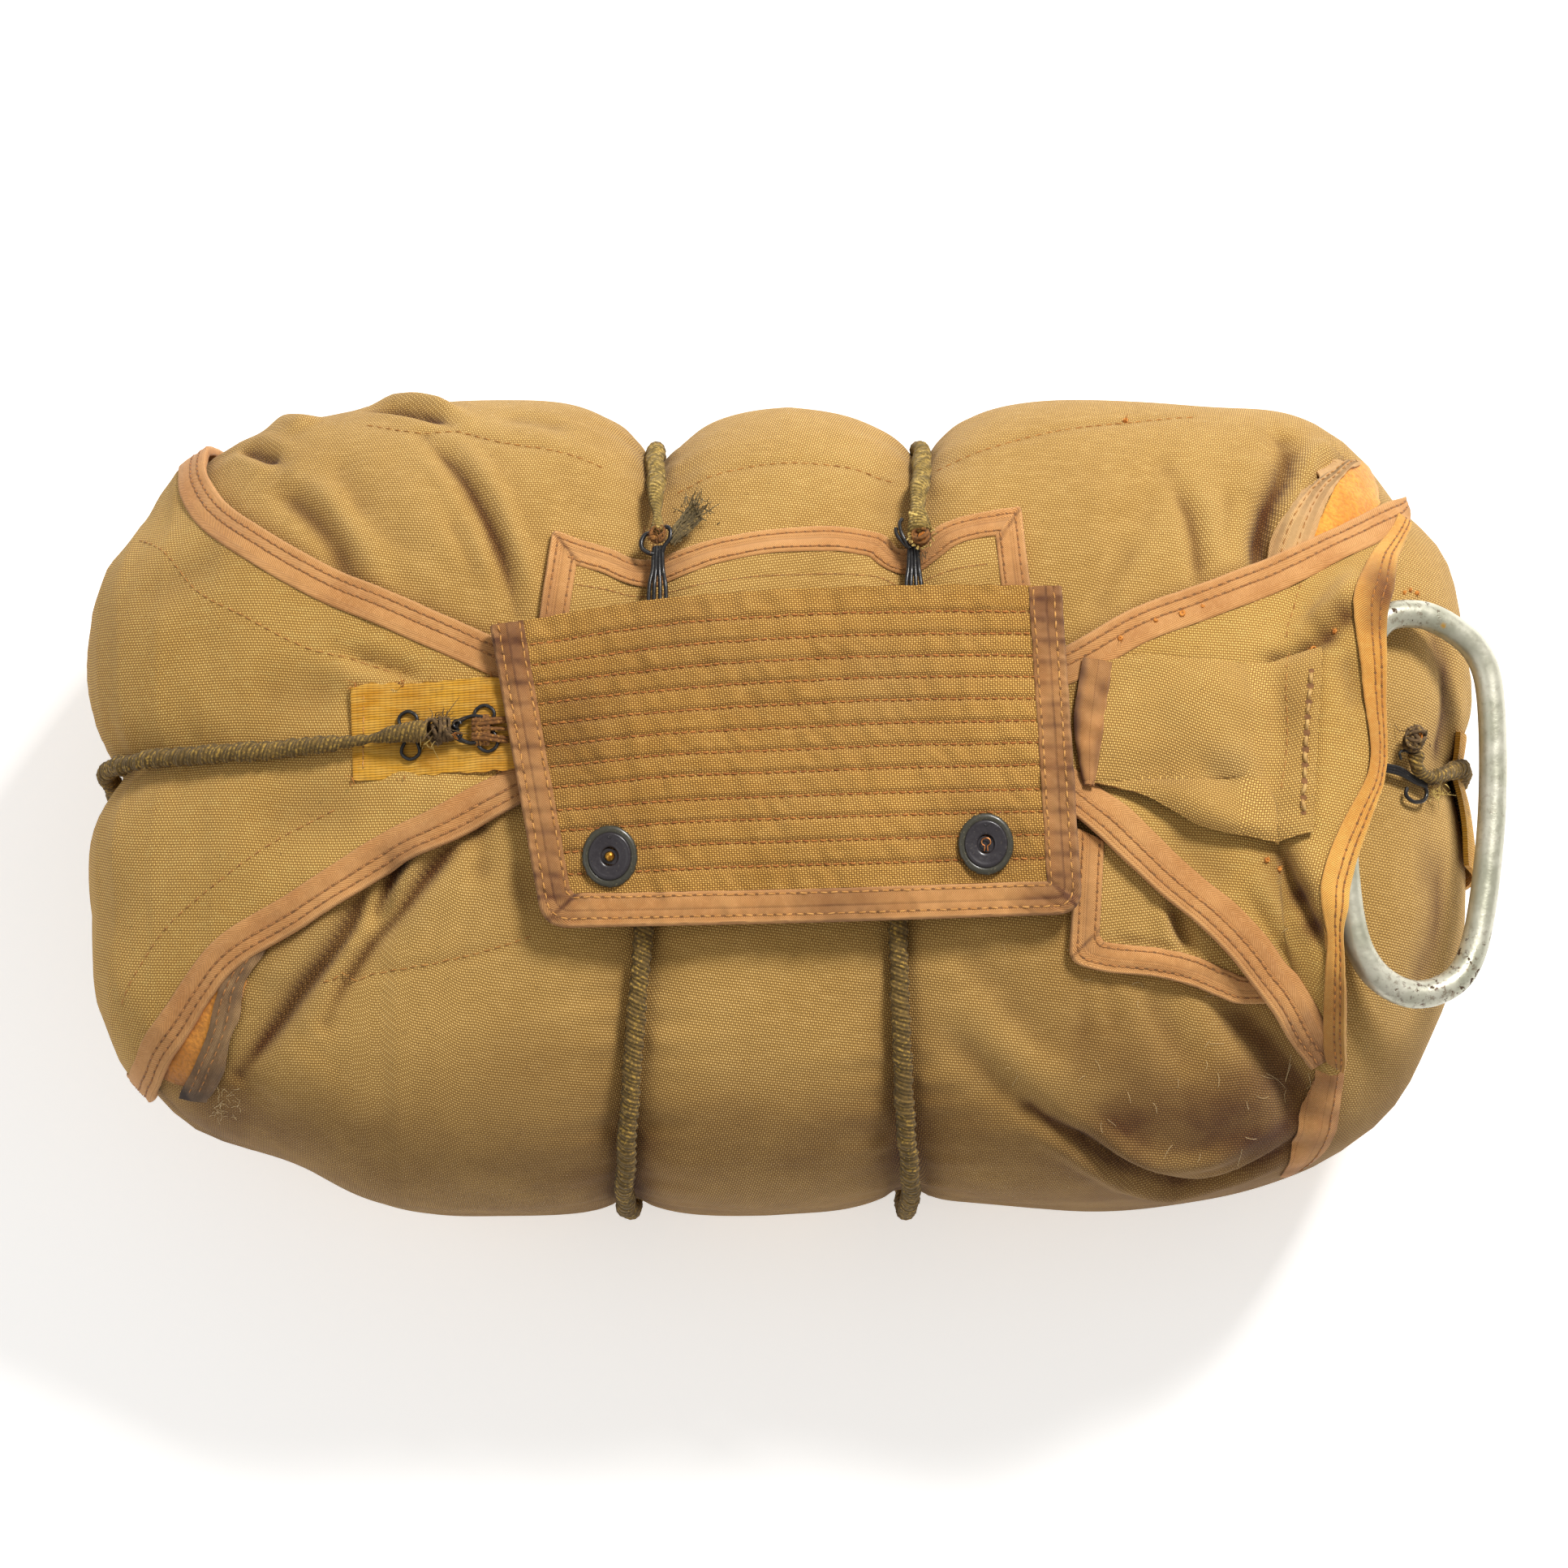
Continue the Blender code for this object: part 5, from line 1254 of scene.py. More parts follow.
def blurred(values, rounds):
    """Values of a grid, smoothed a little with their neighbours."""
    for _ in range(rounds):
        padded = np.pad(values, 1, mode="edge")
        values = (
            2 * values + padded[:-2, 1:-1] + padded[2:, 1:-1] + padded[1:-1, :-2] + padded[1:-1, 2:]
        ) / 6
    return values


def widened(values, rounds):
    """The highest of each value's neighbours, a few steps out."""
    for _ in range(rounds):
        padded = np.pad(values, 1, mode="edge")
        sides = (padded[:-2, 1:-1], padded[2:, 1:-1], padded[1:-1, :-2], padded[1:-1, 2:])
        values = np.maximum.reduce([values, *sides])
    return values


class Cloth:
    """A sheet lying over the pack: a smooth grid, how far each point stands out, and its looks.

    rest is how many steps of the grid the ground under the sheet is widened and smoothed over.
    """

    def __init__(self, folded, grid, rest=3):
        self.grid = grid
        self.normals = grid_normals(grid)
        ground = np.array([[folded.around(p) for p in row] for row in grid])
        rise = np.sum((ground - grid) * self.normals, axis=-1)
        self.ground = blurred(widened(np.maximum(rise, -0.011), rest), 2 * rest)
        self.height = np.zeros(grid.shape[:2])
        self.dirt_and_shade = np.zeros(grid.shape[:2])
        self.rub = np.zeros(grid.shape[:2])

    def top(self, height):
        """Points at a height above the ground under the cloth."""
        return self.grid + self.normals * (self.ground + self.height + height)[..., None]

    def wrinkle(self, folds, skin):
        """Add a table of folds, with painted shade in their hollows and rubbed wear on their tops."""
        rise = fold_height(self.grid, folds, skin)
        self.height += rise
        # Painted shade in the folds' hollows.
        self.dirt_and_shade += clamp(-rise / 0.002) * 0.35
        self.rub += clamp(rise / 0.002) * 0.5

    def looks(self):
        """What the sheet's material reads."""
        return {"dirt_and_shade": self.dirt_and_shade, "rub": self.rub}


def spanned(skin, first, second, columns):
    """Rows of surface points from one edge to the other."""
    places = np.linspace(0.0, 1.0, columns)
    grid = []
    for a, b in zip(first, second):
        row = [a + (b - a) * s for s in places]
        grid.append([row[0]] + [skin.around(p) for p in row[1:-1]] + [row[-1]])
    return np.array(grid)


def tape_section(width, thickness, cloth, roll):
    """A folded tape's section: distance from its inner edge and height over the cloth's underside.

    The loop runs round the outside from the lower inner edge, then back round the inside.
    """
    half = cloth / 2 + GAP
    outer_rise = half + thickness
    bulge = (
        (0.0, -0.05), (0.03, 0.75), (0.08, 1.0), (0.13, 0.80), (0.18, 1.0), (0.26, 1.12), (0.38, 1.1),
        (0.48, 1.02), (0.53, 0.82), (0.58, 1.02), (0.67, 1.12), (0.75, 1.0), (0.795, 0.84), (0.84, 1.08),
        (0.90, 1.22), (0.95, 1.15),
    )
    upper = [(s * width, half + (outer_rise - half) * h) for s, h in bulge]
    turns = np.radians(np.linspace(70, -70, 6))
    rim = width - roll * 0.45
    nose = [(rim + roll * math.cos(a) * 0.9, (outer_rise + 0.0002) * math.sin(a) * 1.05) for a in turns]
    lower = [
        (0.90 * width, -outer_rise), (0.6 * width, -outer_rise), (0.3 * width, -outer_rise),
        (0.0, -outer_rise),
    ]
    inside = [(0.0, -half), (0.5 * width, -half), (rim, -half * 0.5), (rim, half * 0.5), (0.5 * width, half)]
    loop = upper + nose + lower + inside
    return np.array(loop) + np.array([0.0, cloth / 2]), len(upper)


def binding_mesh(
    name, outer, inner, normals, finish, cad, over, looks, seed,
    cloth=CLOTH, roll=0.0011, furrow_shade=0.4, shape=None,
):
    """Tape folded round an edge. over is the cloth's upper side, which the tape stays clear of.

    outer and inner are the underside points of the cloth at its edge and at the tape's inner edge.
    Returns the piece and the grid of its upper side.
    """
    out = outer - inner
    width = np.linalg.norm(out, axis=1)
    out = out / width[:, None]
    nominal = float(np.median(width))
    section, upper = tape_section(1.0, TAPE, cloth, roll / nominal)
    rings = inner[:, None, :] + (section[None, :, 0] * width[:, None])[..., None] * out[:, None, :]
    rings = rings + section[None, :, 1, None] * normals[:, None, :]
    wave = 0.00022 * waves(rings, 0.007, seed) + 0.0003 * waves(rings, 0.022, seed + 1)
    if shape is not None:
        wave = wave + shape(rings)
    rings = rings + normals[:, None, :] * wave[..., None]
    push = clearance(rings[:, : upper - 1], normals, over)
    rings[:, : upper - 1] += normals[:, None, :] * push[..., None]
    points, faces = tube_mesh(rings)
    lengths = path_lengths((outer + inner) / 2)
    across = path_lengths(section * np.array([nominal, 1.0]))
    uvs = np.stack(np.broadcast_arrays(lengths[:, None], across[None, :]), axis=-1).reshape(-1, 2)
    uvs = np.concatenate([uvs, uvs[:1], uvs[-1:]])
    on_top = section[:, 1] > cloth
    # Painted shade in the two grooves on the tape's upper side.
    dirt_and_shade = looks(rings) + furrow_shade * on_top * bell(section[:, 0] - 0.795, 0.022)
    dirt_and_shade = clamp(dirt_and_shade + 0.3 * on_top * bell(section[:, 0] - 0.53, 0.022))
    rub = clamp(1.0 - np.abs(section[:, 0] - 1.0) / 0.10) * (section[:, 1] > cloth * 0.4)
    rub = np.broadcast_to(rub * 0.7, rings.shape[:2])
    values = {"dirt_and_shade": np.append(dirt_and_shade.ravel(), [0, 0]), "rub": np.append(rub.ravel(), [0, 0])}
    piece = add_mesh(name, points, faces, finish, cad, uvs[face_corners(faces)], values, sharp=75)
    return piece, rings[:, :upper]


def clearance(rings, normals, top):
    """How far a tape's upper points move out to stay clear of the cloth under them."""
    tree = surface_tree(*grid_surface(top))
    push = np.zeros(rings.shape[:2])
    for k, (ring, normal) in enumerate(zip(rings, normals)):
        for j, point in enumerate(ring):
            hit = tree.ray_cast(Vector(point + normal * CAST_REACH), Vector(-normal), 2 * CAST_REACH)
            if hit[0] is not None:
                push[k, j] = max(0.0, CAST_REACH - hit[3] + TAPE)
    push[:, 0] = np.maximum(push[:, 0] - TAPE, 0.0)
    return np.maximum(push, blurred(widened(push, 1), 2))


def mitres(points, lines):
    """Dark seams where a tape turns a corner: each line is two x, y places in mm."""
    total = np.zeros(points.shape[:-1])
    for start, end in lines:
        start, run = np.array(start) * MM, (np.array(end) - np.array(start)) * MM
        t = clamp(((points[..., :2] - start) @ run) / (run @ run))
        away = np.linalg.norm(points[..., :2] - start - t[..., None] * run, axis=-1)
        total = np.maximum(total, bell(away, 0.0005))
    return total


def row_on(grid, place):
    """A row along a grid's rows at a fraction across it, with normals, for stitches."""
    normals = grid_normals(grid)
    spot = place * (grid.shape[1] - 1)
    k = int(min(spot, grid.shape[1] - 2))
    t = spot - k
    points = grid[:, k] * (1 - t) + grid[:, k + 1] * t
    facing = unit(normals[:, k] * (1 - t) + normals[:, k + 1] * t)
    return points, facing


def sew_binding(top, rows, thread=THREAD_DARK, pitch=0.0028, radius=0.00022):
    """Stitch rows in the two grooves of a binding's upper side."""
    normals = grid_normals(top)
    for row in rows:
        stitch_row(thread, HOLE_SHADES, top[:, row], normals[:, row], pitch=pitch, radius=radius, rise=0.00016)


def rim(cloth, side, width, base):
    """Underside points along a bound edge and a tape's width in from it, and the normals.

    width is one number or one per point of the edge.
    """
    low, normals = cloth.top(base), cloth.normals
    if side == "last":
        low, normals = low[:, ::-1], normals[:, ::-1]
    elif side == "end":
        low, normals = low[::-1].transpose(1, 0, 2), normals[::-1].transpose(1, 0, 2)
    outer, facing = low[:, 0], evened(normals[:, 1].copy(), 6)
    way = unit(np.cross(facing, evened(np.gradient(outer, axis=0), 8)))
    if np.sum(way * (low[:, 4] - outer)) < 0:
        way = -way
    tree = surface_tree(*grid_surface(low))
    wide = np.broadcast_to(width, len(outer))[:, None]
    inner = np.array([tree.find_nearest(Vector(p))[0] for p in outer + way * wide])
    return outer, evened(inner, 4), unit(facing)


# Grids of the flaps and the pocket: points along and points across.
LEFT_FLAP_GRID = (170, 84)
RIGHT_FLAP_GRID = (120, 90)
POCKET_GRID = (70, 56)
POCKET_TAPE_GRID = (60, 14)
LEFT_FLAP_SEAMS = (
    ((-188, 77, 109), (-178, 70, 122), (-166, 56, 132), (-150, 46), (-136, 38), (-120, 32), (-107, 27)),
    ((-123, -10), (-144, -21), (-159, -31), (-171, -40, 129), (-180, -51, 122), (-186, -63, 112)),
)
# Darkening of the left flap's tapes: the two wide spots where the tapes run under the protector's edge are
# painted shade.
LEFT_TAPE_GRIME_AND_SHADE = ((-60, 30, 18, 0.8), (-60, -2, 18, 0.8), (-104, -25, 8, 0.35))
RIGHT_FLAP_SEAM = ((150, 58), (146, 44), (145, 35), (145, 12), (141, -16))


def make_left_flap(skin, folded, canvas, tape):
    """The flap that wraps the left end, bound along both long edges."""
    rows, columns = LEFT_FLAP_GRID
    upper = edge(skin, LEFT_FLAP_UPPER, rows)
    lower = edge(skin, LEFT_FLAP_LOWER, rows)
    cloth = Cloth(folded, spanned(skin, upper, lower, columns))
    along = np.abs(cloth.grid[..., 1] - SPINE_Y)
    cloth.wrinkle(LEFT_FLAP_FOLDS, skin)
    cloth.height += 0.0005 * waves(cloth.grid, 0.05, 21) + 0.0002 * waves(cloth.grid, 0.018, 22)
    ripples = 0.0007 * waves(cloth.grid, 0.011, 23, (1.0, 0.2, 1.0)) * np.exp(-along / 0.010)
    cloth.height += ripples * smoothstep(-0.145, -0.165, cloth.grid[..., 0]) * smoothstep(0.002, 0.006, along)
    # Painted shade along the end band's line over the flap's end.
    cloth.dirt_and_shade += np.exp(-along / 0.004) * 0.35 * smoothstep(-0.12, -0.14, cloth.grid[..., 0])
    # Painted shade along both bound edges, beside and under the tapes.
    from_edge = np.minimum(np.arange(columns), np.arange(columns)[::-1])[None, :]
    cloth.dirt_and_shade += 0.35 * np.exp(-np.maximum(from_edge - 4, 0) / 2.5)
    cloth.height += LEFT_FLAP_SLACK * smoothstep(-0.150, -0.185, cloth.grid[..., 0].min(axis=1))[:, None]
    top = cloth.top(CLOTH_BASE + CLOTH)
    piece = sheet_mesh(
        "left_flap_canvas", top, CLOTH, canvas, ["left_end_flap"], cloth.looks()
    )
    for side, label, seed in (("first", "upper", 31), ("last", "lower", 35)):
        width = FLAP_TAPE_WIDTH * (1.0 - 0.45 * smoothstep(0.94, 1.0, np.linspace(0, 1, rows)))
        outer, inner, normals = rim(cloth, side, width, CLOTH_BASE)
        name = f"left_flap_{label}_binding"
        binding, tape_top = binding_mesh(
            name + "_tape", outer, inner, normals, tape, [name], seed=seed, over=top,
            looks=lambda rings: clamped_spots(rings, LEFT_TAPE_GRIME_AND_SHADE),
        )
        sew_binding(tape_top, rows=(8, 12))
    for seam in LEFT_FLAP_SEAMS:
        sew_seam(top, edge(skin, seam, 120), 0.0034, 0.0002)


def sew_seam(top, line, pitch, radius):
    """Stitches of seam thread along a line, laid on a sheet's upper side."""
    facing = grid_normals(top).reshape(-1, 3)
    tree = surface_tree(*grid_surface(top))
    placed, normals = [], []
    for spot in line:
        hit, _, face, _ = tree.find_nearest(Vector(spot))
        placed.append(np.array(hit))
        normals.append(facing[first_corner(face, top.shape[1])])
    stitch_row(
        THREAD_SEAM, None, np.array(placed), np.array(normals), pitch=pitch, radius=radius, rise=0.00014
    )


def first_corner(face, columns):
    """The first point of a grid's face."""
    return (face // (columns - 1)) * columns + face % (columns - 1)


def handle_height(x):
    """The height of the handle's centre line at x."""
    return HANDLE_PLANE["z"] + HANDLE_PLANE["slope"] * (x - HANDLE_PLANE["x"])


def handle_line(count):
    """The centre line of the ripcord handle's rod."""
    plan = closed_path(np.array(HANDLE_ROUTE) * MM, count)
    return np.array([(x, y, handle_height(x)) for x, y in plan])


def over_rod(grid):
    """How far the right flap stands off the pack, over the rod and the lower tab."""
    route = handle_line(60)
    hidden = route[route[:, 0] < HANDLE_HIDDEN_TO]
    away = np.min(np.linalg.norm(grid[..., None, :2] - hidden[:, :2], axis=-1), axis=-1)
    needed = handle_height(grid[..., 0]) + HANDLE_ROD_RADIUS + GAP - LOWER_WALL - grid[..., 2]
    rod = np.maximum(needed + ROD_CLEARANCE, 0) * bell(np.maximum(away - 0.005, 0), 0.012)
    tab = np.array(LOWER_TAB_LEFT + LOWER_TAB_BOTTOM + LOWER_TAB_RIGHT) * MM
    low, high = tab.min(axis=0) - 0.004, tab.max(axis=0) + 0.004
    near = np.maximum(np.maximum(low - grid[..., :2], grid[..., :2] - high), 0).max(axis=-1)
    return np.maximum(rod, (BOUND_TOP + GAP) * smoothstep(0.010, 0.0, near))


# Darkening of the right flap: the spots along the crease above the pocket, along the crease by the lower
# corner, and where the flap runs under the protector's edge are painted shade.
RIGHT_FLAP_GRIME_AND_SHADE = (
    (147, -34, 4, 0.8), (151, -43, 4, 0.9), (150.7, 35, 3, 0.7), (156, 39, 3, 0.8), (161, 44.5, 3.5, 0.9),
    (141, 32.5, 3, 0.5), (84, 30, 10, 0.8), (84, -6, 10, 0.5), (141, -24, 6, 0.5),
)
# Darkening of the right flap's tapes: the two spots where the tapes run under the protector's edge are
# painted shade.
RIGHT_TAPE_GRIME_AND_SHADE = (
    (72, 30, 12, 0.9), (72, -4, 12, 0.7), (172, 54, 8, 1.0), (169, 44, 5, 0.6), (167, 12, 9, 0.2),
    (158, -62, 9, 0.4), (155, -80, 9, 0.7),
)
END_TAPE_RISE = 0.0009
END_TAPE_SHOWN = (5, 85)
# How much of the end binding shows, from the flap's upper corner down: share of the way, width.
END_TAPE_WIDTHS = (
    (0, 4), (0.044, 5.3), (0.092, 4.6), (0.141, 7.5), (0.19, 10), (0.21, 11.5), (0.24, 10), (0.287, 8),
    (0.336, 7), (0.42, 5.6), (0.51, 5.6), (0.58, 7.2), (0.67, 9.2), (0.72, 9.5), (0.76, 5.6), (0.85, 6.2),
    (1, 6),
)


def make_right_flap(skin, folded, canvas, tape, orange):
    """The flap over the right end, which holds the ripcord handle."""
    rows, columns = RIGHT_FLAP_GRID
    upper = edge(skin, RIGHT_FLAP_UPPER, rows)
    lower = edge(skin, RIGHT_FLAP_LOWER, rows)
    places = np.linspace(0, 1, columns)[None, :, None]
    plan = upper[:, None, :2] * (1 - places) + lower[:, None, :2] * places
    reach = smooth_path(np.array(RIGHT_FLAP_END) * MM, columns) - plan[-1]
    plan = plan + np.linspace(0, 1, rows)[:, None, None] ** 2 * reach[None]
    grid = np.array([[skin.above(*p) for p in row] for row in plan])
    lift = blurred(over_rod(grid), 6)
    grid = grid + lift[..., None] * np.array([0.0, 0.0, 1.0])
    cloth = Cloth(folded, grid)
    cloth.ground = np.maximum(cloth.ground - lift, 0.0)
    cloth.wrinkle(RIGHT_FLAP_FOLDS, Skin(smooth_surface(0.0), grid_surface(grid)))
    cloth.height += 0.0005 * waves(grid, 0.04, 41) + 0.0002 * waves(grid, 0.016, 42)
    cloth.dirt_and_shade += clamped_spots(grid, RIGHT_FLAP_GRIME_AND_SHADE)
    top = cloth.top(CLOTH_BASE + CLOTH)
    piece = sheet_mesh(
        "right_flap_canvas", top, CLOTH, canvas, ["right_end_flap"], cloth.looks()
    )
    widths = np.interp(np.linspace(0, 1, columns), *np.array(END_TAPE_WIDTHS).T) * MM
    jobs = (
        ("first", "right_flap_upper_binding", tape, "twill_tape", (130, 20), 51, FLAP_TAPE_WIDTH),
        ("last", "right_flap_lower_binding", tape, "twill_tape", (130, 20), 55, FLAP_TAPE_WIDTH * 1.12),
        ("end", "right_flap_end_binding", orange, "orange_twill", (125, 20), 59, widths),
    )
    for side, name, finish, slot, flat, seed, width in jobs:
        outer, inner, normals = rim(
            cloth, side, width, CLOTH_BASE + (END_TAPE_RISE if side == "end" else 0.0),
        )
        if side == "end":
            shown = slice(*END_TAPE_SHOWN)
            outer, inner, normals = outer[shown], inner[shown], normals[shown]
        binding, tape_top = binding_mesh(
            name + "_tape", outer, inner, normals, finish, [name], seed=seed, furrow_shade=0.8, over=top,
            looks=lambda rings: clamped_spots(rings, RIGHT_TAPE_GRIME_AND_SHADE),
        )
        sew_binding(tape_top, rows=(8, 12), thread=THREAD_ORANGE if side == "end" else THREAD_DARK)
    sew_seam(top, edge(skin, RIGHT_FLAP_SEAM, 80), 0.0032, 0.00016)
    return top


POCKET_TAPE_LEFT = ((85.5, 32), (83, 14), (85.5, -5))
POCKET_TAPE_RIGHT = ((94, 30.5), (92, 15), (88.5, -5.5))
POCKET_FOLDS = (
    ("trough", 6.0, 1.6, ((100, 2), (116, 1), (132, -5))),
    ("ridge", 4.0, 2.0, ((94, -4), (108, -8), (122, -13), (134, -16), (146, -15))),
    ("ridge", 6.0, 1.4, ((124, 10), (130, -2), (141, -10))),
    ("trough", 5.0, 1.4, ((138, 28), (143, 16), (142, 0))),
    ("ridge", 7.0, 1.2, ((104, 24), (122, 22), (136, 18))),
)


def laid_between(skin, first, second, columns):
    """Rows of surface points straight below the lines from one edge to the other."""
    places = np.linspace(0, 1, columns)
    return np.array([[skin.above(*(a + (b - a) * s)[:2]) for s in places] for a, b in zip(first, second)])


def make_pocket(flap_top, canvas, tape):
    """The raised pocket on the right flap and the tape along its left edge."""
    base = Skin(grid_surface(flap_top))
    count, columns = POCKET_GRID
    grid = laid_between(base, edge(base, POCKET_TOP, count), edge(base, POCKET_BOTTOM, count), columns)
    along = np.linspace(0.06, 0.95, count)[:, None]
    across = np.linspace(0.03, 0.95, columns)[None, :]
    bulge = POCKET_BULGE * (np.sin(along * math.pi) ** 0.7) * np.sin(across * math.pi) ** 0.5
    normals = grid_normals(grid)
    folds = fold_height(grid, POCKET_FOLDS, base)
    rise = bulge + folds + 0.0004 * waves(grid, 0.02, 61) + GAP
    top = grid + normals * (CLOTH + rise)[..., None]
    dirt_and_shade = clamped_spots(grid, ((108, -4, 12, 0.25), (147, 20, 6, 0.2)))
    rub = clamped_spots(grid, ((126, 1, 7, 0.9), (150, 30, 5, 0.3), (110, 20, 14, 0.2)))
    piece = sheet_mesh(
        "pocket_canvas", top, CLOTH, canvas, ["ripcord_pocket"], {"dirt_and_shade": dirt_and_shade, "rub": rub}
    )
    seam, facing = row_on(top.transpose(1, 0, 2), 0.955)
    stitch_row(FIBRES, HOLE_SHADES, seam[6:-2], facing[6:-2], pitch=0.0046, radius=0.00058, rise=0.0006)

    sew_seam(top, edge(base, RIGHT_FLAP_SEAM[1:], 80)[12:-10], 0.0032, 0.00017)

    left = np.array(POCKET_TAPE_LEFT, dtype=float) + np.array([0.3, 0.0])
    right = np.array(POCKET_TAPE_RIGHT, dtype=float)
    count, columns = POCKET_TAPE_GRID
    strip = laid_between(base, smooth_path(left * MM, count), smooth_path(right * MM, count), columns)
    facing = grid_normals(strip)
    across = np.linspace(0, 1, columns)[None, :]
    roll = 0.0016 * np.sin(across * math.pi) ** 0.5 + 0.0012 * smoothstep(0.75, 1.0, across)
    roll = roll + 0.0004 * waves(strip, 0.007, 63) + GAP + 0.0006
    tape_top = strip + facing * (2 * TAPE + roll)[..., None]
    dirt_and_shade = clamp(0.45 + 0.5 * smoothstep(0.3, 0.0, across) + 0.3 * waves(strip, 0.01, 64))
    piece = sheet_mesh(
        "pocket_binding_tape", tape_top, 2 * TAPE, tape, ["pocket_binding"],
        {"dirt_and_shade": dirt_and_shade, "rub": np.zeros_like(dirt_and_shade)},
    )


def tab_grid(skin, sides, rows, columns):
    """A tab's surface points from its two sides and its free edge."""
    left, right, free = sides
    grid = []
    chord = np.linspace(0, 1, columns)[:, None]
    sag = free[:, :2] - (left[-1] + (right[-1] - left[-1]) * chord)[:, :2]
    for k, s in enumerate(np.linspace(0, 1, rows)):
        line = (left[k] + (right[k] - left[k]) * chord)[:, :2] + sag * s
        grid.append([skin.above(*p) for p in line])
    return np.array(grid)


def around_edge(cloth, width, base, corner, count):
    """A tape's outer and inner lines round a tab's two sides and free edge, with rounded corners."""
    low = cloth.top(base)
    left, free, right = low[:, 0], low[-1], low[::-1, -1]
    outline = np.concatenate([left[:-1], free[:-1], right])
    facing = np.concatenate([cloth.normals[:, 0][:-1], cloth.normals[-1][:-1], cloth.normals[::-1, -1]])
    lengths = path_lengths(outline)
    turns = (path_lengths(left)[-1], lengths[-1] - path_lengths(right)[-1])

    def spot(place):
        return np.array([np.interp(place, lengths, outline[:, c]) for c in range(3)])

    places = np.linspace(0, lengths[-1], count)
    outer = np.array([spot(place) for place in places])
    normals = np.array([[np.interp(place, lengths, facing[:, c]) for c in range(3)] for place in places])
    normals = evened(unit(normals), 12)
    for turn in turns:
        a, b = np.flatnonzero(np.abs(places - turn) < corner)[[0, -1]]
        t = np.linspace(0, 1, b - a + 1)[:, None]
        outer[a : b + 1] = (1 - t) ** 2 * outer[a] + 2 * t * (1 - t) * spot(turn) + t**2 * outer[b]

    x, y = outline[:, 0], outline[:, 1]
    turning = np.sign(np.sum(x * np.roll(y, -1) - y * np.roll(x, -1)))
    tree = surface_tree(*grid_surface(low))
    inner = []
    for place in places:
        start, end = side_range(place, turns, lengths[-1])
        held = np.clip(place, start + (width if start else 0), end - (width if end < lengths[-1] else 0))
        way = spot(min(held + EDGE_SPAN, end)) - spot(max(held - EDGE_SPAN, start))
        way = unit(np.array([-way[1], way[0], 0.0])) * turning
        inner.append(np.array(tree.find_nearest(Vector(spot(held) + way * width))[0]))
    inner = evened(np.array(inner), 6)
    return outer, inner, unit(normals)


def side_range(place, turns, total):
    """Where the side that a place is on starts and ends."""
    first, second = turns
    if place < first:
        return 0.0, first
    if place < second:
        return first, second
    return second, total


TAB_TAPE_STAINS = (
    (-66, 40, 12, 0.5), (73, 52, 12, 0.4), (-34, 62, 9, 0.5), (41, 62, 9, 0.6), (84, -40, 8, 0.3),
)
TAB_MITRES = (((82, -52.5), (90, -44.5)), ((-63, 69), (-55.5, 60)), ((69, 76), (62.5, 66)))


def make_tab(name, skin, folded, sides, shape, folds, canvas, tape, corner, seed=70):
    """A tongue of canvas bound on three sides."""
    cloth = Cloth(folded, tab_grid(skin, sides, *shape), rest=2)
    cloth.wrinkle(folds, skin)
    cloth.height += 0.0004 * waves(cloth.grid, 0.03, seed)
    outer, inner, normals = around_edge(cloth, TAB_TAPE_WIDTH, CLOTH_BASE, corner, 300)
    top = inset(cloth, 0.0010, CLOTH_BASE) + cloth.normals * CLOTH
    piece = sheet_mesh(
        name + "_canvas", top, CLOTH, canvas, [name], cloth.looks(),
        cut=top[..., :2],
    )
    binding, rows = binding_mesh(
        name + "_binding_tape", outer, inner, normals, tape, [name + "_binding"], seed=seed + 1,
        over=top, looks=lambda rings: clamped_spots(rings, TAB_TAPE_STAINS) + 0.7 * mitres(rings, TAB_MITRES),
    )
    sew_binding(rows, rows=(4, 12), pitch=0.0026)
    return cloth


def inset(cloth, amount, base):
    """A sheet's underside points with its corners rounded off under the binding."""
    low = cloth.top(base)
    middle = low.mean(axis=(0, 1))
    rows, columns = low.shape[:2]
    r = np.linspace(-1, 1, 2 * rows - 1)[rows - 1 :][:, None]
    c = np.abs(np.linspace(-1, 1, columns))[None, :]
    corner = smoothstep(0.80, 1.0, r) * smoothstep(0.86, 1.0, c)
    pull = amount + 0.0035 * corner
    way = middle - low
    way[..., 2] = 0
    share = np.maximum(smoothstep(0.90, 1.0, r), smoothstep(0.94, 1.0, c))
    return low + unit(way) * (pull * share)[..., None]


def make_upper_tab(skin, folded, canvas, tape):
    """The tongue that shows above the protector."""
    sides = (edge(skin, UPPER_TAB_LEFT, 44), edge(skin, UPPER_TAB_RIGHT, 44), edge(skin, UPPER_TAB_TOP, 130))
    folds = (
        ("trough", 9.0, 1.4, ((-38, 60), (-35, 52), (-34, 42))),
        ("trough", 9.0, 1.4, ((37, 63), (38, 54), (38, 44))),
        ("ridge", 8.0, 0.8, ((-12, 60), (12, 63), (26, 60))),
    )
    cloth = make_tab("upper_tab", skin, folded, sides, (44, 130), folds, canvas, tape, 0.0016)
    top = cloth.top(CLOTH_BASE + CLOTH)
    seam, facing = row_on(top.transpose(1, 0, 2), 0.55)
    stitch_row(THREAD_DARK, HOLE_SHADES, seam[8:-8], facing[8:-8], pitch=0.003, radius=0.00014, rise=0.0001)


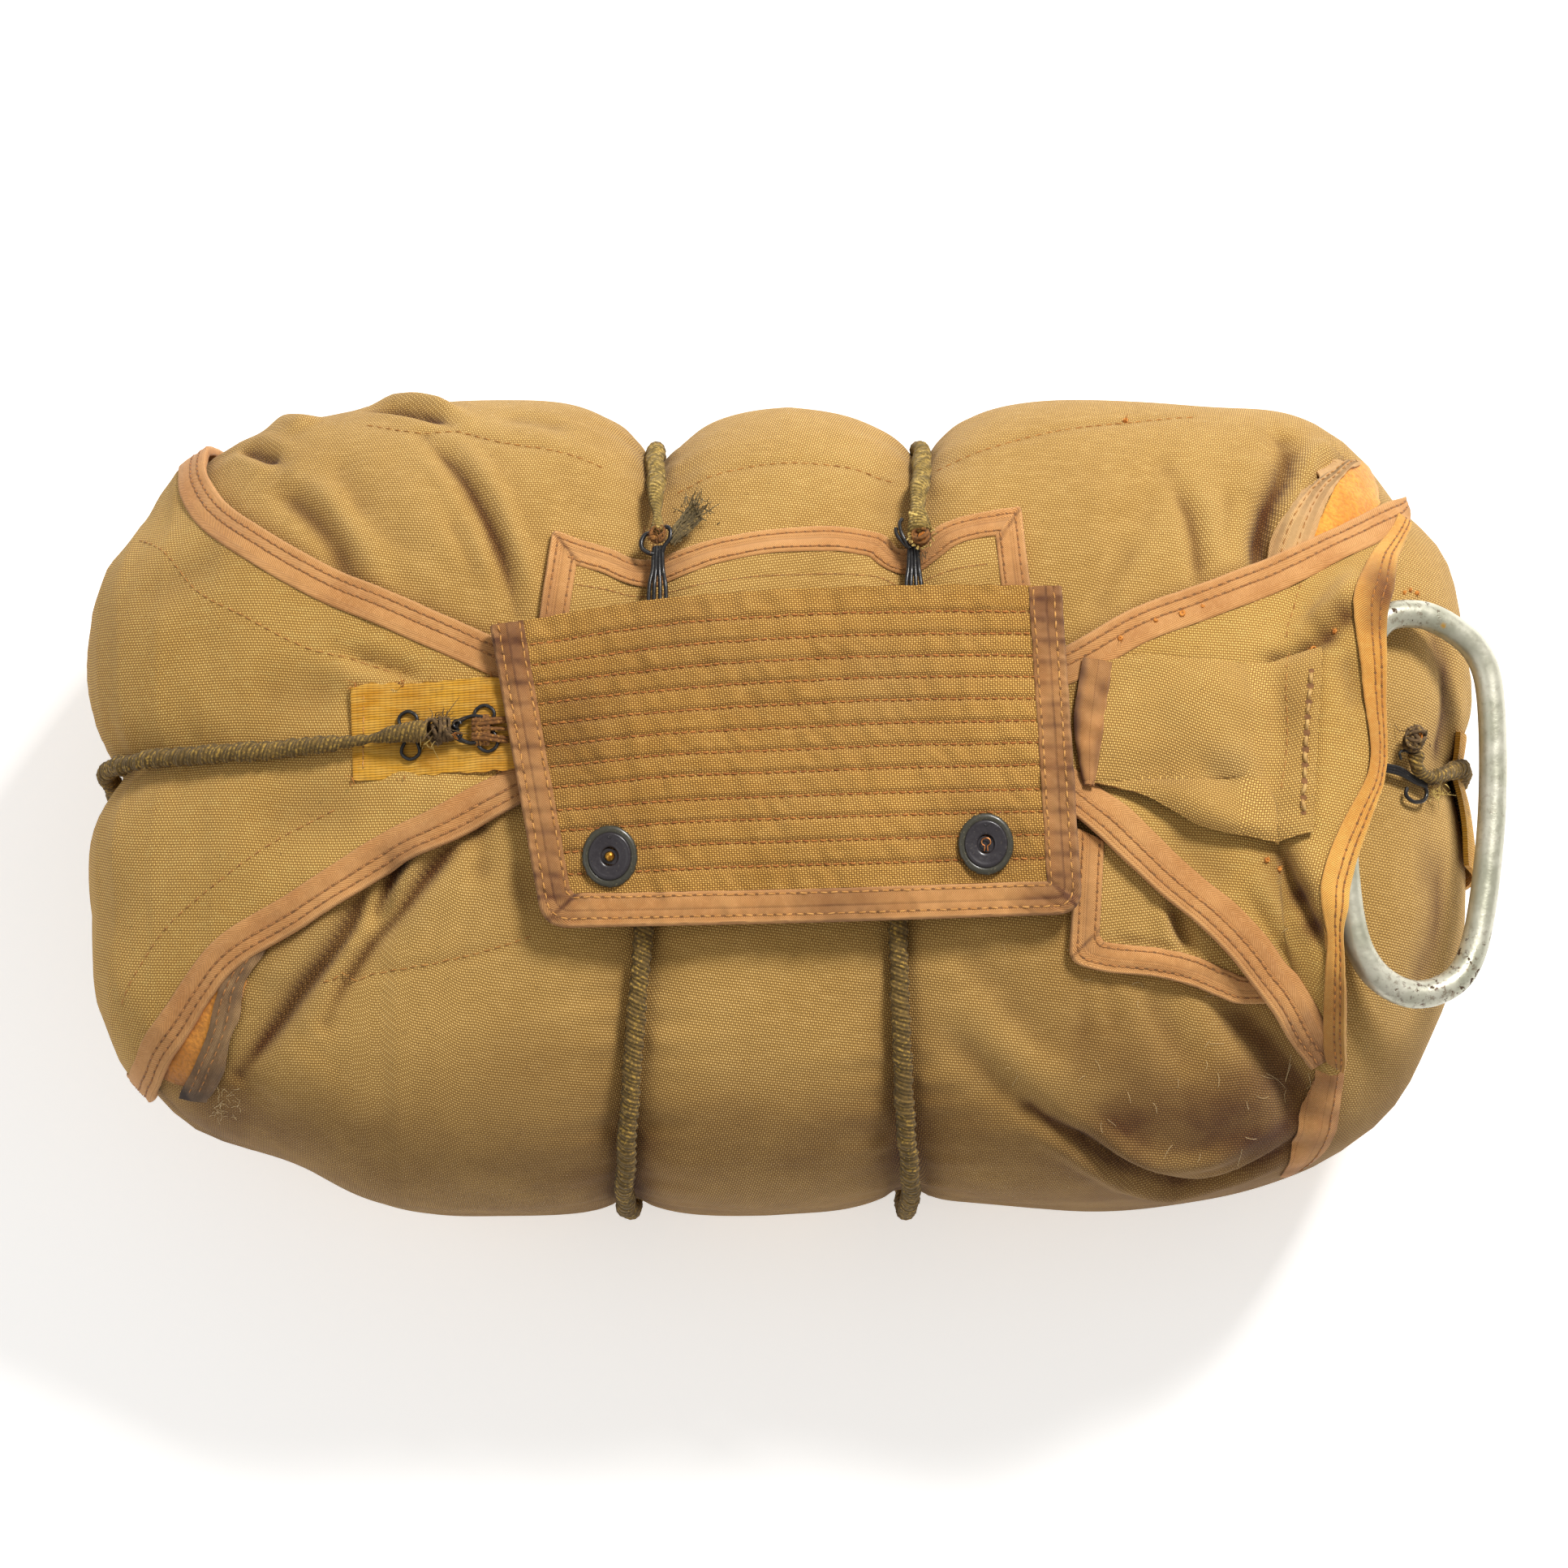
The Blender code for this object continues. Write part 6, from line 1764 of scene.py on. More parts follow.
def make_lower_tab(skin, folded, canvas, tape):
    """The corner of cloth below the protector, partly under the right flap."""
    sides = (
        edge(skin, LOWER_TAB_LEFT, 40), edge(skin, LOWER_TAB_RIGHT, 40), edge(skin, LOWER_TAB_BOTTOM, 90),
    )
    folds = (
        ("trough", 2.4, 2.6, ((111.5, -36), (113, -42), (116, -50))),
        ("ridge", 3.5, 1.6, ((107.5, -36), (109.5, -44), (112.5, -51))),
        ("ridge", 4.0, 1.0, ((96, -51), (108, -53), (120, -57))),
        ("trough", 2.2, 1.4, ((93, -47), (104, -48.5), (114, -50))),
    )
    make_tab("lower_tab", skin, folded, sides, (40, 90), folds, canvas, tape, 0.0042, seed=80)


QUILT_LINES = 190
QUILT_COLUMNS = 120
PUCKER_PITCH = 0.0060
PROTECTOR_STAINS = (
    (-60, 10, 16, 0.45), (-48, -22, 14, 0.4), (58, -20, 15, 0.45), (-30, 44, 20, 0.3), (40, 20, 22, 0.15),
)
PROTECTOR_TAPE_STAINS = (
    (-70, 36, 14, 0.5), (-64, -30, 12, 0.3), (80, 44, 12, 0.5), (84, -30, 12, 0.35), (18, -40, 14, 0.5),
    (84, 0, 14, 0.3),
)
PROTECTOR_MITRES = (((-64, -43), (-54.5, -34.5)), ((84, -39), (75, -30.5)))
# The stitched rows of the quilting, as shares of the way down the flap.
QUILT_ROWS = (0.078, 0.146, 0.212, 0.277, 0.346, 0.416, 0.484, 0.552, 0.627, 0.695, 0.765, 0.837)


def make_protector(skin, quilted, tape):
    """The quilted protector flap over the pins, bound on its two sides and its free edge."""
    bottom = edge(skin, PROTECTOR_BOTTOM, QUILT_COLUMNS)
    top_edge = edge(skin, PROTECTOR_TOP, QUILT_COLUMNS)
    plan = np.array(
        [[b + (t - b) * s for t, b in zip(top_edge, bottom)] for s in np.linspace(1, 0, QUILT_LINES)]
    )
    grid = np.array([[skin.above(*p[:2]) for p in row] for row in plan])
    cloth = Cloth(skin, grid)
    cloth.ground = np.zeros(grid.shape[:2])
    rows = np.linspace(0, 1, QUILT_LINES)[:, None]
    columns = np.linspace(0, 1, QUILT_COLUMNS)[None, :]
    inside = smoothstep(0.045, 0.065, columns) * smoothstep(0.955, 0.935, columns)
    drift = 0.0035 * waves(grid, 0.05, 91)
    dents = np.zeros(grid.shape[:2])
    for place in QUILT_ROWS:
        away = (rows - place + drift * 0.6) * 0.094
        dents = np.minimum(dents, -bell(away, 0.0009))
    puffs = 0.00050 * waves(grid, 0.0075, 92, (1.0, 0.35, 1.0)) + 0.0003 * waves(grid, 0.02, 93)
    cloth.height += 0.00075 * dents * (0.35 + 0.65 * inside) + puffs
    cloth.height += 0.0008 * waves(grid, 0.06, 94)
    slant = (grid[..., 0] + 0.6 * grid[..., 1]) / 0.0064
    ripples = np.sin(
        math.tau * slant + 2.5 * waves(grid, 0.02, 95)
    ) * np.clip(0.45 + waves(grid, 0.025, 96), 0.1, 1)
    cloth.height += 0.00032 * ripples * inside * (1 + dents)
    # Painted shade in the quilting's stitched dents and in the troughs of its ripples.
    cloth.dirt_and_shade += 0.20 * clamp(-dents) + 0.10 * clamp(-ripples) * inside
    cloth.dirt_and_shade += clamped_spots(grid, PROTECTOR_STAINS)
    cloth.rub += clamped_spots(grid, ((30, 22, 15, 0.5), (-8, 30, 22, 0.3), (10, -8, 18, 0.3)))
    outer, inner, normals = around_edge(cloth, PROTECTOR_TAPE_WIDTH, PROTECTOR_BASE, 0.0075, 480)
    top = inset(cloth, 0.0022, PROTECTOR_BASE) + cloth.normals * PROTECTOR_THICKNESS
    piece = sheet_mesh(
        "protector_quilting", top, PROTECTOR_THICKNESS, quilted, ["protector_flap"],
        cloth.looks()
    )

    def beside_quilting(rings):
        return smoothstep(0.058, 0.066, np.abs(rings[..., 0] - 0.005))

    def looks(rings):
        # Painted shade in the puckers of the tape beside the quilting.
        pucker_shade = 0.5 * clamp(np.cos(rings[..., 1] / PUCKER_PITCH * math.tau)) ** 2
        sides = beside_quilting(rings)
        marks = clamped_spots(rings, PROTECTOR_TAPE_STAINS) + 0.8 * mitres(rings, PROTECTOR_MITRES)
        return clamp(0.12 + 0.26 * sides + pucker_shade * sides * 0.7 + marks)

    def puckered(rings):
        pull = clamp(np.cos(rings[..., 1] / PUCKER_PITCH * math.tau + 6 * rings[..., 0] / 0.01)) ** 3
        return -0.00045 * pull * beside_quilting(rings) + 0.00025 * waves(rings, 0.004, 98)

    binding, tape_top = binding_mesh(
        "protector_binding_tape", outer, inner, normals, tape, ["protector_binding"],
        cloth=PROTECTOR_THICKNESS, roll=0.0016, looks=looks, seed=97, over=top, shape=puckered,
    )
    sew_binding(tape_top, rows=(3, 12), thread=THREAD_LIGHT, pitch=0.0029, radius=0.00024)
    facings, last = grid_normals(top), QUILT_LINES - 1
    for place in QUILT_ROWS:
        line, facing = [], []
        for k in range(5, QUILT_COLUMNS - 5):
            spot = np.clip((place - drift[int(place * last), k] * 0.6) * last, 0, last - 0.01)
            a, t = int(spot), spot - int(spot)
            line.append(top[a, k] * (1 - t) + top[a + 1, k] * t)
            facing.append(facings[a, k])
        stitch_row(
            THREAD_QUILT, None, np.array(line), np.array(facing),
            pitch=0.0024, share=0.76, radius=0.00025, rise=0.0004,
        )


# ---------------------------------------------------------------- bands, knots and wire

HOOK_TAB_ROWS = (
    # x and y on the upper edge, x and y on the lower edge, lift
    (-119, 24, -118, -2, 2.7), (-98, 25, -96, -1, 2.8), (-78, 26, -77, 0, 3.9), (-66, 26.5, -66, 0.5, 4.1),
)
END_WEBBING_Y = (-22, 19)
END_WEBBING_Z = (24, 108)
END_WEBBING_BASE = 0.0008
WEBBING_SPAN = 0.55

# The bands' ends on the face: x, y, lift of the centre line, radius.
END_BAND_LEFT = (
    (-96.5, 11.0, 8.2, 3.1), (-98, 11, 8.4, 3.2), (-103, 10.4, 8.6, 3.1), (-107, 9.7, 8.4, 2.7),
    (-110.5, 9.0, 8.0, 1.5), (-114, 8.6, 7.6, 1.4), (-118, 8.2, 7.3, 1.8), (-127, 7.4, 6.8, 2.4),
    (-138, 7, 6.0, 2.7),
)
END_BAND_RIGHT = ((187, 3, 4.6, 2.1), (183, 1.5, 4.8, 1.9), (179, 4, 5.4, 2.0), (178, 8.5, 6.0, 2.4))
CROSS_TOP = {
    "left": (
        (-34.5, 82, 2.4, 2.4), (-34.2, 76, 4.0, 1.9), (-34, 72.5, 5.2, 1.15), (-33.8, 69.5, 6.2, 1.5),
        (-33.6, 66, 7.2, 2.4),
    ),
    "right": (
        (41, 82, 3.2, 2.7), (40.2, 77, 4.6, 2.2), (40, 73, 6.2, 2.0), (40.4, 70.5, 7.0, 2.7),
        (41, 66, 7.8, 3.4),
    ),
}
CROSS_BAND_START_Y = -24
CROSS_BAND_STEP = 0.00036
END_BAND_STEP = 0.00040
END_BAND_STARTS = {"left": -0.145, "right": 0.194}
CONE_END_X = -0.1105
FRAYED_TAIL = (
    (-29.4, 63.5, 6.2, 1.5), (-27.6, 66, 6.2, 2.0), (-25.4, 69, 5.4, 2.3), (-23.2, 72, 5.0, 2.7),
    (-21.8, 74, 4.8, 3.0),
)
WIRE_RADIUS = 0.00052


def cross_band_line(side, angles):
    """A cross band's centre line, in its groove."""
    x = np.full_like(angles, cross_line(side, SPINE_Y, SPINE_Z + CROWN_RISE))
    for _ in range(3):
        plain = base_point(x, angles)
        x = cross_line(side, plain[:, 1], plain[:, 2])
    tangent = base_point(x, angles + 0.01) - base_point(x, angles - 0.01)
    normal = unit(np.cross(tangent, np.array([1.0, 0.0, 0.0])))
    inward = np.sum(normal * (plain - spine_point(plain)), axis=1) < 0
    normal[inward] *= -1
    normal[plain[:, 2] < 1e-6] = (0.0, 0.0, -1.0)
    sunk = cross_depth(plain[:, 1], plain[:, 2]) + lobe_drop(plain[:, 0], plain[:, 1])
    return plain + normal * (BAND_RADIUS + BAND_GAP - sunk)[:, None]


def ended(skin, rows):
    """Route points and radii of a band's end on the face."""
    points = np.array([skin.lifted(*row[:3]) for row in rows])
    return points, np.array([row[3] for row in rows]) * MM


def spliced(parts, step):
    """One smooth route and its radii from several (points, radii) parts."""
    points = np.concatenate([p for p, _ in parts])
    radii = np.concatenate([np.broadcast_to(r, len(p)) for p, r in parts])
    joined = np.concatenate([points, radii[:, None]], axis=1)
    count = int(path_lengths(points)[-1] / step)
    return smooth_path(joined, count)


def flexed(route, seed, sideways=0.0004):
    """A cord's route with the small wanderings of a stretched band."""
    return route + sideways * waves(route, 0.02, seed)[:, None] * np.array([1.0, 1.0, 0.0])


def make_cross_band(skin, side, finish, top_finish, seed):
    """A band round the pack, from under the protector over the back to its knot on the face."""
    angles = pack_angles(240)
    down = cross_band_line(side, angles[angles > math.pi * 0.5])
    down = down[down[:, 1] < CROSS_BAND_START_Y * MM]
    rising = cross_band_line(side, angles[angles < math.pi * 0.5])
    rising = rising[: int(np.argmax((rising[:, 2] > 0.09) & (rising[:, 1] < 0.086)))]
    route = spliced(
        [(down, BAND_RADIUS), (rising, BAND_RADIUS), ended(skin, CROSS_TOP[side])], CROSS_BAND_STEP,
    )
    centre, radii = flexed(route[:, :3], seed), route[:, 3]
    radii = radii * (1.0 + 0.07 * waves(centre, 0.007, seed + 1))
    split = int(np.argmax((centre[:, 1] > 0.05) & (centre[:, 2] > 0.10)))
    add_cord(
        f"cross_band_{side}_cord", centre[: split + 2], radii[: split + 2], finish,
        [f"cross_band_{side}"], columns=12, pitch=0.0036, ridge=0.11, lobes=2,
    )
    add_cord(
        f"cross_band_{side}_end", centre[split:], radii[split:], top_finish,
        columns=14, pitch=0.00105, ridge=0.07,
    )


def end_band_line(stations, rise):
    """The end band's centre line on the left end, the back and the right end."""

    def along(x, angle, lift):
        plain = base_point(x, np.full_like(x, angle))
        sunk = displacement(plain, 0.0)
        ahead, behind = np.minimum(x + 0.001, HALF_LENGTH), np.maximum(x - 0.001, -HALF_LENGTH)
        tangent = base_point(ahead, np.full_like(x, angle)) - base_point(behind, np.full_like(x, angle))
        normal = unit(np.stack([-tangent[:, 2], np.zeros(len(x)), tangent[:, 0]], axis=-1))
        normal = normal * math.copysign(1, math.sin(angle))
        normal[plain[:, 2] < 1e-6] = (0.0, 0.0, -1.0)
        return plain + normal * (sunk + BAND_RADIUS + lift)[:, None]

    top, bottom = math.pi / 2, -math.pi / 2
    left_tip, right_tip = pole_points()
    left = along(stations[stations < END_BAND_STARTS["left"]][::-1], top, rise["left"])
    lift = BAND_GAP + (rise["left"] - BAND_GAP) * smoothstep(-0.165, -0.180, stations)
    lift = lift + (rise["right"] - BAND_GAP) * smoothstep(0.165, 0.180, stations)
    back = along(stations, bottom, lift)
    right = along(stations[stations > END_BAND_STARTS["right"]][::-1], top, rise["right"])
    tips = [
        left_tip - np.array([BAND_RADIUS + rise["left"], 0, 0]),
        right_tip + np.array([BAND_RADIUS + rise["right"], 0, 0]),
    ]
    return left, tips, back, right


def make_end_band(skin, finish):
    """The band over both ends and the back, between the left and the right hooks."""
    rise = {
        "left": CLOTH_BASE + CLOTH + LEFT_FLAP_SLACK + 2 * BAND_GAP,
        "right": END_WEBBING_BASE + WEBBING + BAND_GAP,
    }
    left, tips, back, right = end_band_line(coarse_stations(80), rise)
    plain = BAND_RADIUS * 1.04
    parts = [
        ended(skin, END_BAND_LEFT), (left, plain), (tips[0][None], plain), (back, BAND_RADIUS),
        (tips[1][None], plain), (right, plain), ended(skin, END_BAND_RIGHT),
    ]
    route = spliced(parts, END_BAND_STEP)
    centre, radii = flexed(route[:, :3], 121, 0.0005), route[:, 3]
    radii = radii * (0.96 + 0.13 * waves(centre, 0.007, 122))
    cone = int(np.argmax(centre[:, 0] < CONE_END_X))
    add_cord(
        "end_band_cone", centre[: cone + 2], radii[: cone + 2], finish, columns=16, pitch=0.0010, ridge=0.07,
    )
    add_cord(
        "end_band_cord", centre[cone:], radii[cone:], finish, ["end_band"],
        columns=12, pitch=0.0042, ridge=0.13, lobes=2,
    )


def tuft(batch, root, way, count, length, spread, radius, rng, curl=0.5):
    """Frayed fibres springing from a place, with their length, spread and radius in mm."""
    way = unit(np.asarray(way, dtype=float))
    length, spread, radius = length * MM, spread * MM, radius * MM
    for _ in range(count):
        start = root + rng.normal(size=3) * spread * 0.5
        lean = unit(way + rng.normal(size=3) * curl)
        bend = rng.normal(size=3) * curl * 0.7
        reach = length * rng.uniform(0.35, 1.0)
        t = np.linspace(0, 1, 5)[:, None]
        route = start + reach * (lean * t + bend * t**2)
        batch.tube(route, radius * np.array([1.0, 1.0, 0.9, 0.7, 0.35]) * rng.uniform(0.6, 1.3), columns=4)


def wrapped_lump(batch, centre, axis, radius, depth, turns, thread, rng, squeeze=1.0):
    """A knot: threads wound round a place, unevenly, with its radius, depth and thread in mm."""
    axis = unit(np.asarray(axis, dtype=float))
    radius, depth, thread = radius * MM, depth * MM, thread * MM
    side = unit(np.cross(axis, (0.31, 0.7, 0.2)))
    other = np.cross(axis, side)
    for k in range(turns):
        tilt = unit(axis + 0.45 * rng.normal(size=3))
        a = unit(np.cross(tilt, side))
        b = np.cross(tilt, a)
        shift = axis * depth * (k / max(turns - 1, 1) - 0.5) + other * rng.uniform(-0.2, 0.2) * radius
        angles = np.linspace(0, math.tau, 15)[:-1]
        reach = radius * rng.uniform(0.78, 1.05) * (1 + 0.10 * np.sin(2 * angles + k))
        around = np.cos(angles)[:, None] * a + squeeze * np.sin(angles)[:, None] * b
        ring = centre + shift + reach[:, None] * around
        rings = cord_rings(ring, thread * rng.uniform(0.8, 1.25), 6, closed=True)
        batch.take(*tube_mesh(rings, closed=True))


def wire(batch, route, radius=WIRE_RADIUS, closed=False, columns=10):
    """A length of round wire."""
    batch.take(*tube_mesh(cord_rings(np.asarray(route), radius, columns, closed), closed))


def face_route(skin, places, count, lift=None):
    """A route above the face from x, y and lift in mm."""
    rows = np.array([(*place, lift) if lift is not None else place for place in places], dtype=float)
    return smooth_path([skin.lifted(*row) for row in rows], count)


def ring_route(skin, x, y, start, end):
    """Part of a small ring lying over the left hook, in mm and degrees."""
    angles = np.radians(np.linspace(start, end, 20))
    return np.array([skin.lifted(x + math.cos(a), y + math.sin(a), HOOK_RING_LIFT) for a in angles])


def eye_outline(places, radius):
    """A waisted loop round two places: the outline of a sewn wire eye."""
    (x0, y0), (x1, y1) = places
    r, waist = radius, 0.45 * radius
    middle = (y0 + y1) / 2
    left = (
        (x0, y0 + r), (x0 - 0.8 * r, y0 + 0.6 * r), (x0 - r, y0 - 0.1 * r), (x0 - waist, middle + 0.4),
        (x1 - waist, middle - 0.4), (x1 - r, y1 + 0.1 * r), (x1 - 0.8 * r, y1 - 0.6 * r), (x1, y1 - r),
    )
    right = (
        (x1 + 0.8 * r, y1 - 0.6 * r), (x1 + r, y1 + 0.1 * r), (x1 + waist, middle - 0.4),
        (x0 + waist, middle + 0.4), (x0 + r, y0 - 0.1 * r), (x0 + 0.8 * r, y0 + 0.6 * r),
    )
    return left + right


def make_eye(name, skin, places, radius, lift, finish, node):
    """A sewn wire eye: one closed loop of wire."""
    batch = Batch()
    plan = closed_path(np.array(eye_outline(places, radius)), 72)
    route = np.array([skin.lifted(x, y, lift) for x, y in plan])
    wire(batch, route, closed=True)
    batch.piece(name, finish, "black_lacquer", [node])


HOOK_RING_LIFT = 7.6
# The cross bands' hooks: x, y, lift, and how far their wires spread.
CROSS_HOOKS = {"left": (-33.2, 61.2, 4.9, 1.35), "right": (38.8, 62.0, 4.0, 1.2)}
# Curls of loose wire beside the hooks: thickness over the plain wire, points along it, and x, y, lift.
HOOK_CURLS = {
    "left": (
        (1.3, 30, (
            (-34.6, 60.6, 6.0), (-36.4, 60.9, 6.2), (-38.3, 62.2, 6.2), (-38.6, 64.2, 6.2),
            (-37.6, 65.8, 6.4),
            (-36.2, 66.2, 6.6),
        )),
        (1.2, 30, (
            (-31.8, 61.0, 6.2), (-31.0, 62.6, 7.0), (-29.4, 64.4, 7.6), (-29.4, 66.6, 7.8),
            (-30.8, 67.4, 7.8),
            (-32.0, 66.9, 7.4),
        )),
    ),
    "right": (
        (
            1.1, 24,
            ((37.6, 62.2, 6.0), (36.2, 64.2, 6.4), (34.8, 66.6, 6.6), (34.4, 69.0, 6.4), (35.2, 70.4, 6.2)),
        ),
        (1.1, 24, ((37.0, 62.6, 5.4), (35.2, 64.4, 5.6), (33.6, 66.4, 5.6), (33.4, 68.2, 5.4))),
    ),
    "end": (
        (1.15, 30, (
            (182.6, -0.6, 3.6), (183.4, -2.8, 3.4), (182.4, -4.8, 3.0), (179.6, -5.2, 2.6),
            (177.6, -3.6, 2.4),
            (177.8, -1.4, 2.6),
        )),
        (
            0.8, 24,
            ((180.5, 3.0, 4.6), (178.6, 6.4, 4.8), (176.6, 8.6, 4.6), (175.0, 8.2, 4.2), (175.4, 6.2, 4.0)),
        ),
    ),
}


def add_curls(batch, skin, side):
    """The curls of loose wire beside a hook."""
    for scale, count, places in HOOK_CURLS[side]:
        wire(batch, face_route(skin, places, count), WIRE_RADIUS * scale)


def make_wires(skin, lacquer):
    """The sewn eyes on the hook tab, and the doubled wire hooks at the four knots."""
    make_eye("sewn_eye_outer", skin, ((-102.6, 14.3), (-101.8, 5.8)), 2.5, 5.0, lacquer, "hook_eye_outer")
    make_eye("sewn_eye_inner", skin, ((-81.2, 15.4), (-80.2, 7.8)), 2.7, 6.0, lacquer, "hook_eye_inner")

    left = Batch()
    for shift in (-0.45, 0.75):
        plan = (
            (-81.5, 14.6), (-84.5, 15.0), (-88.3 + shift, 13.6), (-89.6 + shift, 11.3), (-88.6 + shift, 8.9),
            (-84.8, 7.4), (-81.6, 8.4),
        )
        wire(left, face_route(skin, plan, 40, lift=6.6 + 0.5 * shift))
    wire(left, ring_route(skin, -88.6, 12.6, 0, 300))
    wire(left, ring_route(skin, -88.4, 9.8, 60, 360))
    left.piece("left_end_hook_wire", lacquer, "black_lacquer", ["left_end_hook"])

    for side, (x, y, lift, flare) in CROSS_HOOKS.items():
        hook = Batch()
        for k, across in enumerate((-1.9, -0.75, 0.55, 1.8)):
            plan = (
                (x + across * 0.7, y + 1.5, lift + 1.6),
                (x + across * 0.8, y - 1.5, lift + 0.8 + 0.25 * (k % 2)),
                (x + across * 0.9, y - 5, lift + 0.3),
                (x + across * flare, y - 9, lift + 0.3 + 0.2 * (k % 2)),
                (x + across * flare * 1.1, y - 14, lift),
            )
            wire(hook, face_route(skin, plan, 30), WIRE_RADIUS * 1.15)
        add_curls(hook, skin, side)
        hook.piece(f"cross_hook_{side}_wire", lacquer, "black_lacquer", [f"cross_hook_{side}"])

    right = Batch()
    for shift in (-0.7, 0.1, 0.9):
        plan = (
            (171.0, 3.6 + shift, 3.4), (175.5, 2.8 + shift, 3.3), (179.5, 0.8 + shift * 0.8, 3.2),
            (183.0, -0.6 + shift * 0.5, 3.6),
        )
        wire(right, face_route(skin, plan, 24), WIRE_RADIUS * 1.15)
    add_curls(right, skin, "end")
    right.piece("right_end_hook_wire", lacquer, "black_lacquer", ["right_end_hook"])


def make_knots(skin):
    """The frayed knots and tufts where the bands end."""
    rng = np.random.default_rng(77)
    dark, gold, brown, rust = Batch(), Batch(), Batch(), Batch()
    # left end: the cone's frayed end, and the brown lashing of the inner eye
    spot = skin.lifted(-93.2, 11.2, 7.6)
    wrapped_lump(dark, spot, (1, 0.1, 0), 3.3, 4.4, 13, 0.55, rng)
    tuft(dark, spot, (0.2, 0.8, 0.3), 70, 4.4, 3.4, 0.14, rng, 0.9)
    tuft(gold, spot + np.array([-0.003, -0.002, 0]), (-0.2, -1.0, 0.2), 14, 5.0, 2.2, 0.12, rng, 0.5)
    tuft(rust, skin.lifted(-89.4, 9.4, 8.4), (0.6, -0.2, 0.6), 6, 1.8, 0.6, 0.35, rng, 0.4)
    for x in (-83.2, -82.2, -81.2, -80.2):
        plan = ((x - 0.3, 15.2, 6.3), (x, 13.4, 7.3), (x + 0.2, 11, 7.5), (x + 0.2, 8.6, 7.3), (x, 7.0, 6.3))
        route = face_route(skin, plan, 16)
        brown.take(*tube_mesh(cord_rings(route, 0.62 * MM, 8, pitch=0.0012, ridge=0.12)))
    for y, end in ((13.6, 14.4), (12.6, 13.6), (9.6, 8.8), (8.6, 7.8), (11.2, 11.4)):
        plan = ((-84.4, y, 7.1), (-81.6, y, 8.0), (-78.4, (y + end) / 2, 7.2), (-74.6, end, 5.9))
        radii = 0.66 * MM * np.linspace(1.1, 0.7, 16)
        brown.take(*tube_mesh(cord_rings(face_route(skin, plan, 16), radii, 8, pitch=0.0012, ridge=0.12)))
    # left cross band: cut knot and the frayed tail
    spot = skin.lifted(-33.6, 65.4, 7.4)
    wrapped_lump(brown, spot, (0, 0.3, 1), 2.4, 1.6, 9, 0.45, rng)
    tuft(brown, spot, (0, 0.2, 1), 60, 1.9, 2.6, 0.16, rng, 0.8)
    tuft(gold, skin.lifted(-33.8, 69.0, 7.2), (0.1, 0.2, 1), 10, 1.6, 1.2, 0.18, rng, 1.2)
    # right cross band: gold collar round a cut rubber core
    spot = skin.lifted(41.2, 65.0, 8.0)
    wrapped_lump(brown, spot, (0, 0.25, 1), 2.6, 1.8, 8, 0.5, rng)
    wrapped_lump(rust, spot + np.array([0.0004, -0.0006, 0.0014]), (0, 0, 1), 1.1, 0.5, 4, 0.4, rng)
    for k in range(17):
        a = math.tau * k / 17
        root = spot + np.array([math.cos(a) * 3.3, math.sin(a) * 3.5, 0.4]) * MM
        tuft(gold, root, (math.cos(a) * 0.4, math.sin(a) * 0.4, 1.0), 3, 1.4, 0.5, 0.34, rng, 0.35)
    wrapped_lump(gold, skin.lifted(40.4, 70.2, 7.2), (0, 1, 0.1), 2.4, 2.6, 6, 0.42, rng)
    tuft(dark, skin.lifted(41.4, 60.6, 7.0), (0.3, -1, 0.1), 10, 2.4, 1.4, 0.14, rng, 0.5)
    # right end: the coiled knot above the hook and the tuft beside it
    spot = skin.lifted(177.4, 12.2, 6.6)
    wrapped_lump(dark, spot, (0.2, 0.3, 1), 3.3, 2.2, 12, 0.62, rng, 0.8)
    wrapped_lump(rust, spot + np.array([0.0003, 0.0004, 0.0016]), (0.2, 0.3, 1), 1.7, 0.7, 2, 0.3, rng)
    tuft(dark, spot, (0, 0.1, 1), 40, 1.7, 3.4, 0.16, rng, 0.9)
    tuft(gold, skin.lifted(186, -1.5, 3.0), (0.4, -0.3, 0.6), 46, 3.0, 3.0, 0.13, rng, 0.9)
    tuft(dark, skin.lifted(183.5, 0.5, 3.0), (0.4, -0.3, 0.6), 26, 2.4, 1.8, 0.16, rng, 0.9)
    for batch, name, finish in (
        (dark, "dark_knot_fibres", ("soiled_cotton", (112, 88, 58), (160, 128, 72), 0.60)),
        (gold, "gold_knot_fibres", ("gold_cotton", (196, 164, 92), (236, 208, 120), 0.50)),
        (brown, "brown_knot_fibres", ("brown_cotton", (142, 92, 44), (176, 124, 60), 0.60)),
        (rust, "rubber_cores", ("rubber_core", (196, 116, 36), (230, 160, 60), 0.60)),
    ):
        batch.piece(name, elastic_finish(*finish), "elastic_band")
    make_tail(skin, rng)


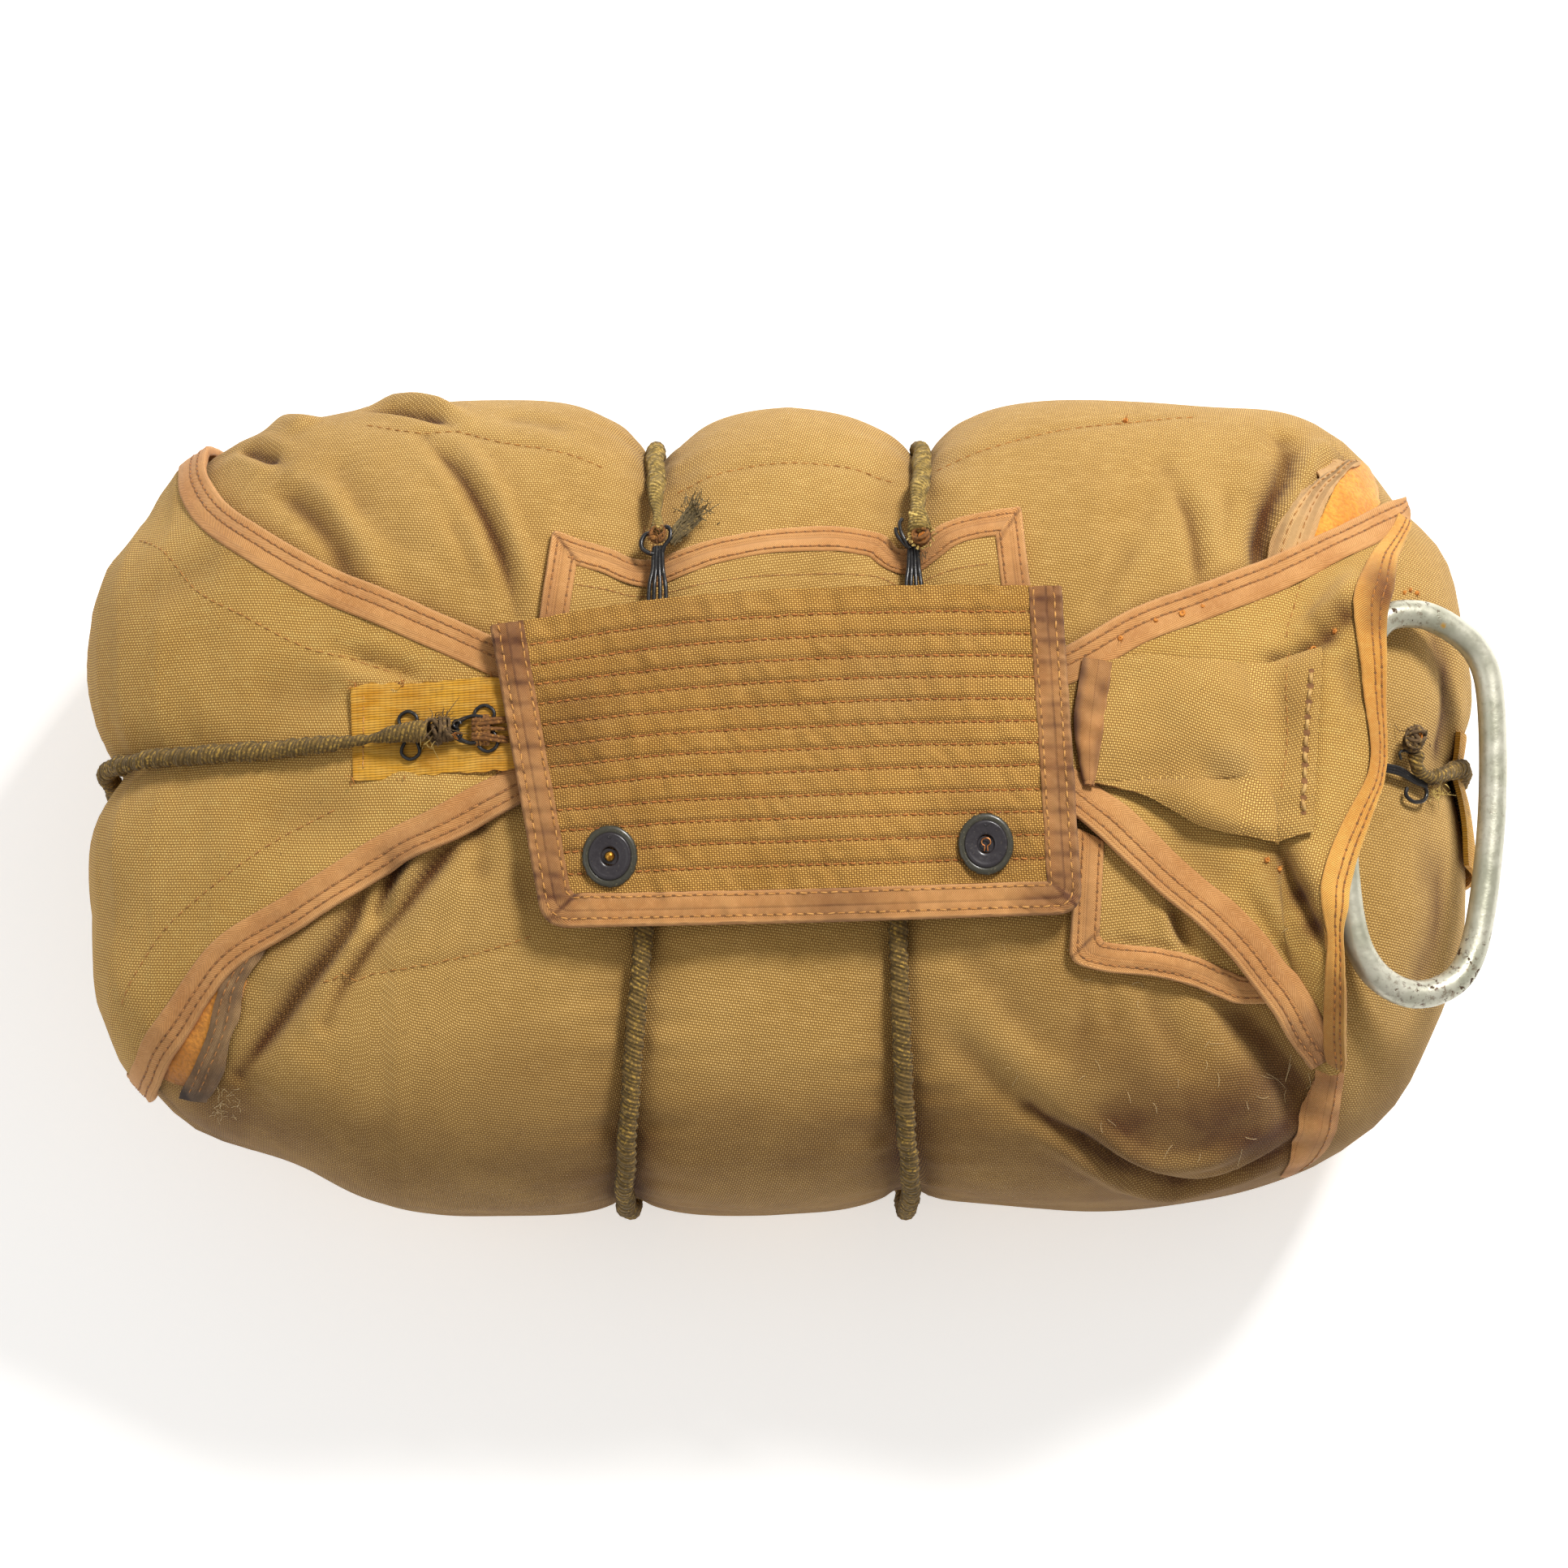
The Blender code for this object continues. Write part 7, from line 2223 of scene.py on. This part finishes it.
def make_tail(skin, rng):
    """The frayed tail of the left cross band: fibres that run along it and a tuft at its tip."""
    tail = Batch()
    route, radii = ended(skin, FRAYED_TAIL)
    line = smooth_path(np.concatenate([route, radii[:, None]], axis=1), 30)
    for _ in range(170):
        offset = rng.normal(size=2)
        offset *= min(1.0, 1.0 / max(np.linalg.norm(offset), 1e-6)) * rng.uniform(0.2, 1.0)
        first, last = rng.integers(0, 12), rng.integers(20, 30)
        part = line[first:last:2]
        _, sides, ups = route_frames(part[:, :3])
        twist = rng.uniform(-0.6, 0.6)
        angles = np.linspace(0, twist, len(part))
        across = offset[0] * np.cos(angles) - offset[1] * np.sin(angles)
        upward = offset[0] * np.sin(angles) + offset[1] * np.cos(angles)
        fibre = part[:, :3] + (sides * across[:, None] + ups * upward[:, None]) * part[:, 3:]
        fibre = fibre + rng.normal(size=fibre.shape) * 0.00012
        tail.tube(fibre, 0.00024 * rng.uniform(0.7, 1.3), columns=4)
    tip = skin.lifted(-22.4, 73.6, 5.0)
    tuft(tail, tip, (0.1, 1.0, 0.4), 120, 3.2, 3.6, 0.15, rng, 0.7)
    cotton = elastic_finish("frayed_cotton", (122, 104, 68), (160, 134, 80), 0.62)
    tail.piece("frayed_tail_fibres", cotton, "elastic_band", ["frayed_band_tail"])


# ---------------------------------------------------------------- webbing, corners, snaps and handle


# Frayed places on the hook tab's edges: x, y and direction.
HOOK_TAB_FRAYS = (
    (-117.6, 24.0, (-0.3, 1, 0.4)), (-105, 24.8, (0, 1, 0.4)), (-104.6, -1.4, (0, -1, 0.4)),
    (-118, -2.2, (-1, -1, 0.4)), (-78, -0.4, (0, -1, 0.4)), (-80, 26, (0, 1, 0.4)),
)
# Corner pieces: x, y, and z where they are on the side, of their first and second edge.
LEFT_LINING = ((-160, -54, -149, -57), (-168, -67, -153, -67), (-174, -76, -159, -77), (-176, -83, -167, -86))
LEFT_CORNER_TAPE = (
    (-149, -46, -141, -43), (-158, -62, -149, -57), (-161, -72, -151, -67), (-166, -81, -155, -76),
    (-171, -88, -163, -90),
)
RIGHT_LINING = (
    (149, 66, 161, 73), (155, 75, 170, 79.5), (159, 83, 176.5, 86), (163, 91, 178.5, 93), (167, 97, 176, 99),
)
RIGHT_CORNER_TAPE = (
    (139.5, 61, 151, 66), (142, 71.5, 155.5, 76.5), (147.5, 79.5, 159.5, 85), (155, 87, 165, 92),
    (162, 93, 170, 97),
)
STRIP_COLUMNS = 20
TAPE_TAIL = (
    (153, -78.5, 126, 161, -76, 123), (151.5, -92, 117, 161, -88, 115), (149, -100, 108, 160, -97, 104),
    (147, -106, 97, 157, -102.5, 95), (146, -108, 86, 151, -107, 86),
)


def make_webbing(skin, webbing):
    """The webbing tab under the left hooks, and the webbing round the right end."""
    upper = edge(skin, [row[0:2] for row in HOOK_TAB_ROWS], 90)
    lower = edge(skin, [row[2:4] for row in HOOK_TAB_ROWS], 90)
    lift = np.interp(np.linspace(0, 3, 90), range(4), [row[4] for row in HOOK_TAB_ROWS]) * MM
    grid = spanned(skin, upper, lower, 44)
    normals = grid_normals(grid)
    across = np.linspace(0, 1, 44)[None, :]
    channels = -0.00018 * sum(bell(across - place, 0.012) for place in (0.17, 0.36))
    rise = lift[:, None] + channels + 0.0003 * waves(grid, 0.02, 131) + WEBBING
    wavy = 0.0004 * waves(grid, 0.006, 132, (1.0, 0.1, 0.1))
    top = grid + normals * rise[..., None]
    top[..., 1] += wavy * (smoothstep(0.1, 0.0, across) + smoothstep(0.9, 1.0, across))
    dirt_and_shade = clamped_spots(grid, ((-72, 12, 9, 0.55), (-90, 11, 7, 0.35), (-103, 10, 8, 0.35), (-68, 25, 8, 0.6)))
    piece = sheet_mesh(
        "hook_tab_webbing", top, WEBBING, webbing, ["hook_tab"],
        {"dirt_and_shade": dirt_and_shade, "rub": dirt_and_shade * 0},
    )
    rng = np.random.default_rng(133)
    for x, y, way in HOOK_TAB_FRAYS:
        tuft(THREAD_ORANGE, skin.lifted(x, y, 3.4), way, 9, 1.8, 1.4, 0.16, rng, 0.8)
    line = np.array([skin.lifted(-115.2, y, 2.7 + WEBBING * 1000) for y in np.linspace(22.5, -0.5, 40)])
    facing = np.tile(skin.normal(-0.115, 0.011), (40, 1))
    stitch_row(THREAD_LIGHT, HOLE_SHADES, line, facing, pitch=0.0031, radius=0.00018)

    low, high = END_WEBBING_Z
    heights = np.linspace(low, high, 54)
    sides = [[skin.around((0.2, y * MM, z * MM)) for z in heights] for y in END_WEBBING_Y]
    grid = spanned(skin, *np.array(sides)[::-1], 34)
    chord = np.linspace(0, 1, 34)[None, :, None]
    grid = WEBBING_SPAN * (grid[:, :1] * (1 - chord) + grid[:, -1:] * chord) + (1 - WEBBING_SPAN) * grid
    normals = grid_normals(grid)
    rise = END_WEBBING_BASE + WEBBING + 0.0004 + 0.0002 * waves(grid, 0.02, 135)
    top = grid + normals * np.broadcast_to(rise, grid.shape[:2])[..., None]
    dirt_and_shade = clamped_spots(grid, ((190, 0, 10, 0.5),))
    piece = sheet_mesh(
        "end_webbing_strap", top, WEBBING, webbing, ["end_webbing"],
        {"dirt_and_shade": dirt_and_shade, "rub": dirt_and_shade * 0},
    )


def make_strip(name, node, skin, folded, edges, finish, seed, grime_and_shade, lift=0.0):
    """A small strip of cloth that follows the folds under it."""
    cloth = Cloth(folded, spanned(skin, *edges, STRIP_COLUMNS), rest=1)
    across = np.linspace(-1, 1, STRIP_COLUMNS)[None, :]
    cloth.height += lift + 0.0002 * waves(cloth.grid, 0.012, seed) + 0.0005 * (1 - across**2)
    # The spot at the low end of the left corner opening is painted shade in the gap.
    cloth.dirt_and_shade += clamped_spots(cloth.grid, ((-171, -89, 7, 1.0), (-147, -46, 6, 0.4)))
    cloth.dirt_and_shade += clamp(grime_and_shade + (0.10 + grime_and_shade) * waves(cloth.grid, 0.012, seed + 1))
    top = cloth.top(STRIP_FOOT + TAPE)
    piece = sheet_mesh(name, top, TAPE, finish, [node], cloth.looks())
    return top


def make_corner_pieces(skin, folded, felt, tape, grey, pale):
    """Lining and tape that show where the two end flaps stand off the pack's corners."""
    jobs = (
        ("left_corner_lining", LEFT_LINING, felt, "orange_twill", (34, 14), 440, 0.0, 0.0),
        ("left_corner_tape", LEFT_CORNER_TAPE, grey, "twill_tape", (52, 10), 470, 0.3, 0.0012),
        ("right_corner_lining", RIGHT_LINING, felt, "orange_twill", (36, 18), 600, 0.0, 0.0),
        ("right_corner_tape", RIGHT_CORNER_TAPE, pale, "twill_tape", (46, 13), 540, 0.0, 0.0012),
    )
    for k, (name, rows, finish, slot, flat, area, grime_and_shade, lift) in enumerate(jobs):
        edges = [edge(skin, [row[ends] for row in rows], 70) for ends in (slice(0, 2), slice(2, 4))]
        top = make_strip(
            name + "_cloth", name, skin, folded, edges, finish, 140 + k, grime_and_shade, lift
        )
        if name.endswith("tape"):
            for place in (0.28, 0.62):
                seam, facing = row_on(top, place)
                thread = THREAD_DARK if grime_and_shade else THREAD_SEAM
                stitch_row(thread, None, seam[2:-2], facing[2:-2], pitch=0.0030, radius=0.0002)
    edges = [edge(skin, [row[ends] for row in TAPE_TAIL], 70) for ends in (slice(0, 3), slice(3, 6))]
    top = make_strip(
        "lower_binding_tail_tape", "lower_binding_tail", skin, folded, edges, tape,
        150, 0.25,
    )
    seam, facing = row_on(top, 0.75)
    stitch_row(THREAD_DARK, HOLE_SHADES, seam[2:-2], facing[2:-2], pitch=0.0030, radius=0.0002)


# Knots of loose thread on the tapes and seams: x, y and radius.
BURRS = (
    (96.8, 38.1, 1.0), (106.9, 43.4, 0.9), (114.5, 45.6, 1.1), (120.4, 48.0, 0.8), (148.9, 60.4, 1.0),
    (144.7, 32.4, 1.0), (151.5, 35.6, 1.2), (157.5, 40.6, 0.7), (101.1, 107.4, 0.9), (78.5, 46.0, 0.8),
    (77.5, 27.5, 0.8), (180.5, 56.0, 0.5), (182.5, 57.0, 0.5), (184.5, 56.5, 0.5), (69.0, 74.5, 0.9),
    (137.5, -24.5, 0.8), (141.0, -27.0, 0.7), (-78.0, 41.5, 0.8),
)
# Loose pale fibres: x, y, spread, longest and how many.
LINT = (
    (-157, -90, 2.4, 2.6, 26), (-160, -91.5, 1.2, 2, 14), (122, -96, 14, 5, 14), (146, -84, 3, 8, 7),
    (104, -84, 22, 3, 16),
)


def make_burrs(surfaces):
    """Knots of loose thread, and lint caught on the canvas."""
    rng = np.random.default_rng(88)
    for x, y, radius in BURRS:
        spot = surfaces.above(x * MM, y * MM) + np.array([0.0, 0.0, 0.35 * radius * MM])
        wrapped_lump(KNOTS, spot, (0.3, 0.4, 1), 0.7 * radius, 0.5, 4, 0.30, rng, 0.8)
        tuft(KNOTS, spot, (0, 0.2, 1), 5, 1.4 * radius, 0.8, 0.11, rng, 1.2)
    for x, y, spread, longest, count in LINT:
        for _ in range(count):
            place = np.array([x, y]) + rng.normal(size=2) * spread
            turn, bend = rng.uniform(0, math.tau), rng.normal() * 0.8
            reach = np.linspace(0, longest * rng.uniform(0.4, 1.0), 7)
            turns = turn + bend * reach / longest
            plan = place + np.stack([reach * np.cos(turns), reach * np.sin(turns)], axis=-1)
            lifts = 0.3 + 0.5 * np.sin(np.linspace(0.2, 2.9, 7)) * rng.uniform(0.2, 1.0)
            route = np.array([surfaces.above(*(p * MM)) + (0, 0, h * MM) for p, h in zip(plan, lifts)])
            if np.ptp(route[:, 2]) < 0.012:
                LINT_FIBRES.tube(route, 0.00005, columns=3)


def lathe(profile, centre, normal, stretch=1.0, segments=72, chip=0.0):
    """Points and faces of a turned piece standing on a surface. profile is a loop of radius and height."""
    turn = np.array(Vector((0, 0, 1)).rotation_difference(Vector(normal)).to_matrix())
    angles = np.linspace(0, math.tau, segments, endpoint=False)
    profile = np.array(profile)
    outermost = profile[:, 0] > profile[:, 0].max() * 0.97
    radius = profile[None, :, 0] * (1.0 + chip * RANDOM.normal(size=segments)[:, None] * outermost[None, :])
    local = np.stack(
        [
            radius * np.cos(angles)[:, None],
            radius * stretch * np.sin(angles)[:, None],
            np.broadcast_to(profile[None, :, 1], (segments, len(profile))),
        ],
        axis=-1,
    )
    rings = local @ turn.T + np.asarray(centre)
    return tube_mesh(rings, closed=True)


SNAP_RADIUS = 0.0077
SNAP_FACE_RADIUS = SNAP_RADIUS - 0.0017
SNAP_HOLE = 0.0023
# The snaps are a little oval: their length over their width.
SNAP_STRETCH = 1.12
# Turned outlines: how far in from the rim's or the face's own radius, or out from the hole, and height.
RIM_OUTLINE = (
    (0, -0.0006), (0, 0.0002), (0.0003, 0.0006), (0.0010, 0.00075), (0.0019, 0.0006), (0.0021, 0.0002),
    (0.0021, -0.0006),
)
FACE_OUTLINE = (
    (0, -0.0004), (0, 0.0007), (0.0002, 0.00105), (0.0006, 0.00120), (0.0010, 0.00108), (0.0016, 0.00100),
)
HOLE_OUTLINE = ((0.0008, 0.00095), (0.0003, 0.00088), (0, 0.0006), (0, -0.0006))
# The dimple beside the hole: radius and height.
SNAP_DIMPLE = ((0.00075, -0.0002), (0.0007, 0.0001), (0.0004, 0.00022), (0.0003, 0.0001), (0.0002, -0.0002))


def make_snaps(skin, lacquer, rim_finish, brass, copper):
    """The two snap sockets on the protector: chipped rim, domed black face, ball stud or spring."""
    for side, place in SNAP_PLACES.items():
        here = skin.lifted(*place, 0.0)
        normal = unit(skin.lifted(*place, 1.0) - here)
        foot = here + normal * (PROTECTOR_BASE + PROTECTOR_THICKNESS + 0.0004)
        rim_profile = [(SNAP_RADIUS - inward, height) for inward, height in RIM_OUTLINE]
        batch = Batch()
        batch.take(*lathe(rim_profile, foot, normal, SNAP_STRETCH, chip=0.010))
        batch.piece(f"snap_rim_{side}", rim_finish, "black_lacquer")
        face_profile = [(SNAP_FACE_RADIUS - inward, height) for inward, height in FACE_OUTLINE]
        face_profile += [(SNAP_HOLE + outward, height) for outward, height in HOLE_OUTLINE]
        batch = Batch()
        batch.take(*lathe(face_profile, foot, normal, SNAP_STRETCH))
        up = unit(np.array([0.0, 1.0, 0.0]) - normal * normal[1])
        pin = foot + up * 0.0056 + normal * 0.0010
        batch.take(*lathe(SNAP_DIMPLE, pin, normal, segments=20))
        batch.piece(f"snap_face_{side}", lacquer, "black_lacquer", [f"snap_socket_{side}"])
        batch = Batch()
        disc(batch, foot + normal * 0.0001, normal, SNAP_HOLE * 1.25, columns=24)
        batch.piece(f"snap_well_{side}", lacquer, "black_lacquer")
        if side == "left":
            ball = Batch()
            turns = np.linspace(-0.2, math.pi / 2, 9)
            dome = [(0.00145 * math.cos(a) + 1e-5, 0.0006 + 0.00135 * math.sin(a)) for a in turns]
            ball.take(*lathe(dome + [(1e-5, 0.0002)], foot, normal, segments=28))
            ball.piece("snap_ball", brass, "brass", ["snap_stud"])
        else:
            spring = Batch()
            east = unit(np.cross(up, normal))
            gap = math.radians(20)
            angles = np.linspace(-math.pi / 2 + gap, 1.5 * math.pi - gap, 30)
            loop = [(1.25 * math.cos(a), 0.5 + 1.1 * math.sin(a)) for a in angles]
            loop = [(0.5, -2.0), (0.42, -1.2)] + loop + [(-0.42, -1.2), (-0.5, -2.0)]
            route = np.array([foot + (east * a + up * b) * MM + normal * 0.0011 for a, b in loop])
            wire(spring, smooth_path(route, 60), 0.00022, columns=8)
            spring.piece("snap_spring", copper, "brass")


HANDLE_WEAR = (
    (180, 50, 12, 1.0), (193, -54, 14, 0.9), (180, -60, 12, 0.7), (203, -10, 14, 0.4), (204, 20, 12, 0.35),
)


def make_handle(finish):
    """The ripcord handle: one bent rod of painted steel."""
    route = handle_line(260)
    rings = cord_rings(route, HANDLE_ROD_RADIUS, 28, closed=True)
    points, faces = tube_mesh(rings, closed=True)
    outer = smoothstep(0.0, 1.0, (rings[..., 0] - route[:, None, 0]) / HANDLE_ROD_RADIUS)
    dirt_and_shade = clamp(0.05 + clamped_spots(rings, HANDLE_WEAR) + 0.12 * outer)
    rub = clamped_spots(rings, ((186, -60, 16, 1.0), (172, 44, 8, 0.4), (206, -2, 10, 0.3)))
    yellow = clamped_spots(rings, ((190, 44.5, 1.5, 0.9),))
    add_mesh(
        "ripcord_handle_rod", points, faces, finish, ["ripcord_handle"],
        values={"dirt_and_shade": dirt_and_shade, "rub": rub, "yellow": yellow}, sharp=80,
    )


# ---------------------------------------------------------------- floor, light and camera


KEY_LIGHT = {"place": (0.60, 0.85, 1.25), "size": 0.34, "energy": 27.5, "colour": (1.0, 0.98, 0.95)}
FILL_LIGHT = {"place": (-0.9, -0.3, 1.3), "size": 1.2, "energy": 4.0, "colour": (0.97, 0.985, 1.0)}
LIGHT_TARGET = (0.0, 0.0, 0.09)
WORLD_COLOUR = (1.0, 0.97, 0.92, 1.0)
WORLD_LIGHT = 0.44
FLOOR_COLOUR = (0.95, 0.95, 0.95, 1.0)
FLOOR_GLOW = 0.40
FLOOR_REACH = 4
FLOOR_HEIGHT = -0.0005
CAMERA_PLACE = (0.0022, -0.1901, 1.4800)
CAMERA_TILT = 8
FOCAL_LENGTH = 110
SENSOR_WIDTH = 36


def aim(thing, target):
    """Point a light at a target."""
    way = Vector(target) - thing.location
    thing.rotation_euler = way.to_track_quat("-Z", "Y").to_euler()


def add_light(name, place, size, energy, colour):
    """A soft square light aimed at the pack."""
    data = bpy.data.lights.new(name, "AREA")
    data.energy = energy
    data.size = size
    data.color = colour
    lamp = bpy.data.objects.new(name, data)
    bpy.context.scene.collection.objects.link(lamp)
    lamp.location = place
    aim(lamp, LIGHT_TARGET)


def make_stage():
    """A pale floor, soft studio light and the camera."""
    scene = bpy.context.scene
    world = bpy.data.worlds.new("studio")
    world.use_nodes = True
    background = world.node_tree.nodes["Background"]
    background.inputs["Color"].default_value = WORLD_COLOUR
    background.inputs["Strength"].default_value = WORLD_LIGHT
    scene.world = world
    scene.view_settings.view_transform = "Standard"

    mesh = bpy.data.meshes.new("floor")
    corners = [
        (x * FLOOR_REACH, y * FLOOR_REACH, FLOOR_HEIGHT) for x, y in ((-1, -1), (1, -1), (1, 1), (-1, 1))
    ]
    mesh.from_pydata(corners, [], [(0, 1, 2, 3)])
    floor = bpy.data.objects.new("floor", mesh)
    scene.collection.objects.link(floor)
    f = Finish("floor", roughness=1.0)
    f.shader.inputs["Base Color"].default_value = FLOOR_COLOUR
    f.shader.inputs["Emission Color"].default_value = (1.0, 1.0, 1.0, 1.0)
    f.shader.inputs["Emission Strength"].default_value = FLOOR_GLOW
    mesh.materials.append(f.material)

    add_light("key", **KEY_LIGHT)
    add_light("fill", **FILL_LIGHT)

    lens = bpy.data.cameras.new("camera")
    lens.lens = FOCAL_LENGTH
    lens.sensor_width = SENSOR_WIDTH
    camera = bpy.data.objects.new("camera", lens)
    scene.collection.objects.link(camera)
    camera.location = CAMERA_PLACE
    camera.rotation_euler = (math.radians(CAMERA_TILT), 0.0, 0.0)
    scene.camera = camera


# ---------------------------------------------------------------- materials and pieces

CANVAS = canvas_finish("duck_canvas", (237, 197, 118), (221, 180, 102), (134, 95, 39), 8)
FLAP_CANVAS = canvas_finish("flap_duck", (246, 204, 117), (229, 186, 99), (136, 94, 36), -6)
POCKET = canvas_finish("pocket_duck", (241, 197, 112), (223, 179, 94), (124, 86, 34), 4)
QUILTED = canvas_finish(
    "quilted_duck", (240, 190, 100), (215, 165, 78), (112, 70, 20), 91, thread=(0.00070, 0.00060)
)
TWILL = twill_finish("tan_twill", (228, 170, 104), (208, 147, 84), (146, 92, 46))
GREY_TWILL = twill_finish("soiled_twill", (190, 150, 100), (160, 120, 76), (104, 74, 46), stain_and_shade=(66, 48, 36))
PALE_TWILL = twill_finish("pale_twill", (218, 176, 118), (204, 160, 104), (176, 132, 82), spine=0.0)
ORANGE = twill_finish("orange_twill_tape", (250, 186, 90), (230, 160, 68), (150, 96, 36), stain_and_shade=(116, 66, 32))
FELT = felt_finish("orange_lining", (232, 156, 56), (214, 136, 40), stain_and_shade=(90, 52, 20))
MUSTARD = webbing_finish("mustard_yarn")
ELASTIC = elastic_finish("band_cover", (134, 106, 54), (196, 158, 72), 0.60, 0.6)
ELASTIC_TOP = elastic_finish("band_cover_top", (160, 132, 66), (204, 172, 96), 0.56, 0.7)
LACQUER = lacquer_finish("black_wire")
SNAP_RIM = lacquer_finish("olive_rim", (58, 56, 46), (112, 104, 78))
SNAP_FACE = lacquer_finish("snap_black", (44, 40, 44), (74, 68, 64))
BRASS = metal_finish("tarnished_brass", (226, 170, 74), (150, 96, 34), 0.30)
COPPER = metal_finish("copper_wire", (214, 150, 96), (156, 92, 52), 0.32)
SILVER = silver_finish("silver_paint_worn")

# Cloth spans the bands' grooves the more, the stiffer it is.
skin = Skin(smooth_surface(0.0))
cloth_skin = Skin(smooth_surface(0.6), smooth_surface(0.0))
stiff_skin = Skin(smooth_surface(1.0))

fine = make_pack(skin, CANVAS)
folded = Skin(fine)
make_left_flap(skin, folded, FLAP_CANVAS, TWILL)
flap_top = make_right_flap(skin, folded, FLAP_CANVAS, TWILL, ORANGE)
make_pocket(flap_top, POCKET, TWILL)
make_upper_tab(cloth_skin, folded, CANVAS, TWILL)
make_lower_tab(skin, folded, CANVAS, TWILL)
make_protector(stiff_skin, QUILTED, TWILL)
make_corner_pieces(skin, folded, FELT, TWILL, GREY_TWILL, PALE_TWILL)
make_webbing(skin, MUSTARD)
make_cross_band(cloth_skin, "left", ELASTIC, ELASTIC_TOP, 111)
make_cross_band(cloth_skin, "right", ELASTIC, ELASTIC_TOP, 115)
make_end_band(cloth_skin, ELASTIC)
make_wires(cloth_skin, LACQUER)
make_knots(cloth_skin)
make_burrs(Skin(fine, grid_surface(flap_top)))
make_snaps(stiff_skin, SNAP_FACE, SNAP_RIM, BRASS, COPPER)
make_handle(SILVER)

for batch, name, finish_name, light, dark, slot in (
    (THREAD_LIGHT, "light_stitches", "light_thread", (212, 158, 88), (178, 122, 58), "twill_tape"),
    (THREAD_SEAM, "seam_stitches", "seam_thread", (186, 132, 66), (146, 98, 44), "canvas"),
    (THREAD_DARK, "dark_stitches", "dark_thread", (184, 128, 70), (150, 98, 52), "twill_tape"),
    (THREAD_ORANGE, "orange_stitches", "orange_thread", (186, 122, 52), (146, 92, 38), "orange_twill"),
    (THREAD_QUILT, "quilting_stitches", "quilting_thread", (190, 122, 56), (146, 86, 36), "quilted_canvas"),
    (FIBRES, "coarse_stitches", "coarse_thread", (206, 170, 104), (166, 126, 70), "canvas"),
    (KNOTS, "thread_knots", "knotted_thread", (214, 142, 58), (176, 106, 36), "orange_twill"),
    (LINT_FIBRES, "lint", "pale_lint", (236, 212, 166), (214, 184, 130), "canvas"),
    (HOLE_SHADES, "needle_hole_shades", "shadowed_thread", (138, 94, 54), (110, 74, 40), "twill_tape"),
):
    batch.piece(name, thread_finish(finish_name, light, dark), slot)
make_stage()
